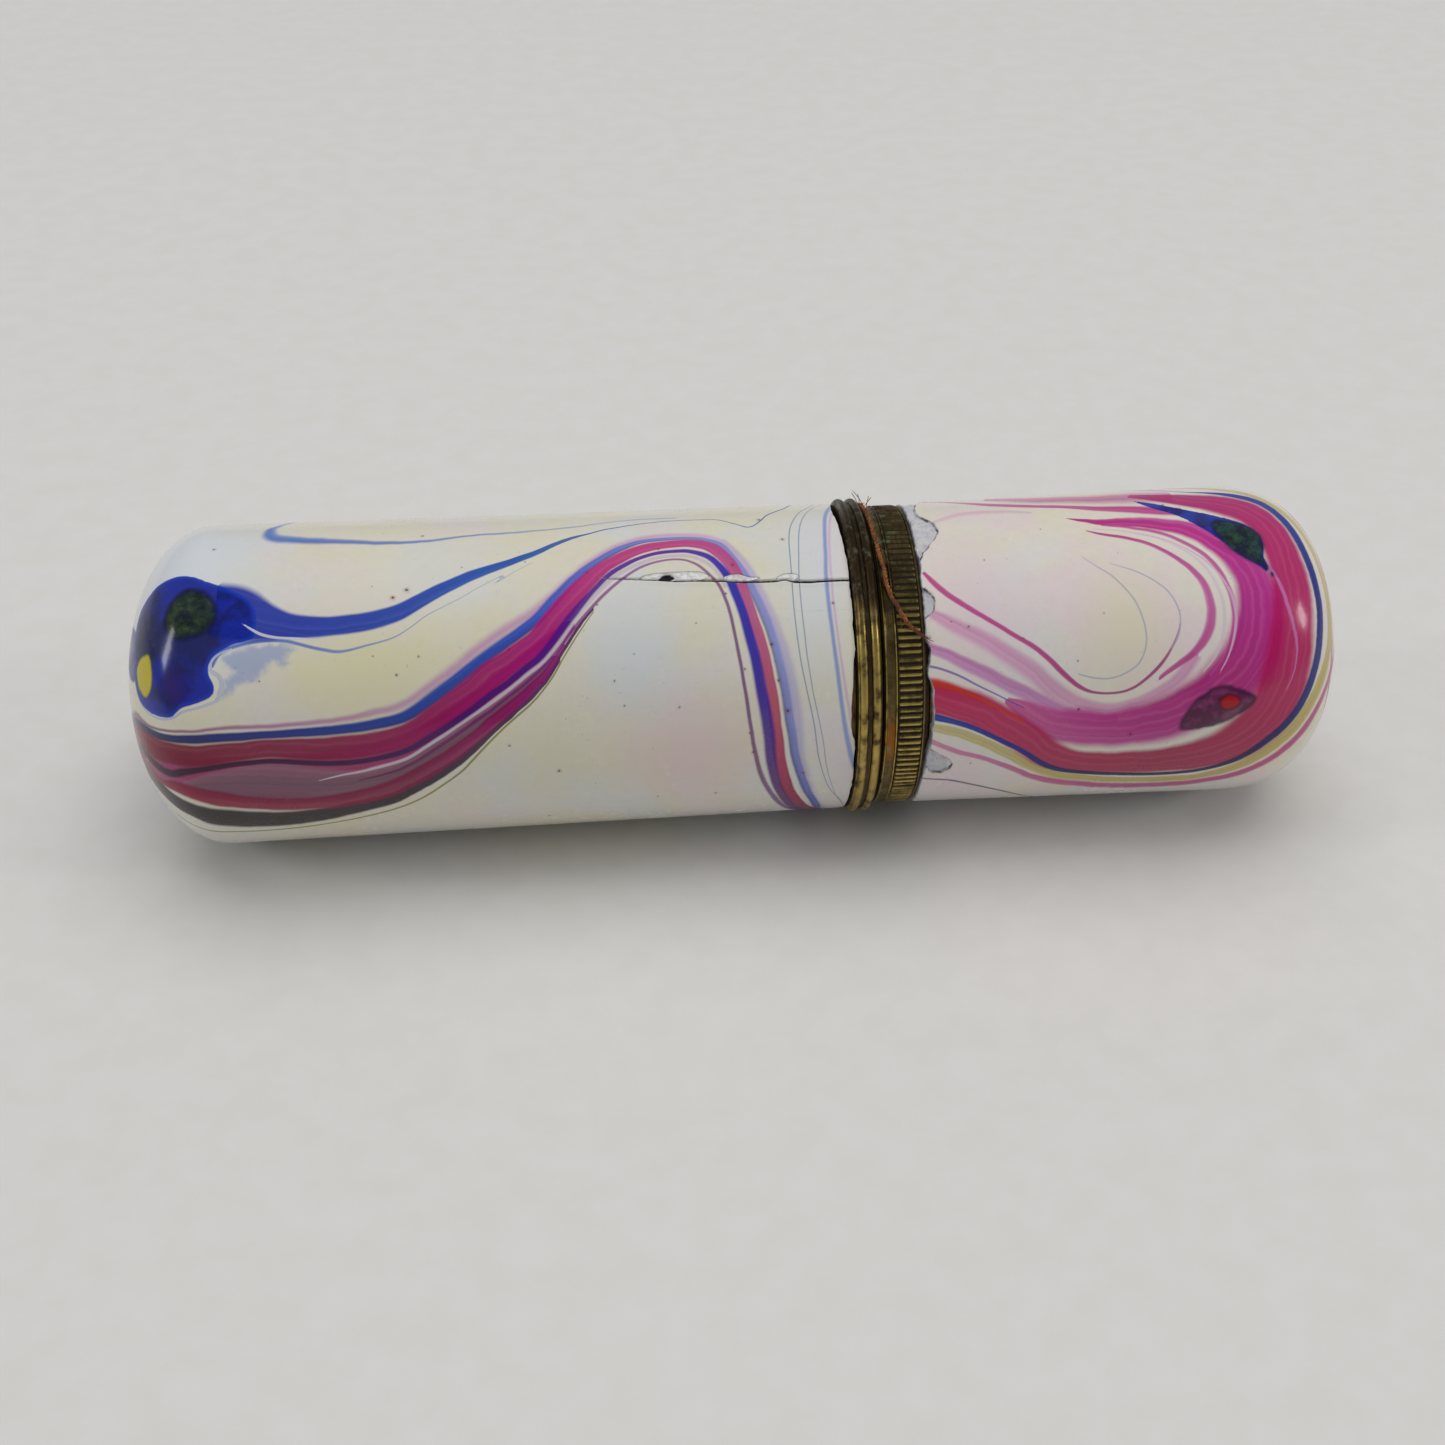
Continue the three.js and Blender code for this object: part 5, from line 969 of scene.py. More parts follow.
def shaded_ground(net, place, cream, cool, warm, rosy):
    a = net.noise(place, 0.11, 3.0, 0.5)
    b = net.noise(net.mapped(place, location=(31.0, 7.0, 3.0)), 0.13, 3.0, 0.55)
    c = net.noise(net.mapped(place, location=(-11.0, 17.0, 23.0)), 0.16, 3.0, 0.5)
    col = net.mix(net.remap(a, 0.44, 0.62), cream, cool)
    col = net.mix(net.math("MULTIPLY", net.remap(b, 0.5, 0.68), 0.7), col, warm)
    col = net.mix(net.math("MULTIPLY", net.remap(c, 0.5, 0.66), 0.8), col, rosy)
    mottle = net.noise(place, 1.8, 4.0, 0.6)
    return net.level(col, net.remap(mottle, 0.3, 0.7, 0.975, 1.02, "LINEAR"))


def glow(net, place, centre, size, strength):
    """A soft round patch about a point in mm."""
    ball = net.new("ShaderNodeTexGradient", gradient_type="SPHERICAL")
    net.feed(ball.inputs[0], net.mapped(place, tuple(1 / s for s in size), tuple(-c / s for c, s in zip(centre, size))))
    return net.math("MULTIPLY", net.remap(ball.outputs[1], 0.0, 1.0), strength)


def spot(x, deg, surface):
    p = on(float(x), float(deg), float(surface(float(x))))
    return (float(p[0]), float(p[1]), float(p[2]) + AXIS_Z)


CREAM, COOL = rgb(226, 220, 200), rgb(222, 224, 226)
m_cap, net, bsdf = material("lacquer_cap")
P = net.place()
w1 = net.math("MULTIPLY", net.math("SUBTRACT", net.noise(P, 0.55, 2.0), 0.5), 2.4)
w2 = net.math("MULTIPLY", net.math("SUBTRACT", net.noise(P, 1.7, 2.0), 0.5), 2.4)
col = shaded_ground(net, P, CREAM, rgb(220, 220, 214), rgb(226, 218, 186), rgb(226, 216, 214))
col = net.mix(glow(net, P, spot(-33, 92, cap_r), (8, 9, 7), 0.85), col, rgb(218, 224, 232))
col = net.mix(glow(net, P, spot(-22, 40, cap_r), (9, 6, 6), 0.75), col, rgb(224, 218, 178))
col = net.mix(glow(net, P, spot(-19, 70, cap_r), (9, 5, 5), 0.5), col, rgb(228, 224, 210))
col = net.mix(glow(net, P, spot(-3.5, 2, cap_r), (6.5, 7, 6), 0.85), col, rgb(228, 206, 202))
col = net.mix(glow(net, P, spot(-6.5, 38, cap_r), (5, 6, 5), 0.6), col, rgb(214, 218, 222))
col = net.mix(glow(net, P, spot(4, 60, cap_r), (3.5, 12, 10), 0.7), col, rgb(216, 220, 226))
col = net.mix(glow(net, P, spot(-12, 0, cap_r), (5, 6, 5), 0.5), col, rgb(224, 218, 190))


def cv(under, name, a, m, b, **k):
    return lay_vein(net, under, name, w1, a, m, b, seed=7.3 * len(name), **k)


def ca(name, stops):
    return along(net, name, CAP_VEINS[name], cap_r, stops)


col = cv(col, "back_rose", rgb(196, 120, 170), rgb(166, 60, 128), rgb(214, 170, 200), soft=0.7, opacity=0.75, warp=0.12, streak=0.6)
col = cv(col, "back_blue", rgb(150, 160, 210), rgb(44, 84, 180), rgb(90, 110, 190), soft=0.45, opacity=0.85, warp=0.1, streak=0.5)
col = cv(col, "back_line", rgb(130, 150, 180), rgb(110, 130, 170), rgb(130, 150, 180), soft=0.6, opacity=0.6, warp=0.03, streak=0.3)
col, _ = lay_pool(net, col, "back_pool", w1, rgb(20, 50, 160), rgb(90, 110, 190), 0.25, 0.1, 0.95, 0.1)
col = cv(col, "right_haze", rgb(206, 196, 216), rgb(190, 186, 214), rgb(214, 206, 220), soft=0.95, opacity=0.6, warp=0.15, streak=0.6)
col = cv(col, "ring_pink", rgb(214, 176, 206), rgb(222, 188, 212), rgb(230, 214, 222), soft=0.85, opacity=0.75, warp=0.04, streak=0.2)
col = cv(col, "ring_blue", rgb(170, 186, 222), rgb(140, 160, 214), rgb(170, 176, 220), soft=0.75, opacity=0.8, warp=0.03, streak=0.25)
col = cv(col, "line_a", rgb(150, 168, 186), rgb(112, 136, 164), rgb(150, 168, 186), soft=0.8, opacity=0.75, warp=0.02, streak=0.15)
col = cv(col, "line_b", rgb(150, 168, 186), rgb(116, 138, 168), rgb(150, 168, 186), soft=0.8, opacity=0.7, warp=0.02, streak=0.15)
up = ca("upper_streak", [((-27.5, 110), rgb(96, 132, 206)), ((-26, 95), rgb(84, 118, 196)), ((-20, 91), rgb(106, 132, 196)), ((-14, 94.6), rgb(140, 152, 192)), ((-8, 100), rgb(182, 186, 200))])
col = cv(col, "upper_streak", up, up, rgb(150, 170, 214), soft=0.75, opacity=0.85, warp=0.12, streak=0.35)
col, _ = lay_pool(net, col, "smear", w2, rgb(126, 150, 208), rgb(160, 174, 212), 0.4, 0.5, 0.55, 0.4)
col = cv(col, "lightblue_line", rgb(130, 152, 206), ca("lightblue_line", [((-30, 47), rgb(90, 118, 200)), ((-25, 47.5), rgb(110, 134, 204)), ((-21, 48.5), rgb(150, 164, 204)), ((-17, 61), rgb(186, 192, 208))]), rgb(170, 184, 214), soft=0.6, opacity=0.85, warp=0.03, streak=0.3)
col = cv(col, "underlay", rgb(190, 116, 156), rgb(160, 66, 112), rgb(150, 60, 96), soft=0.4, opacity=0.95, warp=0.12, streak=0.5)
hl = ca("halo", [((-34, 21), rgb(120, 60, 110)), ((-28, 21.5), rgb(176, 112, 152)), ((-20, 27), rgb(200, 156, 190)), ((-10, 69), rgb(206, 162, 196)), ((-4, 89), rgb(214, 176, 206)), ((0.5, 70), rgb(206, 190, 218)), ((1.6, 30), rgb(196, 190, 218))])
col = cv(col, "halo", hl, hl, hl, soft=0.95, opacity=0.8, warp=0.08, streak=0.35)
col = cv(col, "grey_zone", rgb(150, 70, 104), rgb(128, 98, 112), rgb(170, 120, 140), soft=0.35, opacity=0.97, warp=0.12, streak=0.45)
col = cv(col, "yellow_edge", rgb(150, 146, 80), rgb(128, 126, 44), rgb(170, 166, 110), soft=0.8, opacity=0.85, warp=0.03, streak=0.2)
# The dark stream is painted near black where it runs under the case and lightens as it climbs: dark paint, with painted
# shade on its lower part.
dl = ca("dark_low", [((-34, -12), rgb(34, 12, 26)), ((-26, -19), rgb(30, 13, 26)), ((-20, -7), rgb(44, 20, 40)), ((-16, 9.8), rgb(70, 40, 72)), ((-12, 30), rgb(96, 52, 104))])
col = cv(col, "dark_low", dl, dl, dl, soft=0.35, opacity=0.97, warp=0.1, streak=0.25)
lc = ca("lower_crimson", [((-34, -3.5), rgb(152, 24, 62)), ((-28, -11), rgb(150, 30, 72)), ((-20, -2), rgb(142, 30, 78)), ((-14, 23), rgb(160, 56, 116)), ((-10, 45), rgb(156, 74, 136))])
col = cv(col, "lower_crimson", lc, lc, rgb(120, 40, 70), soft=0.4, opacity=0.95, warp=0.1, streak=0.5)
ml = ca("mauve_line", [((-22, 0), rgb(110, 50, 90)), ((-12, 36), rgb(128, 58, 128)), ((-4, 76), rgb(150, 92, 156)), ((-1, 60), rgb(120, 72, 132)), ((0.2, 10), rgb(112, 66, 120))])
col = cv(col, "mauve_line", ml, ml, ml, soft=0.7, opacity=0.85, warp=0.04, streak=0.3)
col = cv(col, "pale_stripe", rgb(206, 190, 204), rgb(216, 206, 212), rgb(190, 150, 184), soft=0.6, opacity=0.9, warp=0.03, streak=0.3)
bb = ca("blue_band", [((-35, 18), rgb(14, 24, 84)), ((-30, 18), rgb(18, 40, 128)), ((-24, 19), rgb(24, 56, 156)), ((-20, 23), rgb(42, 74, 168)), ((-12, 55), rgb(84, 108, 196)), ((-4, 86), rgb(146, 152, 212)), ((-0.5, 78), rgb(156, 160, 214)), ((1.5, 40), rgb(162, 168, 216)), ((2.6, 0), rgb(140, 146, 200)), ((4.6, -60), rgb(60, 80, 160)), ((-12, -139), rgb(22, 46, 140))])
col = cv(col, "blue_band", rgb(10, 18, 70), bb, bb, soft=0.5, opacity=0.96, warp=0.05, streak=0.3)
# The crimson stream runs from dark where it lies low at the front to light over the top: partly the paint's own change
# of colour, partly painted shade on the low run.
cr = ca("crimson", [((-35, 12), rgb(128, 16, 48)), ((-30, 13), rgb(136, 20, 62)), ((-24, 12.5), rgb(148, 26, 78)), ((-19, 19), rgb(160, 36, 98)), ((-12, 47), rgb(178, 62, 130)), ((-8, 72), rgb(194, 88, 140)), ((-4, 82), rgb(204, 100, 148)), ((-1.2, 76), rgb(196, 104, 152)), ((0.6, 50), rgb(196, 116, 152)), ((1.3, 20), rgb(200, 112, 128)), ((1.8, -5), rgb(180, 86, 112)), ((3.4, -40), rgb(140, 34, 80)), ((-9, -131), rgb(150, 28, 80))])
col = cv(col, "crimson", cr, cr, cr, soft=0.3, opacity=0.97, warp=0.07, streak=0.3)
pu = ca("purple", [((-35, 0), rgb(34, 12, 36)), ((-30, 8), rgb(46, 14, 46)), ((-24, 6.4), rgb(58, 20, 66)), ((-19, 13), rgb(76, 32, 100)), ((-12, 40), rgb(92, 44, 136)), ((-6, 77), rgb(102, 56, 156)), ((-2.5, 79), rgb(92, 62, 176)), ((-0.7, 66), rgb(52, 52, 176)), ((0.3, 40), rgb(66, 60, 172)), ((0.8, 10), rgb(90, 66, 150)), ((1.6, -20), rgb(96, 50, 110)), ((0.6, -100), rgb(60, 20, 70))])
col = cv(col, "purple", pu, pu, pu, soft=0.55, opacity=0.95, warp=0.04, streak=0.3)
bs = ca("blue_streak", [((-30, 62), rgb(14, 44, 168)), ((-24, 54.7), rgb(16, 58, 176)), ((-19, 62), rgb(32, 76, 178)), ((-15, 74), rgb(60, 98, 182)), ((-11, 84), rgb(86, 114, 176)), ((-5, 98), rgb(112, 132, 168)), ((1, 92), rgb(104, 128, 170))])
col = cv(col, "blue_streak", bs, bs, bs, soft=0.3, opacity=0.96, warp=0.04, streak=0.18)
blobhue = net.mix(net.remap(net.noise(P, 0.5, 3.0), 0.42, 0.62), rgb(12, 36, 158), rgb(8, 20, 96))
blobhue = net.mix(glow(net, P, spot(-33.0, 36, cap_r), (1.4, 1.6, 1.6), 0.7), blobhue, rgb(58, 34, 120))
blobhue = net.mix(glow(net, P, spot(-34.8, 62, cap_r), (2.0, 4.5, 4.5), 0.8), blobhue, rgb(8, 14, 58))
col = cv(col, "blob_end", blobhue, blobhue, blobhue, soft=0.15, opacity=0.97, warp=0.1, streak=0.2)
col, _ = lay_pool(net, col, "blob", w1, blobhue, rgb(22, 62, 186), 0.35, 0.09, 0.98, 0.07)
greens = net.ramp(net.noise(P, 1.5, 4.0, 0.65), [(0.0, rgb(10, 18, 22)), (0.42, rgb(18, 30, 24)), (0.55, rgb(40, 56, 34)), (0.7, rgb(70, 84, 48)), (1.0, rgb(30, 44, 34))])
col, _ = lay_pool(net, col, "green_oval", w2, greens, rgb(10, 16, 48), 0.45, 0.5, 0.96, 0.1)
col, _ = lay_pool(net, col, "yellow_oval", w2, rgb(206, 190, 52), rgb(120, 124, 50), 0.18, 0.12, 0.95, 0.05)
col = cv(col, "blob_white", rgb(150, 170, 222), rgb(206, 210, 222), rgb(190, 196, 214), soft=0.5, opacity=0.92, warp=0.05, streak=0.25)
col = cv(col, "white_wedge", rgb(200, 206, 222), rgb(222, 222, 222), rgb(200, 206, 222), soft=0.4, opacity=0.9, warp=0.03, streak=0.2)
col = speck_layer(net, col, P)
cd, ch, cx = net.parts(net.attr("crack"))[:3]
wob = net.math("MULTIPLY", net.math("SUBTRACT", net.noise(P, 3.5, 3.0), 0.5), 0.09)
cdw = net.math("ABSOLUTE", net.math("ADD", cd, wob))
# The split is painted near black along its length: painted shadow inside the crack.
crack_shadow_line = net.math("MULTIPLY", net.remap(cdw, net.math("ADD", ch, 0.03), net.math("MULTIPLY", ch, 0.35)), net.remap(ch, 0.003, 0.012))
fl, ho = net.parts(net.attr("flakes"))[:2]
chipmask = net.remap(net.math("ADD", fl, net.math("MULTIPLY", wob, 1.0)), -0.02, 0.03)
hole_shade_mask = net.remap(net.math("ADD", ho, net.math("MULTIPLY", wob, 1.4)), -0.03, 0.03)
rim = net.math("MULTIPLY", net.remap(net.math("ABSOLUTE", net.math("ADD", fl, 0.0)), 0.075, 0.02), 0.55)
x, y, z = net.split(P)
rad = net.math("SQRT", net.math("ADD", net.math("MULTIPLY", y, y), net.math("POWER", net.math("SUBTRACT", z, AXIS_Z), 2.0)))
lip = net.math("MULTIPLY", net.remap(rad, 9.53, 9.46), net.math("GREATER_THAN", x, 4.5))
gesso = net.mix(net.remap(net.noise(P, 4.0, 4.0), 0.4, 0.7), rgb(238, 238, 236), rgb(204, 200, 194))
# The small deep hole is painted near black: painted shade inside it.
gesso = net.mix(hole_shade_mask, gesso, rgb(38, 34, 34))
gesso = net.mix(lip, gesso, net.mix(net.remap(net.noise(P, 2.2, 3.0), 0.45, 0.6), rgb(56, 42, 34), rgb(150, 138, 122)))
col = net.mix(rim, col, rgb(70, 62, 62))
bare = net.math("MAXIMUM", net.math("MAXIMUM", chipmask, lip), hole_shade_mask)
lacquer_finish(net, bsdf, net.mix(net.math("MULTIPLY", crack_shadow_line, 0.96), net.mix(bare, col, gesso), rgb(28, 24, 28)), P, net.math("MAXIMUM", bare, crack_shadow_line), net.mix(crack_shadow_line, gesso, rgb(28, 24, 28)))
cap.data.materials.append(m_cap)

m_base, net, bsdf = material("lacquer_base")
P = net.place()
w1 = net.math("MULTIPLY", net.math("SUBTRACT", net.noise(P, 0.5, 2.0), 0.5), 2.4)
w2 = net.math("MULTIPLY", net.math("SUBTRACT", net.noise(P, 1.5, 2.0), 0.5), 2.4)
col = shaded_ground(net, P, rgb(228, 222, 208), rgb(226, 222, 218), rgb(230, 222, 196), rgb(232, 214, 216))
col = net.mix(glow(net, P, spot(13.5, 50, base_r), (5, 8, 8), 0.6), col, rgb(230, 206, 216))
col = net.mix(glow(net, P, spot(22.5, 42, base_r), (4, 6, 6), 0.7), col, rgb(226, 220, 186))


def bv(under, name, a, m, b, **k):
    return lay_vein(net, under, name, w1, a, m, b, seed=7.3 * len(name), **k)


def ba(name, stops):
    return along(net, name, BASE_VEINS[name], base_r, stops)


col = bv(col, "tophaze", rgb(196, 110, 156), rgb(206, 126, 168), rgb(222, 172, 196), soft=0.8, opacity=0.85, warp=0.2, streak=0.6)
col = bv(col, "pinkfaint", rgb(232, 206, 214), rgb(226, 190, 206), rgb(232, 206, 214), soft=0.95, opacity=0.7, warp=0.1, streak=0.4)
col = bv(col, "end_pink", rgb(206, 110, 160), rgb(192, 76, 140), rgb(214, 150, 184), soft=0.6, opacity=0.85, warp=0.15, streak=0.5)
col = bv(col, "end_blue", rgb(80, 90, 170), rgb(30, 50, 140), rgb(80, 90, 170), soft=0.5, opacity=0.8, warp=0.08, streak=0.3)
col = bv(col, "back_crimson", rgb(200, 70, 140), rgb(160, 24, 80), rgb(196, 90, 150), soft=0.35, opacity=0.96, warp=0.15, streak=0.5)
col = bv(col, "back_rose", rgb(222, 160, 192), rgb(204, 100, 158), rgb(226, 186, 206), soft=0.6, opacity=0.85, warp=0.1, streak=0.5)
col = bv(col, "back_blue", rgb(60, 76, 160), rgb(22, 42, 132), rgb(40, 60, 150), soft=0.35, opacity=0.92, warp=0.08, streak=0.3)
col = bv(col, "back_line", rgb(140, 130, 160), rgb(110, 100, 140), rgb(140, 130, 160), soft=0.6, opacity=0.7, warp=0.03, streak=0.3)
col = bv(col, "pink_out", rgb(214, 150, 178), ba("pink_out", [((11, 2), rgb(214, 150, 182)), ((17, -18), rgb(200, 110, 156)), ((25, -32), rgb(190, 84, 140)), ((33, -9), rgb(188, 72, 134)), ((36, 30), rgb(188, 78, 138))]), rgb(206, 120, 160), soft=0.55, opacity=0.92, warp=0.12, streak=0.5)
col = bv(col, "ochre", rgb(214, 200, 140), ba("ochre", [((11, 7), rgb(206, 196, 150)), ((18, -16), rgb(200, 184, 124)), ((28, -24), rgb(196, 176, 112)), ((35, 21), rgb(196, 178, 118)), ((35.4, 64), rgb(200, 184, 130))]), rgb(206, 190, 130), soft=0.35, opacity=0.93, warp=0.1, streak=0.35)
col = bv(col, "dark_line", rgb(140, 120, 146), rgb(98, 78, 108), rgb(140, 120, 146), soft=0.7, opacity=0.85, warp=0.05, streak=0.3)
col = bv(col, "rose_soft", rgb(222, 178, 204), rgb(222, 170, 200), rgb(212, 140, 184), soft=0.7, opacity=0.85, warp=0.1, streak=0.5)
col = bv(col, "lilac_top", rgb(216, 176, 208), rgb(204, 148, 194), rgb(196, 120, 176), soft=0.55, opacity=0.9, warp=0.1, streak=0.5)
mg = ba("magenta", [((16, 14), rgb(206, 112, 160)), ((20, 4.5), rgb(196, 92, 154)), ((25, 7), rgb(184, 64, 138)), ((29, 22), rgb(186, 52, 132)), ((30.5, 50), rgb(190, 64, 148)), ((27.5, 78), rgb(196, 80, 152)), ((23, 86), rgb(192, 76, 146))])
col = bv(col, "magenta", rgb(206, 120, 172), mg, mg, soft=0.42, opacity=0.96, warp=0.16, streak=0.45)
col = bv(col, "topline", rgb(206, 110, 164), ba("topline", [((12, 118), rgb(206, 120, 170)), ((19, 100), rgb(200, 96, 156)), ((26, 92), rgb(190, 66, 140))]), rgb(206, 110, 164), soft=0.5, opacity=0.9, warp=0.08, streak=0.5)
cr = ba("crimson", [((11, 19), rgb(196, 44, 96)), ((15, 8), rgb(194, 28, 94)), ((19, -10), rgb(178, 18, 84)), ((25, -13), rgb(168, 12, 76)), ((30, -2), rgb(180, 14, 84)), ((32.2, 22), rgb(192, 22, 98)), ((32.7, 50), rgb(192, 26, 106)), ((32, 75), rgb(188, 40, 112)), ((29, 92), rgb(184, 46, 118))])
col = bv(col, "crimson", cr, cr, cr, soft=0.36, opacity=0.96, warp=0.14, streak=0.32)
col = bv(col, "orange", rgb(206, 96, 110), rgb(216, 84, 62), rgb(200, 60, 84), soft=0.8, opacity=0.85, warp=0.08, streak=0.5)
col = bv(col, "purple_line", rgb(150, 120, 190), rgb(104, 84, 166), rgb(150, 110, 180), soft=0.7, opacity=0.8, warp=0.04, streak=0.3)
bl = ba("blue_loop", [((11, 12), rgb(24, 60, 160)), ((16, -3), rgb(22, 50, 150)), ((20, -18), rgb(20, 24, 84)), ((26, -22), rgb(20, 18, 66)), ((31, -8), rgb(18, 26, 92)), ((34, 20), rgb(16, 34, 128)), ((34.6, 50), rgb(12, 32, 128)), ((33.5, 85), rgb(22, 50, 150))])
col = bv(col, "blue_loop", bl, bl, bl, soft=0.4, opacity=0.97, warp=0.06, streak=0.25)
col = bv(col, "rose", rgb(206, 130, 172), ba("rose", [((11, 64), rgb(196, 86, 146)), ((15, 44), rgb(190, 84, 140)), ((19, 25), rgb(178, 70, 130)), ((21.5, 18), rgb(160, 90, 130)), ((24.5, 28), rgb(156, 82, 128)), ((25.6, 40), rgb(190, 150, 176))]), rgb(206, 130, 172), soft=0.5, opacity=0.93, warp=0.05, streak=0.4)
col = bv(col, "loop_pink1", rgb(214, 150, 188), ba("loop_pink1", [((21.5, 80), rgb(192, 80, 142)), ((25.5, 69), rgb(198, 96, 156)), ((27.5, 50), rgb(206, 116, 174)), ((26.5, 32), rgb(196, 96, 154))]), rgb(206, 120, 172), soft=0.5, opacity=0.92, warp=0.07, streak=0.45)
col = bv(col, "loop_pink2", rgb(214, 150, 190), rgb(200, 96, 160), rgb(196, 84, 152), soft=0.6, opacity=0.85, warp=0.07, streak=0.5)
for k, hue in (("white1", rgb(226, 208, 220)), ("white2", rgb(224, 192, 216)), ("white3", rgb(216, 150, 200))):
    col = bv(col, k, hue, hue, hue, soft=0.7, opacity=0.85 if k != "white3" else 0.7, warp=0.06, streak=0.5)
for k in ("grey1", "grey2"):
    col = bv(col, k, rgb(196, 198, 204), rgb(176, 180, 194), rgb(200, 200, 204), soft=0.85, opacity=0.8, warp=0.03, streak=0.2)
blues = net.mix(net.remap(net.noise(P, 0.6, 3.0), 0.4, 0.6), rgb(18, 52, 166), rgb(14, 28, 110))
col, _ = lay_pool(net, col, "wedge", w1, blues, rgb(60, 60, 150), 0.16, 0.08, 0.97, 0.06)
greens = net.ramp(net.noise(P, 1.3, 4.0, 0.65), [(0.0, rgb(12, 18, 24)), (0.42, rgb(22, 30, 28)), (0.56, rgb(40, 66, 42)), (0.72, rgb(56, 90, 56)), (1.0, rgb(20, 36, 30))])
col, _ = lay_pool(net, col, "wedge_dark", w2, greens, rgb(20, 30, 70), 0.3, 0.4, 0.92, 0.12)
dr = net.mix(net.remap(net.noise(P, 0.9, 3.0), 0.4, 0.62), rgb(74, 22, 58), rgb(122, 60, 100))
col, _ = lay_pool(net, col, "drop", w2, dr, rgb(44, 12, 50), 0.45, 0.3, 0.93, 0.1)
col, _ = lay_pool(net, col, "drop_red", w2, rgb(176, 20, 30), rgb(70, 14, 34), 0.3, 0.25, 0.95, 0.06)
col = speck_layer(net, col, P)
cf = net.parts(net.attr("chips"))[0]
wob = net.math("MULTIPLY", net.math("SUBTRACT", net.noise(P, 3.0, 3.0), 0.5), 0.12)
cf = net.math("ADD", cf, wob)
chip = net.remap(cf, -0.015, 0.03)
rim = net.remap(net.math("ABSOLUTE", cf), 0.085, 0.02)
rim = net.math("MULTIPLY", rim, net.remap(net.noise(P, 1.7, 3.0), 0.38, 0.6, 0.25, 0.95))
gesso = net.ramp(net.noise(P, 2.4, 4.0, 0.65), [(0.0, rgb(176, 174, 182)), (0.42, rgb(212, 213, 220)), (0.6, rgb(232, 232, 234)), (0.74, rgb(166, 174, 168)), (1.0, rgb(130, 126, 128))])
x, y, z = net.split(P)
rad = net.math("SQRT", net.math("ADD", net.math("MULTIPLY", y, y), net.math("POWER", net.math("SUBTRACT", z, AXIS_Z), 2.0)))
lip = net.math("MULTIPLY", net.remap(rad, 9.39, 9.32), net.math("LESS_THAN", x, 12.0))
lip = net.math("MULTIPLY", lip, net.math("SUBTRACT", 1.0, net.math("MULTIPLY", chip, 0.8)))
gesso = net.mix(lip, gesso, net.mix(net.remap(net.noise(P, 2.2, 3.0), 0.45, 0.6), rgb(52, 38, 30), rgb(120, 104, 90)))
bare = net.math("MAXIMUM", chip, lip)
final = net.mix(bare, col, gesso)
final = net.mix(rim, final, rgb(60, 50, 52))
lacquer_finish(net, bsdf, final, P, bare, final)
base.data.materials.append(m_base)


# ------------------------------------------------------------------ metals
def brass(name, bright, dull, tarnish, patina, wear_rough, lines=9.0, patina_at=None, extra=None):
    """Turned brass: circumferential tool marks, tarnish in patches, patina where patina_at says."""
    m, net, bsdf = material(name)
    P = net.place()
    x, y, z = net.split(P)
    turned_at = net.join(net.math("MULTIPLY", x, lines), net.math("MULTIPLY", y, 0.35), net.math("MULTIPLY", z, 0.35))
    marks = net.noise(turned_at, 1.0, 4.0, 0.65)
    patch = net.noise(P, 0.8, 5.0, 0.65)
    fine = net.noise(P, 5.0, 5.0, 0.7)
    col = net.mix(net.remap(marks, 0.35, 0.65), bright, dull)
    t = net.remap(net.math("ADD", patch, net.math("MULTIPLY", net.math("SUBTRACT", fine, 0.5), 0.35)), 0.42, 0.62)
    col = net.mix(net.math("MULTIPLY", t, 0.75), col, tarnish)
    green = net.remap(net.noise(net.vmath("ADD", P, (5.0, 3.0, 9.0)), 1.3, 5.0, 0.7), 0.52, 0.66)
    if patina_at is not None:
        green = net.math("MULTIPLY", green, patina_at(net, P, x, y, z), clamp=True)
    else:
        green = net.math("MULTIPLY", green, 0.35)
    col = net.mix(green, col, patina)
    metal = net.math("SUBTRACT", 1.0, net.math("MULTIPLY", green, 0.75), clamp=True)
    rough = net.math("ADD", wear_rough, net.math("MULTIPLY", t, 0.16))
    rough = net.math("ADD", rough, net.math("MULTIPLY", green, 0.25))
    rough = net.math("ADD", rough, net.math("MULTIPLY", net.math("SUBTRACT", marks, 0.5), 0.2))
    if extra is not None:
        col, rough, metal = extra(net, P, x, y, z, col, rough, metal)
    net.feed(bsdf.inputs["Base Color"], col)
    net.feed(bsdf.inputs["Metallic"], metal)
    net.feed(bsdf.inputs["Roughness"], rough)
    dent = net.noise(P, 1.4, 2.0)
    h = net.math("ADD", net.math("MULTIPLY", marks, 0.35), net.math("MULTIPLY", fine, 0.5))
    h = net.math("ADD", h, net.math("MULTIPLY", dent, 1.6))
    h = net.math("ADD", h, net.math("MULTIPLY", green, 0.8))
    net.feed(bsdf.inputs["Normal"], net.bump(h, 0.8, 0.000012))
    return m


def up_side(net, P, x, y, z):
    """Grows towards the top of the case as it lies."""
    return net.remap(net.math("SUBTRACT", z, AXIS_Z), 5.5, 9.5, 0.15, 1.0)


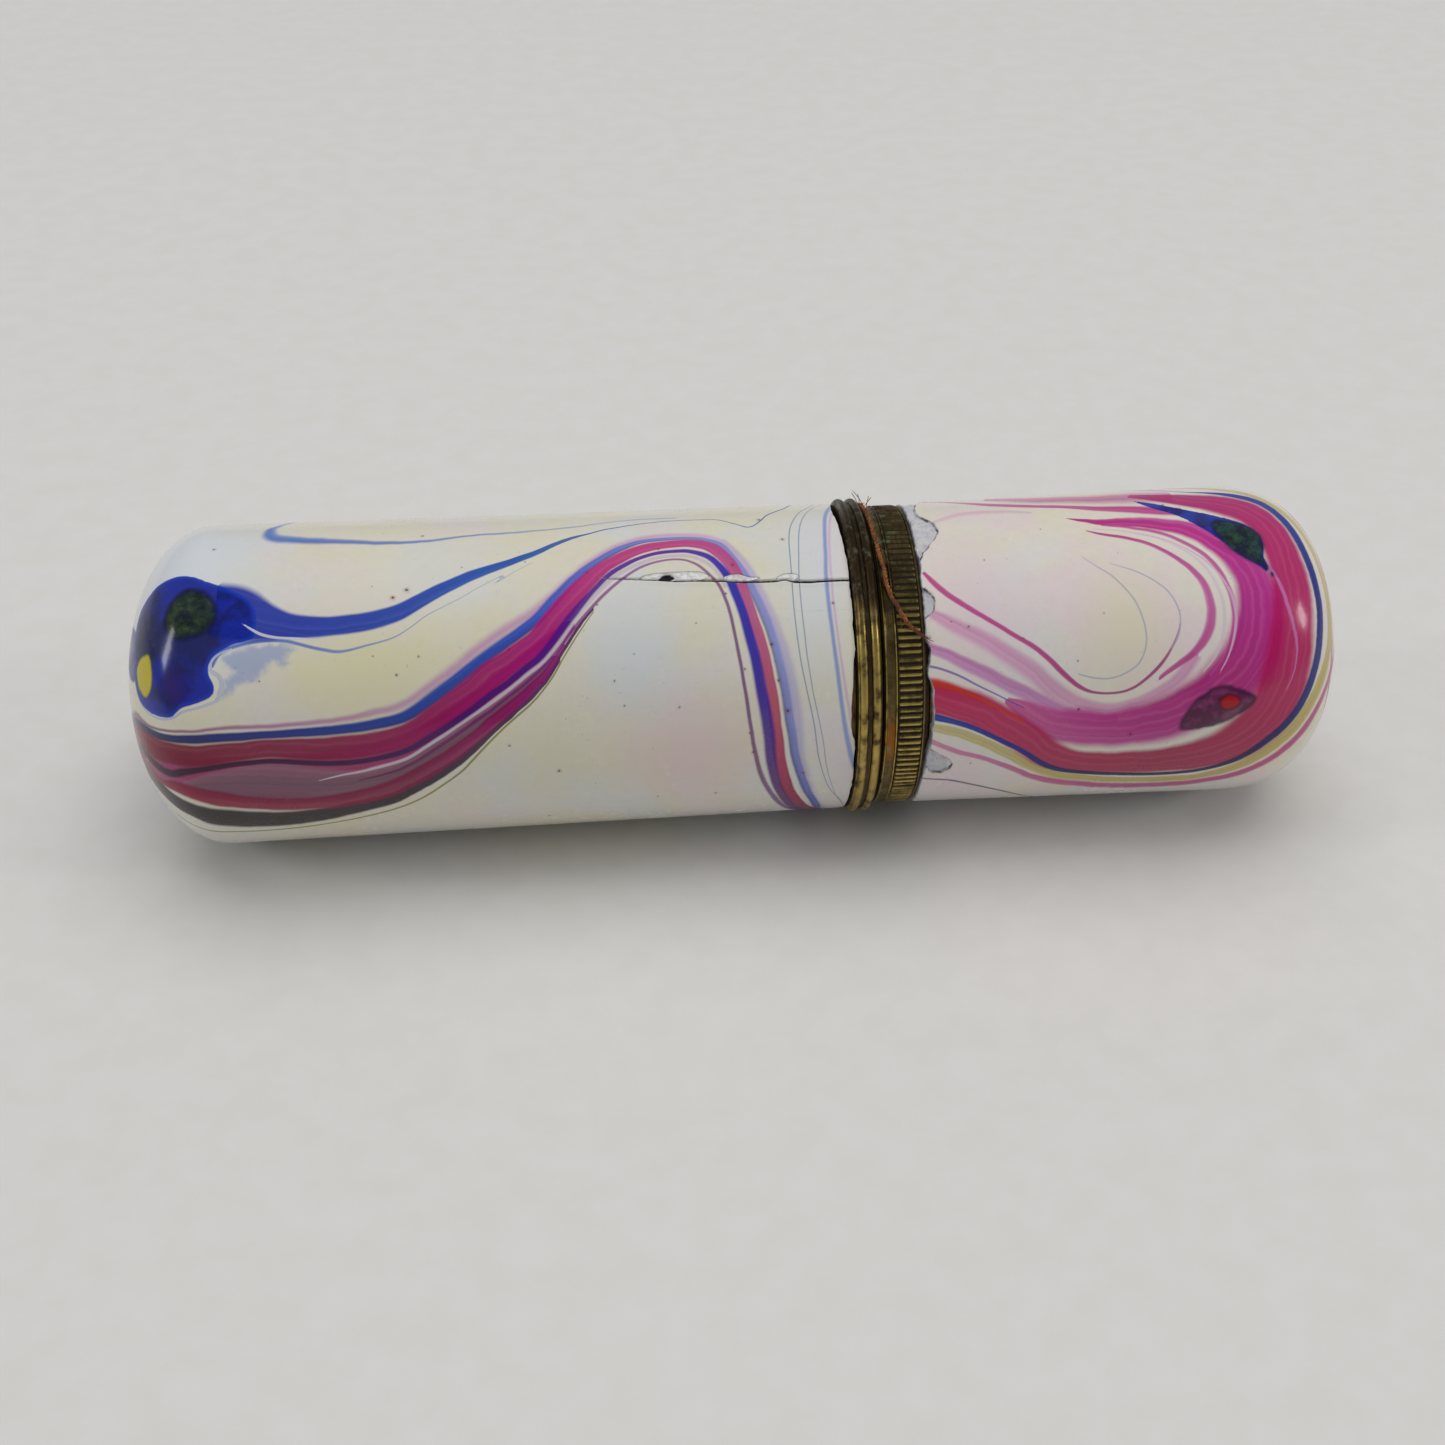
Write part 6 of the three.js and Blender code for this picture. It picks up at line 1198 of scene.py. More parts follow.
def groove_dirt(net, P, x, y, z, col, rough, metal):
    # Darker, duller and rougher where the value 'low' is high: in the grooves, the knurl hollows and the flanks that
    # meet the next part.
    g = net.attr("low", "Fac")
    dark_in_hollows = net.remap(net.math("ADD", g, net.math("MULTIPLY", net.math("SUBTRACT", net.noise(P, 2.5, 4.0), 0.5), 0.5)), 0.35, 0.75)
    col = net.mix(net.math("MULTIPLY", dark_in_hollows, 0.92), col, rgb(46, 37, 25))
    rough = net.lerp(dark_in_hollows, rough, 0.8)
    metal = net.math("MULTIPLY", metal, net.math("SUBTRACT", 1.0, net.math("MULTIPLY", dark_in_hollows, 0.8)))
    # Ridge tops are painted bright gold, fading out towards the top of the case: worn brass on the ridges, with a
    # painted highlight on the lower side.
    crest = net.remap(net.math("ADD", g, net.math("MULTIPLY", net.math("SUBTRACT", net.noise(P, 1.1, 3.0), 0.5), 0.5)), 0.16, 0.02)
    crest = net.math("MULTIPLY", crest, net.remap(net.math("SUBTRACT", z, AXIS_Z), 8.4, 6.5))
    col = net.mix(net.math("MULTIPLY", crest, 0.75), col, rgb(206, 180, 100))
    # an orange-brown stain on the plain band, low at the front
    stain = glow(net, P, (8.45, -9.2, AXIS_Z + 0.3), (0.5, 2.2, 2.2), 1.6)
    stain = net.math("MINIMUM", stain, net.remap(net.noise(P, 2.0, 3.0), 0.35, 0.55))
    stain = net.math("MULTIPLY", stain, net.remap(x, 8.80, 8.70))
    col = net.mix(stain, col, rgb(138, 88, 34))
    return col, rough, metal


m_collar = brass("brass_collar", rgb(134, 116, 70), rgb(106, 90, 54), rgb(84, 68, 44), rgb(96, 104, 76), 0.36, 9.0, up_side, groove_dirt)
m_bead = brass("brass_bead", rgb(94, 76, 50), rgb(80, 64, 42), rgb(70, 54, 38), rgb(92, 92, 70), 0.36, 7.0, up_side, groove_dirt)
m_brass = brass("brass_plain", rgb(206, 176, 104), rgb(192, 161, 92), rgb(176, 145, 82), rgb(150, 138, 84), 0.22, 14.0)
m_cupbrass = brass("brass_cup", rgb(212, 186, 118), rgb(196, 168, 100), rgb(160, 130, 76), rgb(128, 120, 80), 0.18, 10.0)
m_shell = brass("brass_shell", rgb(150, 126, 74), rgb(120, 98, 58), rgb(92, 72, 46), rgb(96, 90, 64), 0.42, 6.0)


def plain(name, lo, hi, rough, scale, metal=0.0, fibre=None, bump=0.00002):
    m, net, bsdf = material(name)
    P = net.place()
    v = P if fibre is None else net.vmath("MULTIPLY", P, fibre)
    n = net.noise(v, scale, 5.0, 0.65)
    net.feed(bsdf.inputs["Base Color"], net.mix(net.remap(n, 0.35, 0.65), lo, hi))
    net.feed(bsdf.inputs["Roughness"], net.remap(n, 0.3, 0.7, rough - 0.08, rough + 0.08))
    bsdf.inputs["Metallic"].default_value = metal
    net.feed(bsdf.inputs["Normal"], net.bump(n, 0.7, bump))
    return m


m_steel = plain("steel_worn", rgb(120, 122, 124), rgb(160, 162, 164), 0.42, 3.0, 1.0, (1.0, 0.4, 0.4))
m_fibre = plain("fibre_washer", rgb(72, 44, 28), rgb(108, 70, 46), 0.85, 4.0)
m_felt = plain("felt_band", rgb(110, 100, 88), rgb(140, 130, 116), 0.95, 7.0, 0.0, (0.5, 1.0, 1.0), 0.00006)


def lip_wax():
    m, net, bsdf = material("lip_wax")
    P = net.place()
    x, y, z = net.split(P)
    cloud = net.noise(P, 0.5, 3.0)
    # faint draw lines from the mould, along the stick
    drawn = net.noise(net.vmath("MULTIPLY", P, (0.12, 2.6, 2.6)), 2.0, 3.0, 0.6)
    bloom = net.remap(net.noise(P, 1.6, 5.0, 0.7), 0.55, 0.75)
    col = net.mix(net.remap(cloud, 0.35, 0.65), rgb(150, 18, 42), rgb(176, 26, 50))
    col = net.mix(net.math("MULTIPLY", bloom, 0.12), col, rgb(206, 120, 124))
    net.feed(bsdf.inputs["Base Color"], col)
    net.feed(bsdf.inputs["Roughness"], net.math("ADD", net.remap(drawn, 0.3, 0.7, 0.3, 0.42), net.math("MULTIPLY", bloom, 0.15)))
    bsdf.inputs["Coat Weight"].default_value = 0.15
    bsdf.inputs["Coat Roughness"].default_value = 0.25
    h = net.math("ADD", net.math("MULTIPLY", drawn, 0.8), net.math("MULTIPLY", net.noise(P, 4.0, 3.0), 0.4))
    net.feed(bsdf.inputs["Normal"], net.bump(h, 0.7, 0.00002))
    return m


m_wax = lip_wax()

# ------------------------------------------------------------------ collar and bead ring
def X(s):
    """Station from the base's end to x."""
    return 37.0 - s


KNURLS, PER = 132, 12
knurl_degs = even(KNURLS * PER)
g = np.random.default_rng(77)
ridge_wear = g.uniform(0.80, 1.0, KNURLS)
ridge_lean = g.normal(0, 0.05, KNURLS)


def knurl_height(deg, share):
    """Height over the grooves: rounded ridges, each worn its own amount."""
    t = (deg / 360.0 * KNURLS + 0.19) % KNURLS
    i = t.astype(int) % KNURLS
    f = np.abs((t - t.astype(int)) - 0.5 + ridge_lean[i])
    crest = np.clip(1 - (f / 0.44) ** 2.4, 0, 1)
    return share * ridge_wear[i] * crest


collar_profile = [(X(26.46), 8.1), (X(26.46), 8.6), (X(26.46), 9.14), (X(26.48), 9.2), (X(26.54), 9.27), (X(26.64), 9.27)]
knurl_rings = []
for k, (s, share) in enumerate([(26.65, 0.0), (26.68, 0.45), (26.74, 0.85), (26.84, 1.0), (27.1, 1.0), (27.41, 1.0), (27.72, 1.0), (27.98, 1.0), (28.08, 0.85), (28.13, 0.45), (28.16, 0.0)]):
    knurl_rings.append((len(collar_profile), share))
    collar_profile.append((X(s), 9.16))
collar_profile += [(X(28.165), 9.24)]
collar_profile += [(X(s), r) for s, r in arc(28.235, 9.27, 0.06, 0.09, 180, 0, 9)]
collar_profile += [(X(28.32), 9.245), (X(28.40), 9.232), (X(28.50), 9.226), (X(28.60), 9.226), (X(28.70), 9.232), (X(28.78), 9.245)]
collar_profile += [(X(s), r) for s, r in arc(28.855, 9.27, 0.06, 0.09, 180, 0, 9)]
collar_profile += [(X(28.94), 9.25), (X(28.97), 9.18), (X(28.98), 9.1), (X(28.98), 8.6), (X(28.98), 8.1), (X(27.7), 8.1)]
ring_share = dict(knurl_rings)


def collar_shape(xs, deg, rs, i):
    if i in ring_share:
        rs = rs + knurl_height(deg, 0.2 * ring_share[i])
    wobble = 0.006 * turn_noise(xs, deg, 61, [(9, 1.0, 1.0)]) - 0.004
    return xs, np.where(rs > 8.9, rs + wobble, rs)


collar, cv_, crings = lathe("knurled_collar_brass", collar_profile, knurl_degs, collar_shape, 50.0)
low = np.zeros(len(cv_))
rr = np.hypot(cv_[:, 1], cv_[:, 2])
for i, (a, m) in enumerate(crings):
    sl = slice(a, a + m)
    if i in ring_share:
        low[sl] = np.clip((9.335 - rr[sl]) / 0.17, 0, 1)
    elif abs(collar_profile[i][0] - X(28.165)) < 0.02 or collar_profile[i][0] > X(26.62):
        low[sl] = 0.75
    elif collar_profile[i][1] < 9.0 or collar_profile[i][0] < X(28.93):
        low[sl] = 0.6
    elif 9.22 <= collar_profile[i][1] <= 9.25:
        low[sl] = 0.28
    else:
        low[sl] = 0.05
put_scalar(collar, "low", low)
collar.data.materials.append(m_collar)

bead_profile = [(X(29.1), 8.14), (X(29.1), 8.7), (X(29.1), 9.3), (X(29.11), 9.44), (X(29.15), 9.52), (X(29.2), 9.6)]
bead_profile += [(X(s), r) for s, r in arc(29.47, 9.55, 0.27, 0.31, 168, 12, 17)]
bead_profile += [(X(29.79), 9.615), (X(29.84), 9.60), (X(29.89), 9.615)]
bead_profile += [(X(s), r) for s, r in arc(30.21, 9.55, 0.27, 0.31, 168, 12, 17)]
bead_profile += [(X(30.53), 9.58), (X(30.58), 9.5), (X(30.61), 9.3), (X(30.61), 9.1), (X(30.61), 8.86), (X(30.0), 8.86), (X(29.42), 8.86), (X(29.42), 8.5), (X(29.42), 8.14)]


def bead_shape(xs, deg, rs, i):
    nick = 0.008 * turn_noise(xs * 0.5, deg, 71, [(14, 1.5, 1.0)]) - 0.006
    return xs, np.where(rs > 9.3, rs + nick, rs)


bead, bv_, brings = lathe("bead_ring_brass", bead_profile, even(360), bead_shape, 50.0)
low = np.zeros(len(bv_))
for i, (a, m) in enumerate(brings):
    px, pr = bead_profile[i]
    low[a : a + m] = 0.75 if pr < 9.4 else (0.5 if abs(px - X(29.84)) < 0.06 else (0.55 if px > X(29.17) or px < X(30.55) else (0.22 if abs(px - X(29.84)) < 0.12 else 0.06)))
put_scalar(bead, "low", low)
bead.data.materials.append(m_bead)


# ------------------------------------------------------------------ shells, sleeves and what they hold
def dome_list(radius, depth, power, station, way, flat, steps):
    """(station, r) points of a rounded end, from the axis out; way +1 where stations grow inwards."""
    return [(station, 0.0)] + [(s, r) for s, r in end_points(radius, depth, power, station, way, flat, steps) if r > 0]


def turned(name, outline, n=96, smooth=38.0, shape=None):
    ob, v, r = lathe(name, [(X(s), rr_) for s, rr_ in outline], even(n), shape, smooth)
    return ob


cap_shell = turned("cap_shell_brass", dome_list(8.8, 4.95, 2.05, 73.22, -1, 2.7, 16) + [(60.0, 8.8), (45.0, 8.8), (30.0, 8.8), (29.52, 8.79), (29.5, 8.76), (29.5, 8.54), (29.52, 8.5), (30.0, 8.5), (45.0, 8.5), (60.0, 8.5)] + dome_list(8.5, 4.65, 2.05, 72.92, -1, 2.4, 16)[::-1], 128)
cap_shell.data.materials.append(m_shell)
base_shell = turned("base_shell_brass", dome_list(8.7, 6.55, 2.7, 0.78, 1, 2.7, 16) + [(16.0, 8.7), (26.0, 8.7), (26.13, 8.69), (26.15, 8.66), (26.15, 8.44), (26.13, 8.4), (26.0, 8.4), (16.0, 8.4)] + dome_list(8.4, 6.25, 2.7, 1.08, 1, 2.4, 16)[::-1], 128)
base_shell.data.materials.append(m_shell)
sleeve = turned("outer_sleeve_brass", [(22.0, 7.75), (22.0, 7.99), (22.03, 8.02), (29.0, 8.02), (36.0, 8.02), (43.0, 8.02), (49.6, 8.02), (50.05, 8.015), (50.3, 7.95), (50.44, 7.82), (50.5, 7.66), (50.5, 7.3), (50.48, 7.14), (50.4, 7.1), (50.25, 7.1), (50.17, 7.14), (50.15, 7.2), (50.15, 7.6), (50.1, 7.7), (50.0, 7.72), (43.0, 7.72), (36.0, 7.72), (29.0, 7.72)], 160)
sleeve.data.materials.append(m_brass)
weight = turned("base_weight_steel", [(7.0, 1.0), (7.0, 8.1), (7.2, 8.32), (14.3, 8.32), (14.5, 8.1), (14.5, 1.0), (14.3, 1.0), (7.2, 1.0)], 96)
weight.data.materials.append(m_steel)
washer = turned("thrust_washer_fibre", [(26.2, 8.12), (26.2, 8.62), (26.23, 8.66), (26.39, 8.66), (26.42, 8.62), (26.42, 8.12)], 96)
washer.data.materials.append(m_fibre)


def felt_shape(xs, deg, rs, i):
    fuzz = 0.02 * turn_noise(xs * 3, deg, 91, [(60, 4.0, 1.0)])
    return xs, np.where(rs > 8.25, np.minimum(rs + fuzz - 0.02, 8.36), rs)


band = turned("brake_band_felt", [(22.4, 8.1), (22.4, 8.28), (22.46, 8.34)] + [(s, 8.35) for s in np.linspace(22.6, 25.2, 12)] + [(25.34, 8.34), (25.4, 8.28), (25.4, 8.1), (24.0, 8.1)], 180, 38.0, felt_shape)
band.data.materials.append(m_felt)


# A tube or cup whose wall is cut through: made as a grid of angle against length, with the
# cells inside the cut left out and the cut's walls closed.
def cut_tube(name, r_in, r_out, stations, degs, hole, caps=None, bevel=0.03):
    st = np.asarray(stations, float)
    dg = np.asarray(degs, float)
    ns, nd = len(st), len(dg)
    keep = np.array([[not hole(0.5 * (st[i] + st[i + 1]), dg[j] + 0.5 * ((dg[(j + 1) % nd] - dg[j]) % 360)) for j in range(nd)] for i in range(ns - 1)])
    grid_o = on(X(st)[:, None] + 0 * dg[None], dg[None] + 0 * st[:, None], r_out).reshape(-1, 3)
    grid_i = on(X(st)[:, None] + 0 * dg[None], dg[None] + 0 * st[:, None], r_in).reshape(-1, 3)
    v = np.concatenate([grid_o, grid_i])
    off = ns * nd
    q = []
    at = lambda i, j: i * nd + (j % nd)
    for i in range(ns - 1):
        for j in range(nd):
            if not keep[i, j]:
                continue
            a, b, c, e = at(i, j), at(i, j + 1), at(i + 1, j + 1), at(i + 1, j)
            q.append((a, e, c, b))
            q.append((a + off, b + off, c + off, e + off))
            if i == 0 or not keep[i - 1, j]:
                q.append((a, b, b + off, a + off))
            if i == ns - 2 or not keep[i + 1, j]:
                q.append((e, e + off, c + off, c))
            if not keep[i, (j - 1) % nd]:
                q.append((a, a + off, e + off, e))
            if not keep[i, (j + 1) % nd]:
                q.append((b, c, c + off, b + off))
    q = np.array(q)
    used = np.unique(q)
    remap = np.full(len(v), -1)
    remap[used] = np.arange(len(used))
    v, q = v[used], remap[q]
    if volume(v, q) < 0:
        q = q[:, ::-1]
    return fast_mesh(name, v, q, 32.0)


def side(deg, mid):
    return (np.asarray(deg) - mid + 180) % 360 - 180


# slotted tube with its round flange: straight slots on the +Y and -Y sides (0 and 180 degrees)
half_deg = math.degrees(math.asin(1.05 / 6.75))
tube_degs = np.unique(np.round(np.concatenate([np.arange(0, 360, 3.0)] + [m + np.array([-1, 1]) * half_deg for m in (0, 180)]) % 360, 4))
tube_degs = np.array([d for d in tube_degs if min(abs(abs(side(d, m)) - half_deg) for m in (0, 180)) > 0.8 or min(abs(abs(side(d, m)) - half_deg) for m in (0, 180)) < 1e-3])


def slot_hole(s, d):
    return any(abs(side(d, m)) < half_deg for m in (0, 180)) and 17.7 < s < 39.9


tube = cut_tube("slotted_tube_brass", 6.55, 6.95, np.concatenate([[15.3, 15.5, 16.5, 17.7], np.linspace(18.5, 39.1, 14), [39.9, 41.0, 44.0, 47.0, 49.8, 49.9]]), tube_degs, slot_hole)
tube.data.materials.append(m_cupbrass)
flange = turned("tube_flange_brass", [(14.9, 1.0), (14.9, 8.1), (14.94, 8.2), (15.26, 8.2), (15.3, 8.1), (15.3, 1.0)], 96)
flange.data.materials.append(m_cupbrass)
flange.parent = tube

# carrier cup: a finely rolled cup with a floor, beading at its rim and a skirt below
cup_outer = [(20.5, 0.0), (20.5, 3.0), (20.5, 5.7), (20.46, 5.82), (20.3, 5.86), (18.8, 5.86), (17.36, 5.86), (17.3, 5.9), (17.3, 6.4), (17.34, 6.45), (18.8, 6.45), (20.4, 6.45), (24.0, 6.45), (26.6, 6.45), (26.75, 6.44), (26.85, 6.41), (26.95, 6.40), (27.05, 6.41), (27.15, 6.44), (27.3, 6.45), (28.0, 6.45), (28.18, 6.44), (28.27, 6.39), (28.3, 6.3), (28.28, 6.2), (28.2, 6.13), (28.05, 6.12), (26.0, 6.12), (23.0, 6.12), (21.15, 6.12), (21.03, 6.08), (21.0, 5.98), (21.0, 3.0), (21.0, 0.0)]
cup = turned("carrier_cup_brass", cup_outer, 160)
cup.data.materials.append(m_cupbrass)

# lug pins: a shouldered pin, turned about a radius of the case
def pin(name, sign):
    prof = [(5.1, 0.0), (5.1, 0.9), (5.12, 1.22), (5.18, 1.3), (5.52, 1.3), (5.58, 1.26), (5.6, 1.18), (5.6, 0.9), (7.5, 0.9), (7.57, 0.86), (7.6, 0.78), (7.6, 0.4), (7.6, 0.0)]
    n = 32
    v, rings, at = [], [], 0
    a = np.radians(even(n))
    for d_, r_ in prof:
        if r_ == 0:
            v.append(np.array([[X(18.8), sign * d_, 0.0]]))
            rings.append((at, 1))
            at += 1
        else:
            v.append(np.stack([X(18.8) + r_ * np.cos(a), np.full(n, sign * d_), r_ * np.sin(a)], 1))
            rings.append((at, n))
            at += n
    v = np.concatenate(v)
    q = ring_faces(rings, n, False)
    if volume(v, q) < 0:
        q = flip(q)
    ob = fast_mesh(name, v, q, 38.0)
    ob.data.materials.append(m_steel)
    return ob


pin_front, pin_back = pin("lug_pin_front_steel", -1), pin("lug_pin_back_steel", 1)

# the stick: a moulded rod whose top is cut on a slant, with a rounded nose
stick_n = 144
prof = [(21.1, 0.0), (21.1, 3.0), (21.1, 5.9), (21.2, 6.03)] + [(s, 6.03) for s in np.linspace(22.5, 45.5, 20)] + [(s, r) for s, r in [(46.0, 6.02), (46.5, 5.93), (47.0, 5.78), (47.4, 5.62), (47.8, 5.3), (48.1, 4.85), (48.3, 4.3), (48.45, 3.6), (48.54, 2.8), (48.59, 1.8), (48.6, 0.8), (48.6, 0.0)]]


def slanted(v):
    """Everything over the slanted cut is brought down to it, with a softly rounded edge."""
    s = 37.0 - v[:, 0]
    top = 45.2 - v[:, 2] * math.tan(0.62)
    k = 0.16
    low = -k * np.log(np.exp(-s / k) + np.exp(-top / k))
    keep = s < 40
    out = v.copy()
    out[:, 0] = np.where(keep, v[:, 0], 37.0 - np.where(np.isfinite(low), low, s))
    return out


vs, rings, at = [], [], 0
dg = even(stick_n)
dense = []
for (s0, r0), (s1, r1) in zip(prof[:-1], prof[1:]):
    if s0 > 40 and r0 > 0 and abs(s1 - s0) > 0.6:
        dense += [(s0 + (s1 - s0) * t, r0 + (r1 - r0) * t) for t in np.linspace(0, 1, 5)[:-1]]
    else:
        dense.append((s0, r0))
dense.append(prof[-1])
# rings across the cut face itself, so that it is flat and even
for s_, r_ in dense:
    m = 1 if r_ == 0 else stick_n
    vs.append(on(np.full(m, X(s_)), dg if m > 1 else np.array([0.0]), np.full(m, float(r_))))
    rings.append((at, m))
    at += m
vs = slanted(np.concatenate(vs))
q = ring_faces(rings, stick_n, False)
if volume(vs, q) < 0:
    q = flip(q)
stick = fast_mesh("lipstick_wax", vs, q, 42.0)
stick.data.materials.append(m_wax)


# a C-shaped liner in the cap: a thin spring sleeve with a slit
def liner_hole(s, d):
    return abs(side(d, 90)) < 4.15


liner_degs = np.unique(np.round(np.concatenate([np.arange(0, 360, 3.0), [90 - 4.15, 90 + 4.15]]), 3))
liner = cut_tube("cap_liner_brass", 8.12, 8.42, [29.6, 29.7, 34.0, 39.0, 44.0, 49.3, 49.4], liner_degs, liner_hole)
liner.data.materials.append(m_brass)

# retaining ring: a spring wire ring with a gap
ring_degs = np.unique(np.round(np.concatenate([np.arange(0, 360, 3.0), [264.0, 276.0]]), 3))
rring = cut_tube("retaining_ring_steel", 7.02, 7.58, [49.12, 49.2, 49.4, 49.6, 49.68], ring_degs, lambda s, d: abs(side(d, 270)) < 6)
rring.data.materials.append(m_steel)

for node, m in (("spiral_sleeve", m_cupbrass), ("tube_rivet", m_steel), ("brake_band", m_felt), ("thrust_washer", m_fibre), ("base_weight", m_steel)):
    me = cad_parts[node].data
    me.materials.clear()
    me.materials.append(m)

# ------------------------------------------------------------------ a snagged thread round the collar
def strand(name, path, radius, sides=6, taper=0.25):
    p = np.asarray(path, float)
    t = np.gradient(p, axis=0)
    t /= np.linalg.norm(t, axis=1)[:, None] + 1e-12
    ref = np.array([1.0, 0.0, 0.0])
    rings_, v = [], []
    a = np.radians(even(sides))
    nrm = None
    for i in range(len(p)):
        if nrm is None:
            nrm = np.cross(t[i], ref)
        nrm = nrm - t[i] * (nrm @ t[i])
        nrm /= np.linalg.norm(nrm) + 1e-12
        bi = np.cross(t[i], nrm)
        u = i / (len(p) - 1)
        r = radius * min(1.0, taper + 6 * u, taper + 6 * (1 - u))
        v.append(p[i] + r * (np.cos(a)[:, None] * nrm + np.sin(a)[:, None] * bi))
        rings_.append((i * sides, sides))
    v = np.concatenate(v)
    n = len(v)
    v = np.vstack([p[0], v, p[-1]])
    rr_ = [(0, 1)] + [(1 + a_, m_) for a_, m_ in rings_] + [(n + 1, 1)]
    q_ = ring_faces(rr_, sides, False)
    if volume(v, q_) < 0:
        q_ = flip(q_)
    return v, q_


def thread():
    g = np.random.default_rng(5)
    way = np.array([(8.02, 126), (8.06, 119), (8.1, 112), (8.13, 103), (8.15, 95), (8.2, 85), (8.3, 75), (8.45, 68), (8.5, 62), (8.7, 57), (9.0, 53), (9.3, 49), (9.6, 46), (10.1, 43), (10.42, 41.5)], float)
    q = np.vstack([2 * way[0] - way[1], way, 2 * way[-1] - way[-2]])
    pts = []
    for i in range(1, len(q) - 2):
        t = np.linspace(0, 1, 22, endpoint=False)[:, None]
        a, b, c, d_ = q[i - 1], q[i], q[i + 1], q[i + 2]
        pts.append(0.5 * (2 * b + (c - a) * t + (2 * a - 5 * b + 4 * c - d_) * t**2 + (3 * b - a - 3 * c + d_) * t**3))
    pts = np.concatenate(pts)
    lift = 9.30 + 0.16 + 0.03 * np.sin(np.arange(len(pts)) * 0.21) + 0.08 * smoothstep(8.6, 9.2, pts[:, 0])
    mid = on(pts[:, 0], pts[:, 1], lift)
    seg = np.concatenate([[0], np.cumsum(np.linalg.norm(np.diff(mid, axis=0), axis=1))])
    m = int(seg[-1] / 0.05)
    s = np.linspace(0, seg[-1], m)
    mid = np.stack([np.interp(s, seg, mid[:, i]) for i in range(3)], 1)
    t = np.gradient(mid, axis=0)
    t /= np.linalg.norm(t, axis=1)[:, None]
    out = np.stack([0 * s, mid[:, 1], mid[:, 2]], 1)
    out /= np.linalg.norm(out, axis=1)[:, None]
    out -= t * (out * t).sum(1)[:, None]
    out /= np.linalg.norm(out, axis=1)[:, None]
    bi = np.cross(t, out)
    V_, Q_, at_ = [], [], 0

    def addstrand(path, radius, sides=6, taper=0.3):
        nonlocal at_
        v, q_ = strand("s", path, radius, sides, taper)
        V_.append(v)
        Q_.append(q_ + at_)
        at_ += len(v)

    for k in range(3):
        ph = s / 0.75 * 2 * math.pi + k * 2 * math.pi / 3
        wob = 0.068 + 0.012 * np.sin(s * 3 + k)
        for j in range(3):
            sub = ph * 1.0 + 0.0
            ph2 = -s / 0.42 * 2 * math.pi + j * 2 * math.pi / 3
            off = (wob * np.cos(sub) + 0.034 * np.cos(ph2))[:, None] * out + (wob * np.sin(sub) + 0.034 * np.sin(ph2))[:, None] * bi
            addstrand(mid + off, 0.038, 6)
    # loose fibres along the thread, and hairs that stand off it
    for k in range(46):
        i = int(g.integers(4, m - 24))
        n_ = int(g.integers(8, 22))
        base_ = mid[i : i + n_] + out[i : i + n_] * g.uniform(0.05, 0.11)
        u = np.linspace(0, 1, len(base_))[:, None]
        d1 = bi[i] * g.normal(0, 0.28) + out[i] * abs(g.normal(0, 0.16))
        addstrand(base_ + d1 * u**1.6, 0.009, 4, 0.6)
    hairs = [(112, 0.75, -0.5), (104, 0.6, 0.35), (98, 0.5, 0.8), (92, 0.45, -0.4), (118, 0.7, 0.1), (87, 0.35, 0.5), (124, 0.6, -0.3), (80, 0.3, 0.4), (108, 0.4, 0.9), (100, 0.7, -0.2)]
    for a_, length, lean in hairs:
        i = int(np.argmin(np.abs(np.degrees(np.arctan2(mid[:, 2], -mid[:, 1])) - a_)))
        u = np.linspace(0, 1, 14)[:, None]
        curl = g.normal(0, 0.25, 3)
        path = mid[i] + out[i] * (0.08 + length * u) + np.array([lean, 0, 0]) * u**1.5 * length + curl * u**2 * 0.6 + np.array([0, 0.35, 0]) * u**2 * length * g.choice([-1, 1])
        addstrand(path, 0.022, 5, 0.5)
    # the frayed end by the rim of the base
    for k in range(9):
        u = np.linspace(0, 1, 10)[:, None]
        fan = np.array([g.uniform(0.05, 0.3), 0, 0]) + bi[-1] * g.normal(0, 0.12) + out[-1] * g.uniform(-0.06, 0.06) + t[-1] * g.uniform(0.15, 0.45)
        addstrand(mid[-1] + bi[-1] * g.normal(0, 0.05) + fan * u - out[-1] * 0.05 * u**2, 0.014, 4, 0.5)
    v = np.concatenate(V_)
    q_ = np.concatenate(Q_)
    return fast_mesh("snagged_thread", v, q_, 60.0)


thread_ob = thread()
m_thread, net, bsdf = material("thread_dyed")
P = net.place()
fib = net.noise(P, 6.0, 4.0, 0.6)
tone = net.noise(P, 0.8, 2.0)
col = net.ramp(fib, [(0.3, rgb(92, 52, 24)), (0.5, rgb(148, 88, 40)), (0.7, rgb(190, 126, 66))])
col = net.mix(net.remap(tone, 0.45, 0.65), col, rgb(104, 62, 40))
net.feed(bsdf.inputs["Base Color"], col)
net.feed(bsdf.inputs["Roughness"], net.remap(fib, 0.3, 0.7, 0.75, 0.95))
bsdf.inputs["Sheen Weight"].default_value = 0.15
net.feed(bsdf.inputs["Normal"], net.bump(fib, 0.6, 0.00003))
thread_ob.data.materials.append(m_thread)

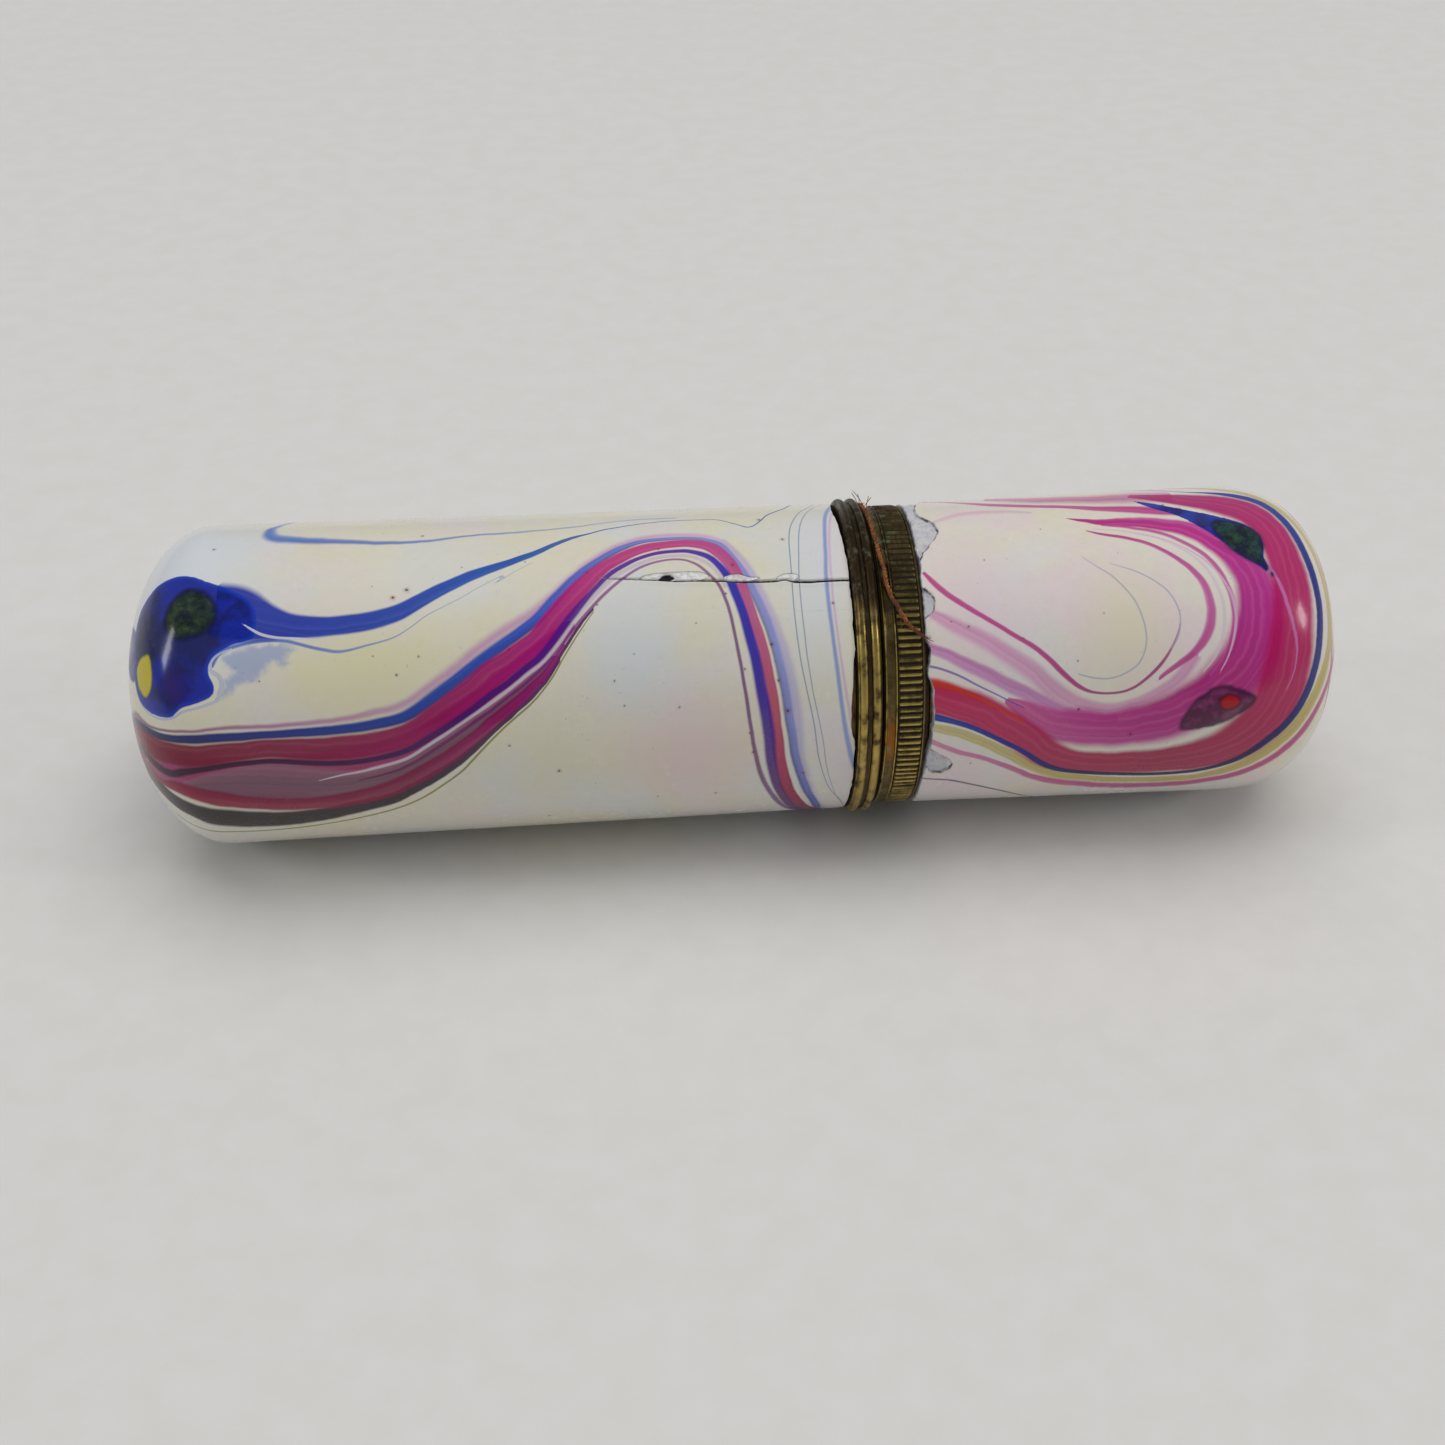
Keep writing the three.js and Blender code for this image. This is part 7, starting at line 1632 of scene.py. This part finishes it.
# ------------------------------------------------------------------ what each piece stands for
for ob, body, node, slot_name in (
    (base, "base", "base_coating", "marbled_base"),
    (base_shell, "base", "base_shell", "old_brass"),
    (tube, "base", "slotted_tube", "brass"),
    (weight, "base", "base_weight", "steel"),
    (rring, "base", "retaining_ring", "steel"),
    (band, "base", "brake_band", "felt"),
    (washer, "base", "thrust_washer", "fibre_washer"),
    (collar, "swivel", "knurled_collar", "old_brass"),
    (sleeve, "swivel", "outer_sleeve", "brass"),
    (thread_ob, "swivel", None, "felt"),
    (cup, "carrier", "carrier_cup", "brass"),
    (pin_front, "carrier", "lug_pin_front", "steel"),
    (pin_back, "carrier", "lug_pin_back", "steel"),
    (stick, "carrier", "lipstick_stick", "lip_colour"),
    (cap, "cap", "cap_coating", "marbled_cap"),
    (cap_shell, "cap", "cap_shell", "old_brass"),
    (bead, "cap", "bead_ring", "old_brass"),
    (liner, "cap", "cap_liner", "brass"),
):
    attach(ob, body)
    if node:
        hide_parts(node)

# ------------------------------------------------------------------ floor, lights, camera
floor_me = bpy.data.meshes.new("floor")
s_ = 3.0
floor_me.from_pydata([(-s_, -s_, -0.00005), (s_, -s_, -0.00005), (s_, s_, -0.00005), (-s_, s_, -0.00005)], [], [(0, 1, 2, 3)])
floor = bpy.data.objects.new("floor", floor_me)
bpy.context.scene.collection.objects.link(floor)
m_floor, net, bsdf = material("floor_pale")
P = net.place()
n1 = net.noise(P, 0.4, 3.0)
net.feed(bsdf.inputs["Base Color"], net.mix(net.remap(n1, 0.3, 0.7), rgb(226, 224, 220), rgb(229, 227, 224)))
bsdf.inputs["Roughness"].default_value = 0.7
net.feed(bsdf.inputs["Normal"], net.bump(net.noise(P, 1.5, 4.0), 0.15, 0.00003))
floor_me.materials.append(m_floor)

scene = bpy.context.scene
world = bpy.data.worlds.new("studio")
world.use_nodes = True
world.node_tree.nodes["Background"].inputs[0].default_value = (0.83, 0.87, 0.93, 1)
world.node_tree.nodes["Background"].inputs[1].default_value = 0.30
scene.world = world


def lamp(name, pos, look, size, size_y, watts, colour=(1, 1, 1)):
    d = bpy.data.lights.new(name, "AREA")
    d.shape = "RECTANGLE"
    d.size, d.size_y, d.energy, d.color = size, size_y, watts, colour
    ob = bpy.data.objects.new(name, d)
    ob.location = pos
    ob.rotation_euler = (Vector(look) - Vector(pos)).to_track_quat("-Z", "Y").to_euler()
    ob.visible_camera = False
    scene.collection.objects.link(ob)
    return ob


mid = (0.0, 0.0, 0.01)
sky = lamp("overhead", (0.06, 0.10, 0.85), mid, 1.0, 0.8, 4.7, (1.0, 0.985, 0.96))
sky.visible_glossy = False
lamp("window_left", (-0.62, -0.05, 0.30), mid, 0.09, 0.22, 0.55, (0.94, 0.97, 1.0))
lamp("window_right", (0.62, -0.17, 0.28), mid, 0.10, 0.14, 0.55, (1.0, 0.98, 0.95))

cam = bpy.data.cameras.new("camera")
cam.lens, cam.sensor_width, cam.clip_start = 49.4533, 36, 0.005
cam_ob = bpy.data.objects.new("camera", cam)
right, upv = Vector((0.996864, -0.079137, 0.0)), Vector((0.048721, 0.613731, 0.788011))
back = right.cross(upv)
cam_ob.matrix_world = Matrix.Translation(Vector((-8.8583, -100.695, 83.8201)) * MM) @ Matrix((right, upv, back)).transposed().to_4x4()
scene.collection.objects.link(cam_ob)
scene.camera = cam_ob
scene.view_settings.view_transform = "Standard"
scene.view_settings.look = "None"
scene.view_settings.exposure = 0.0
scene.view_settings.gamma = 1.0
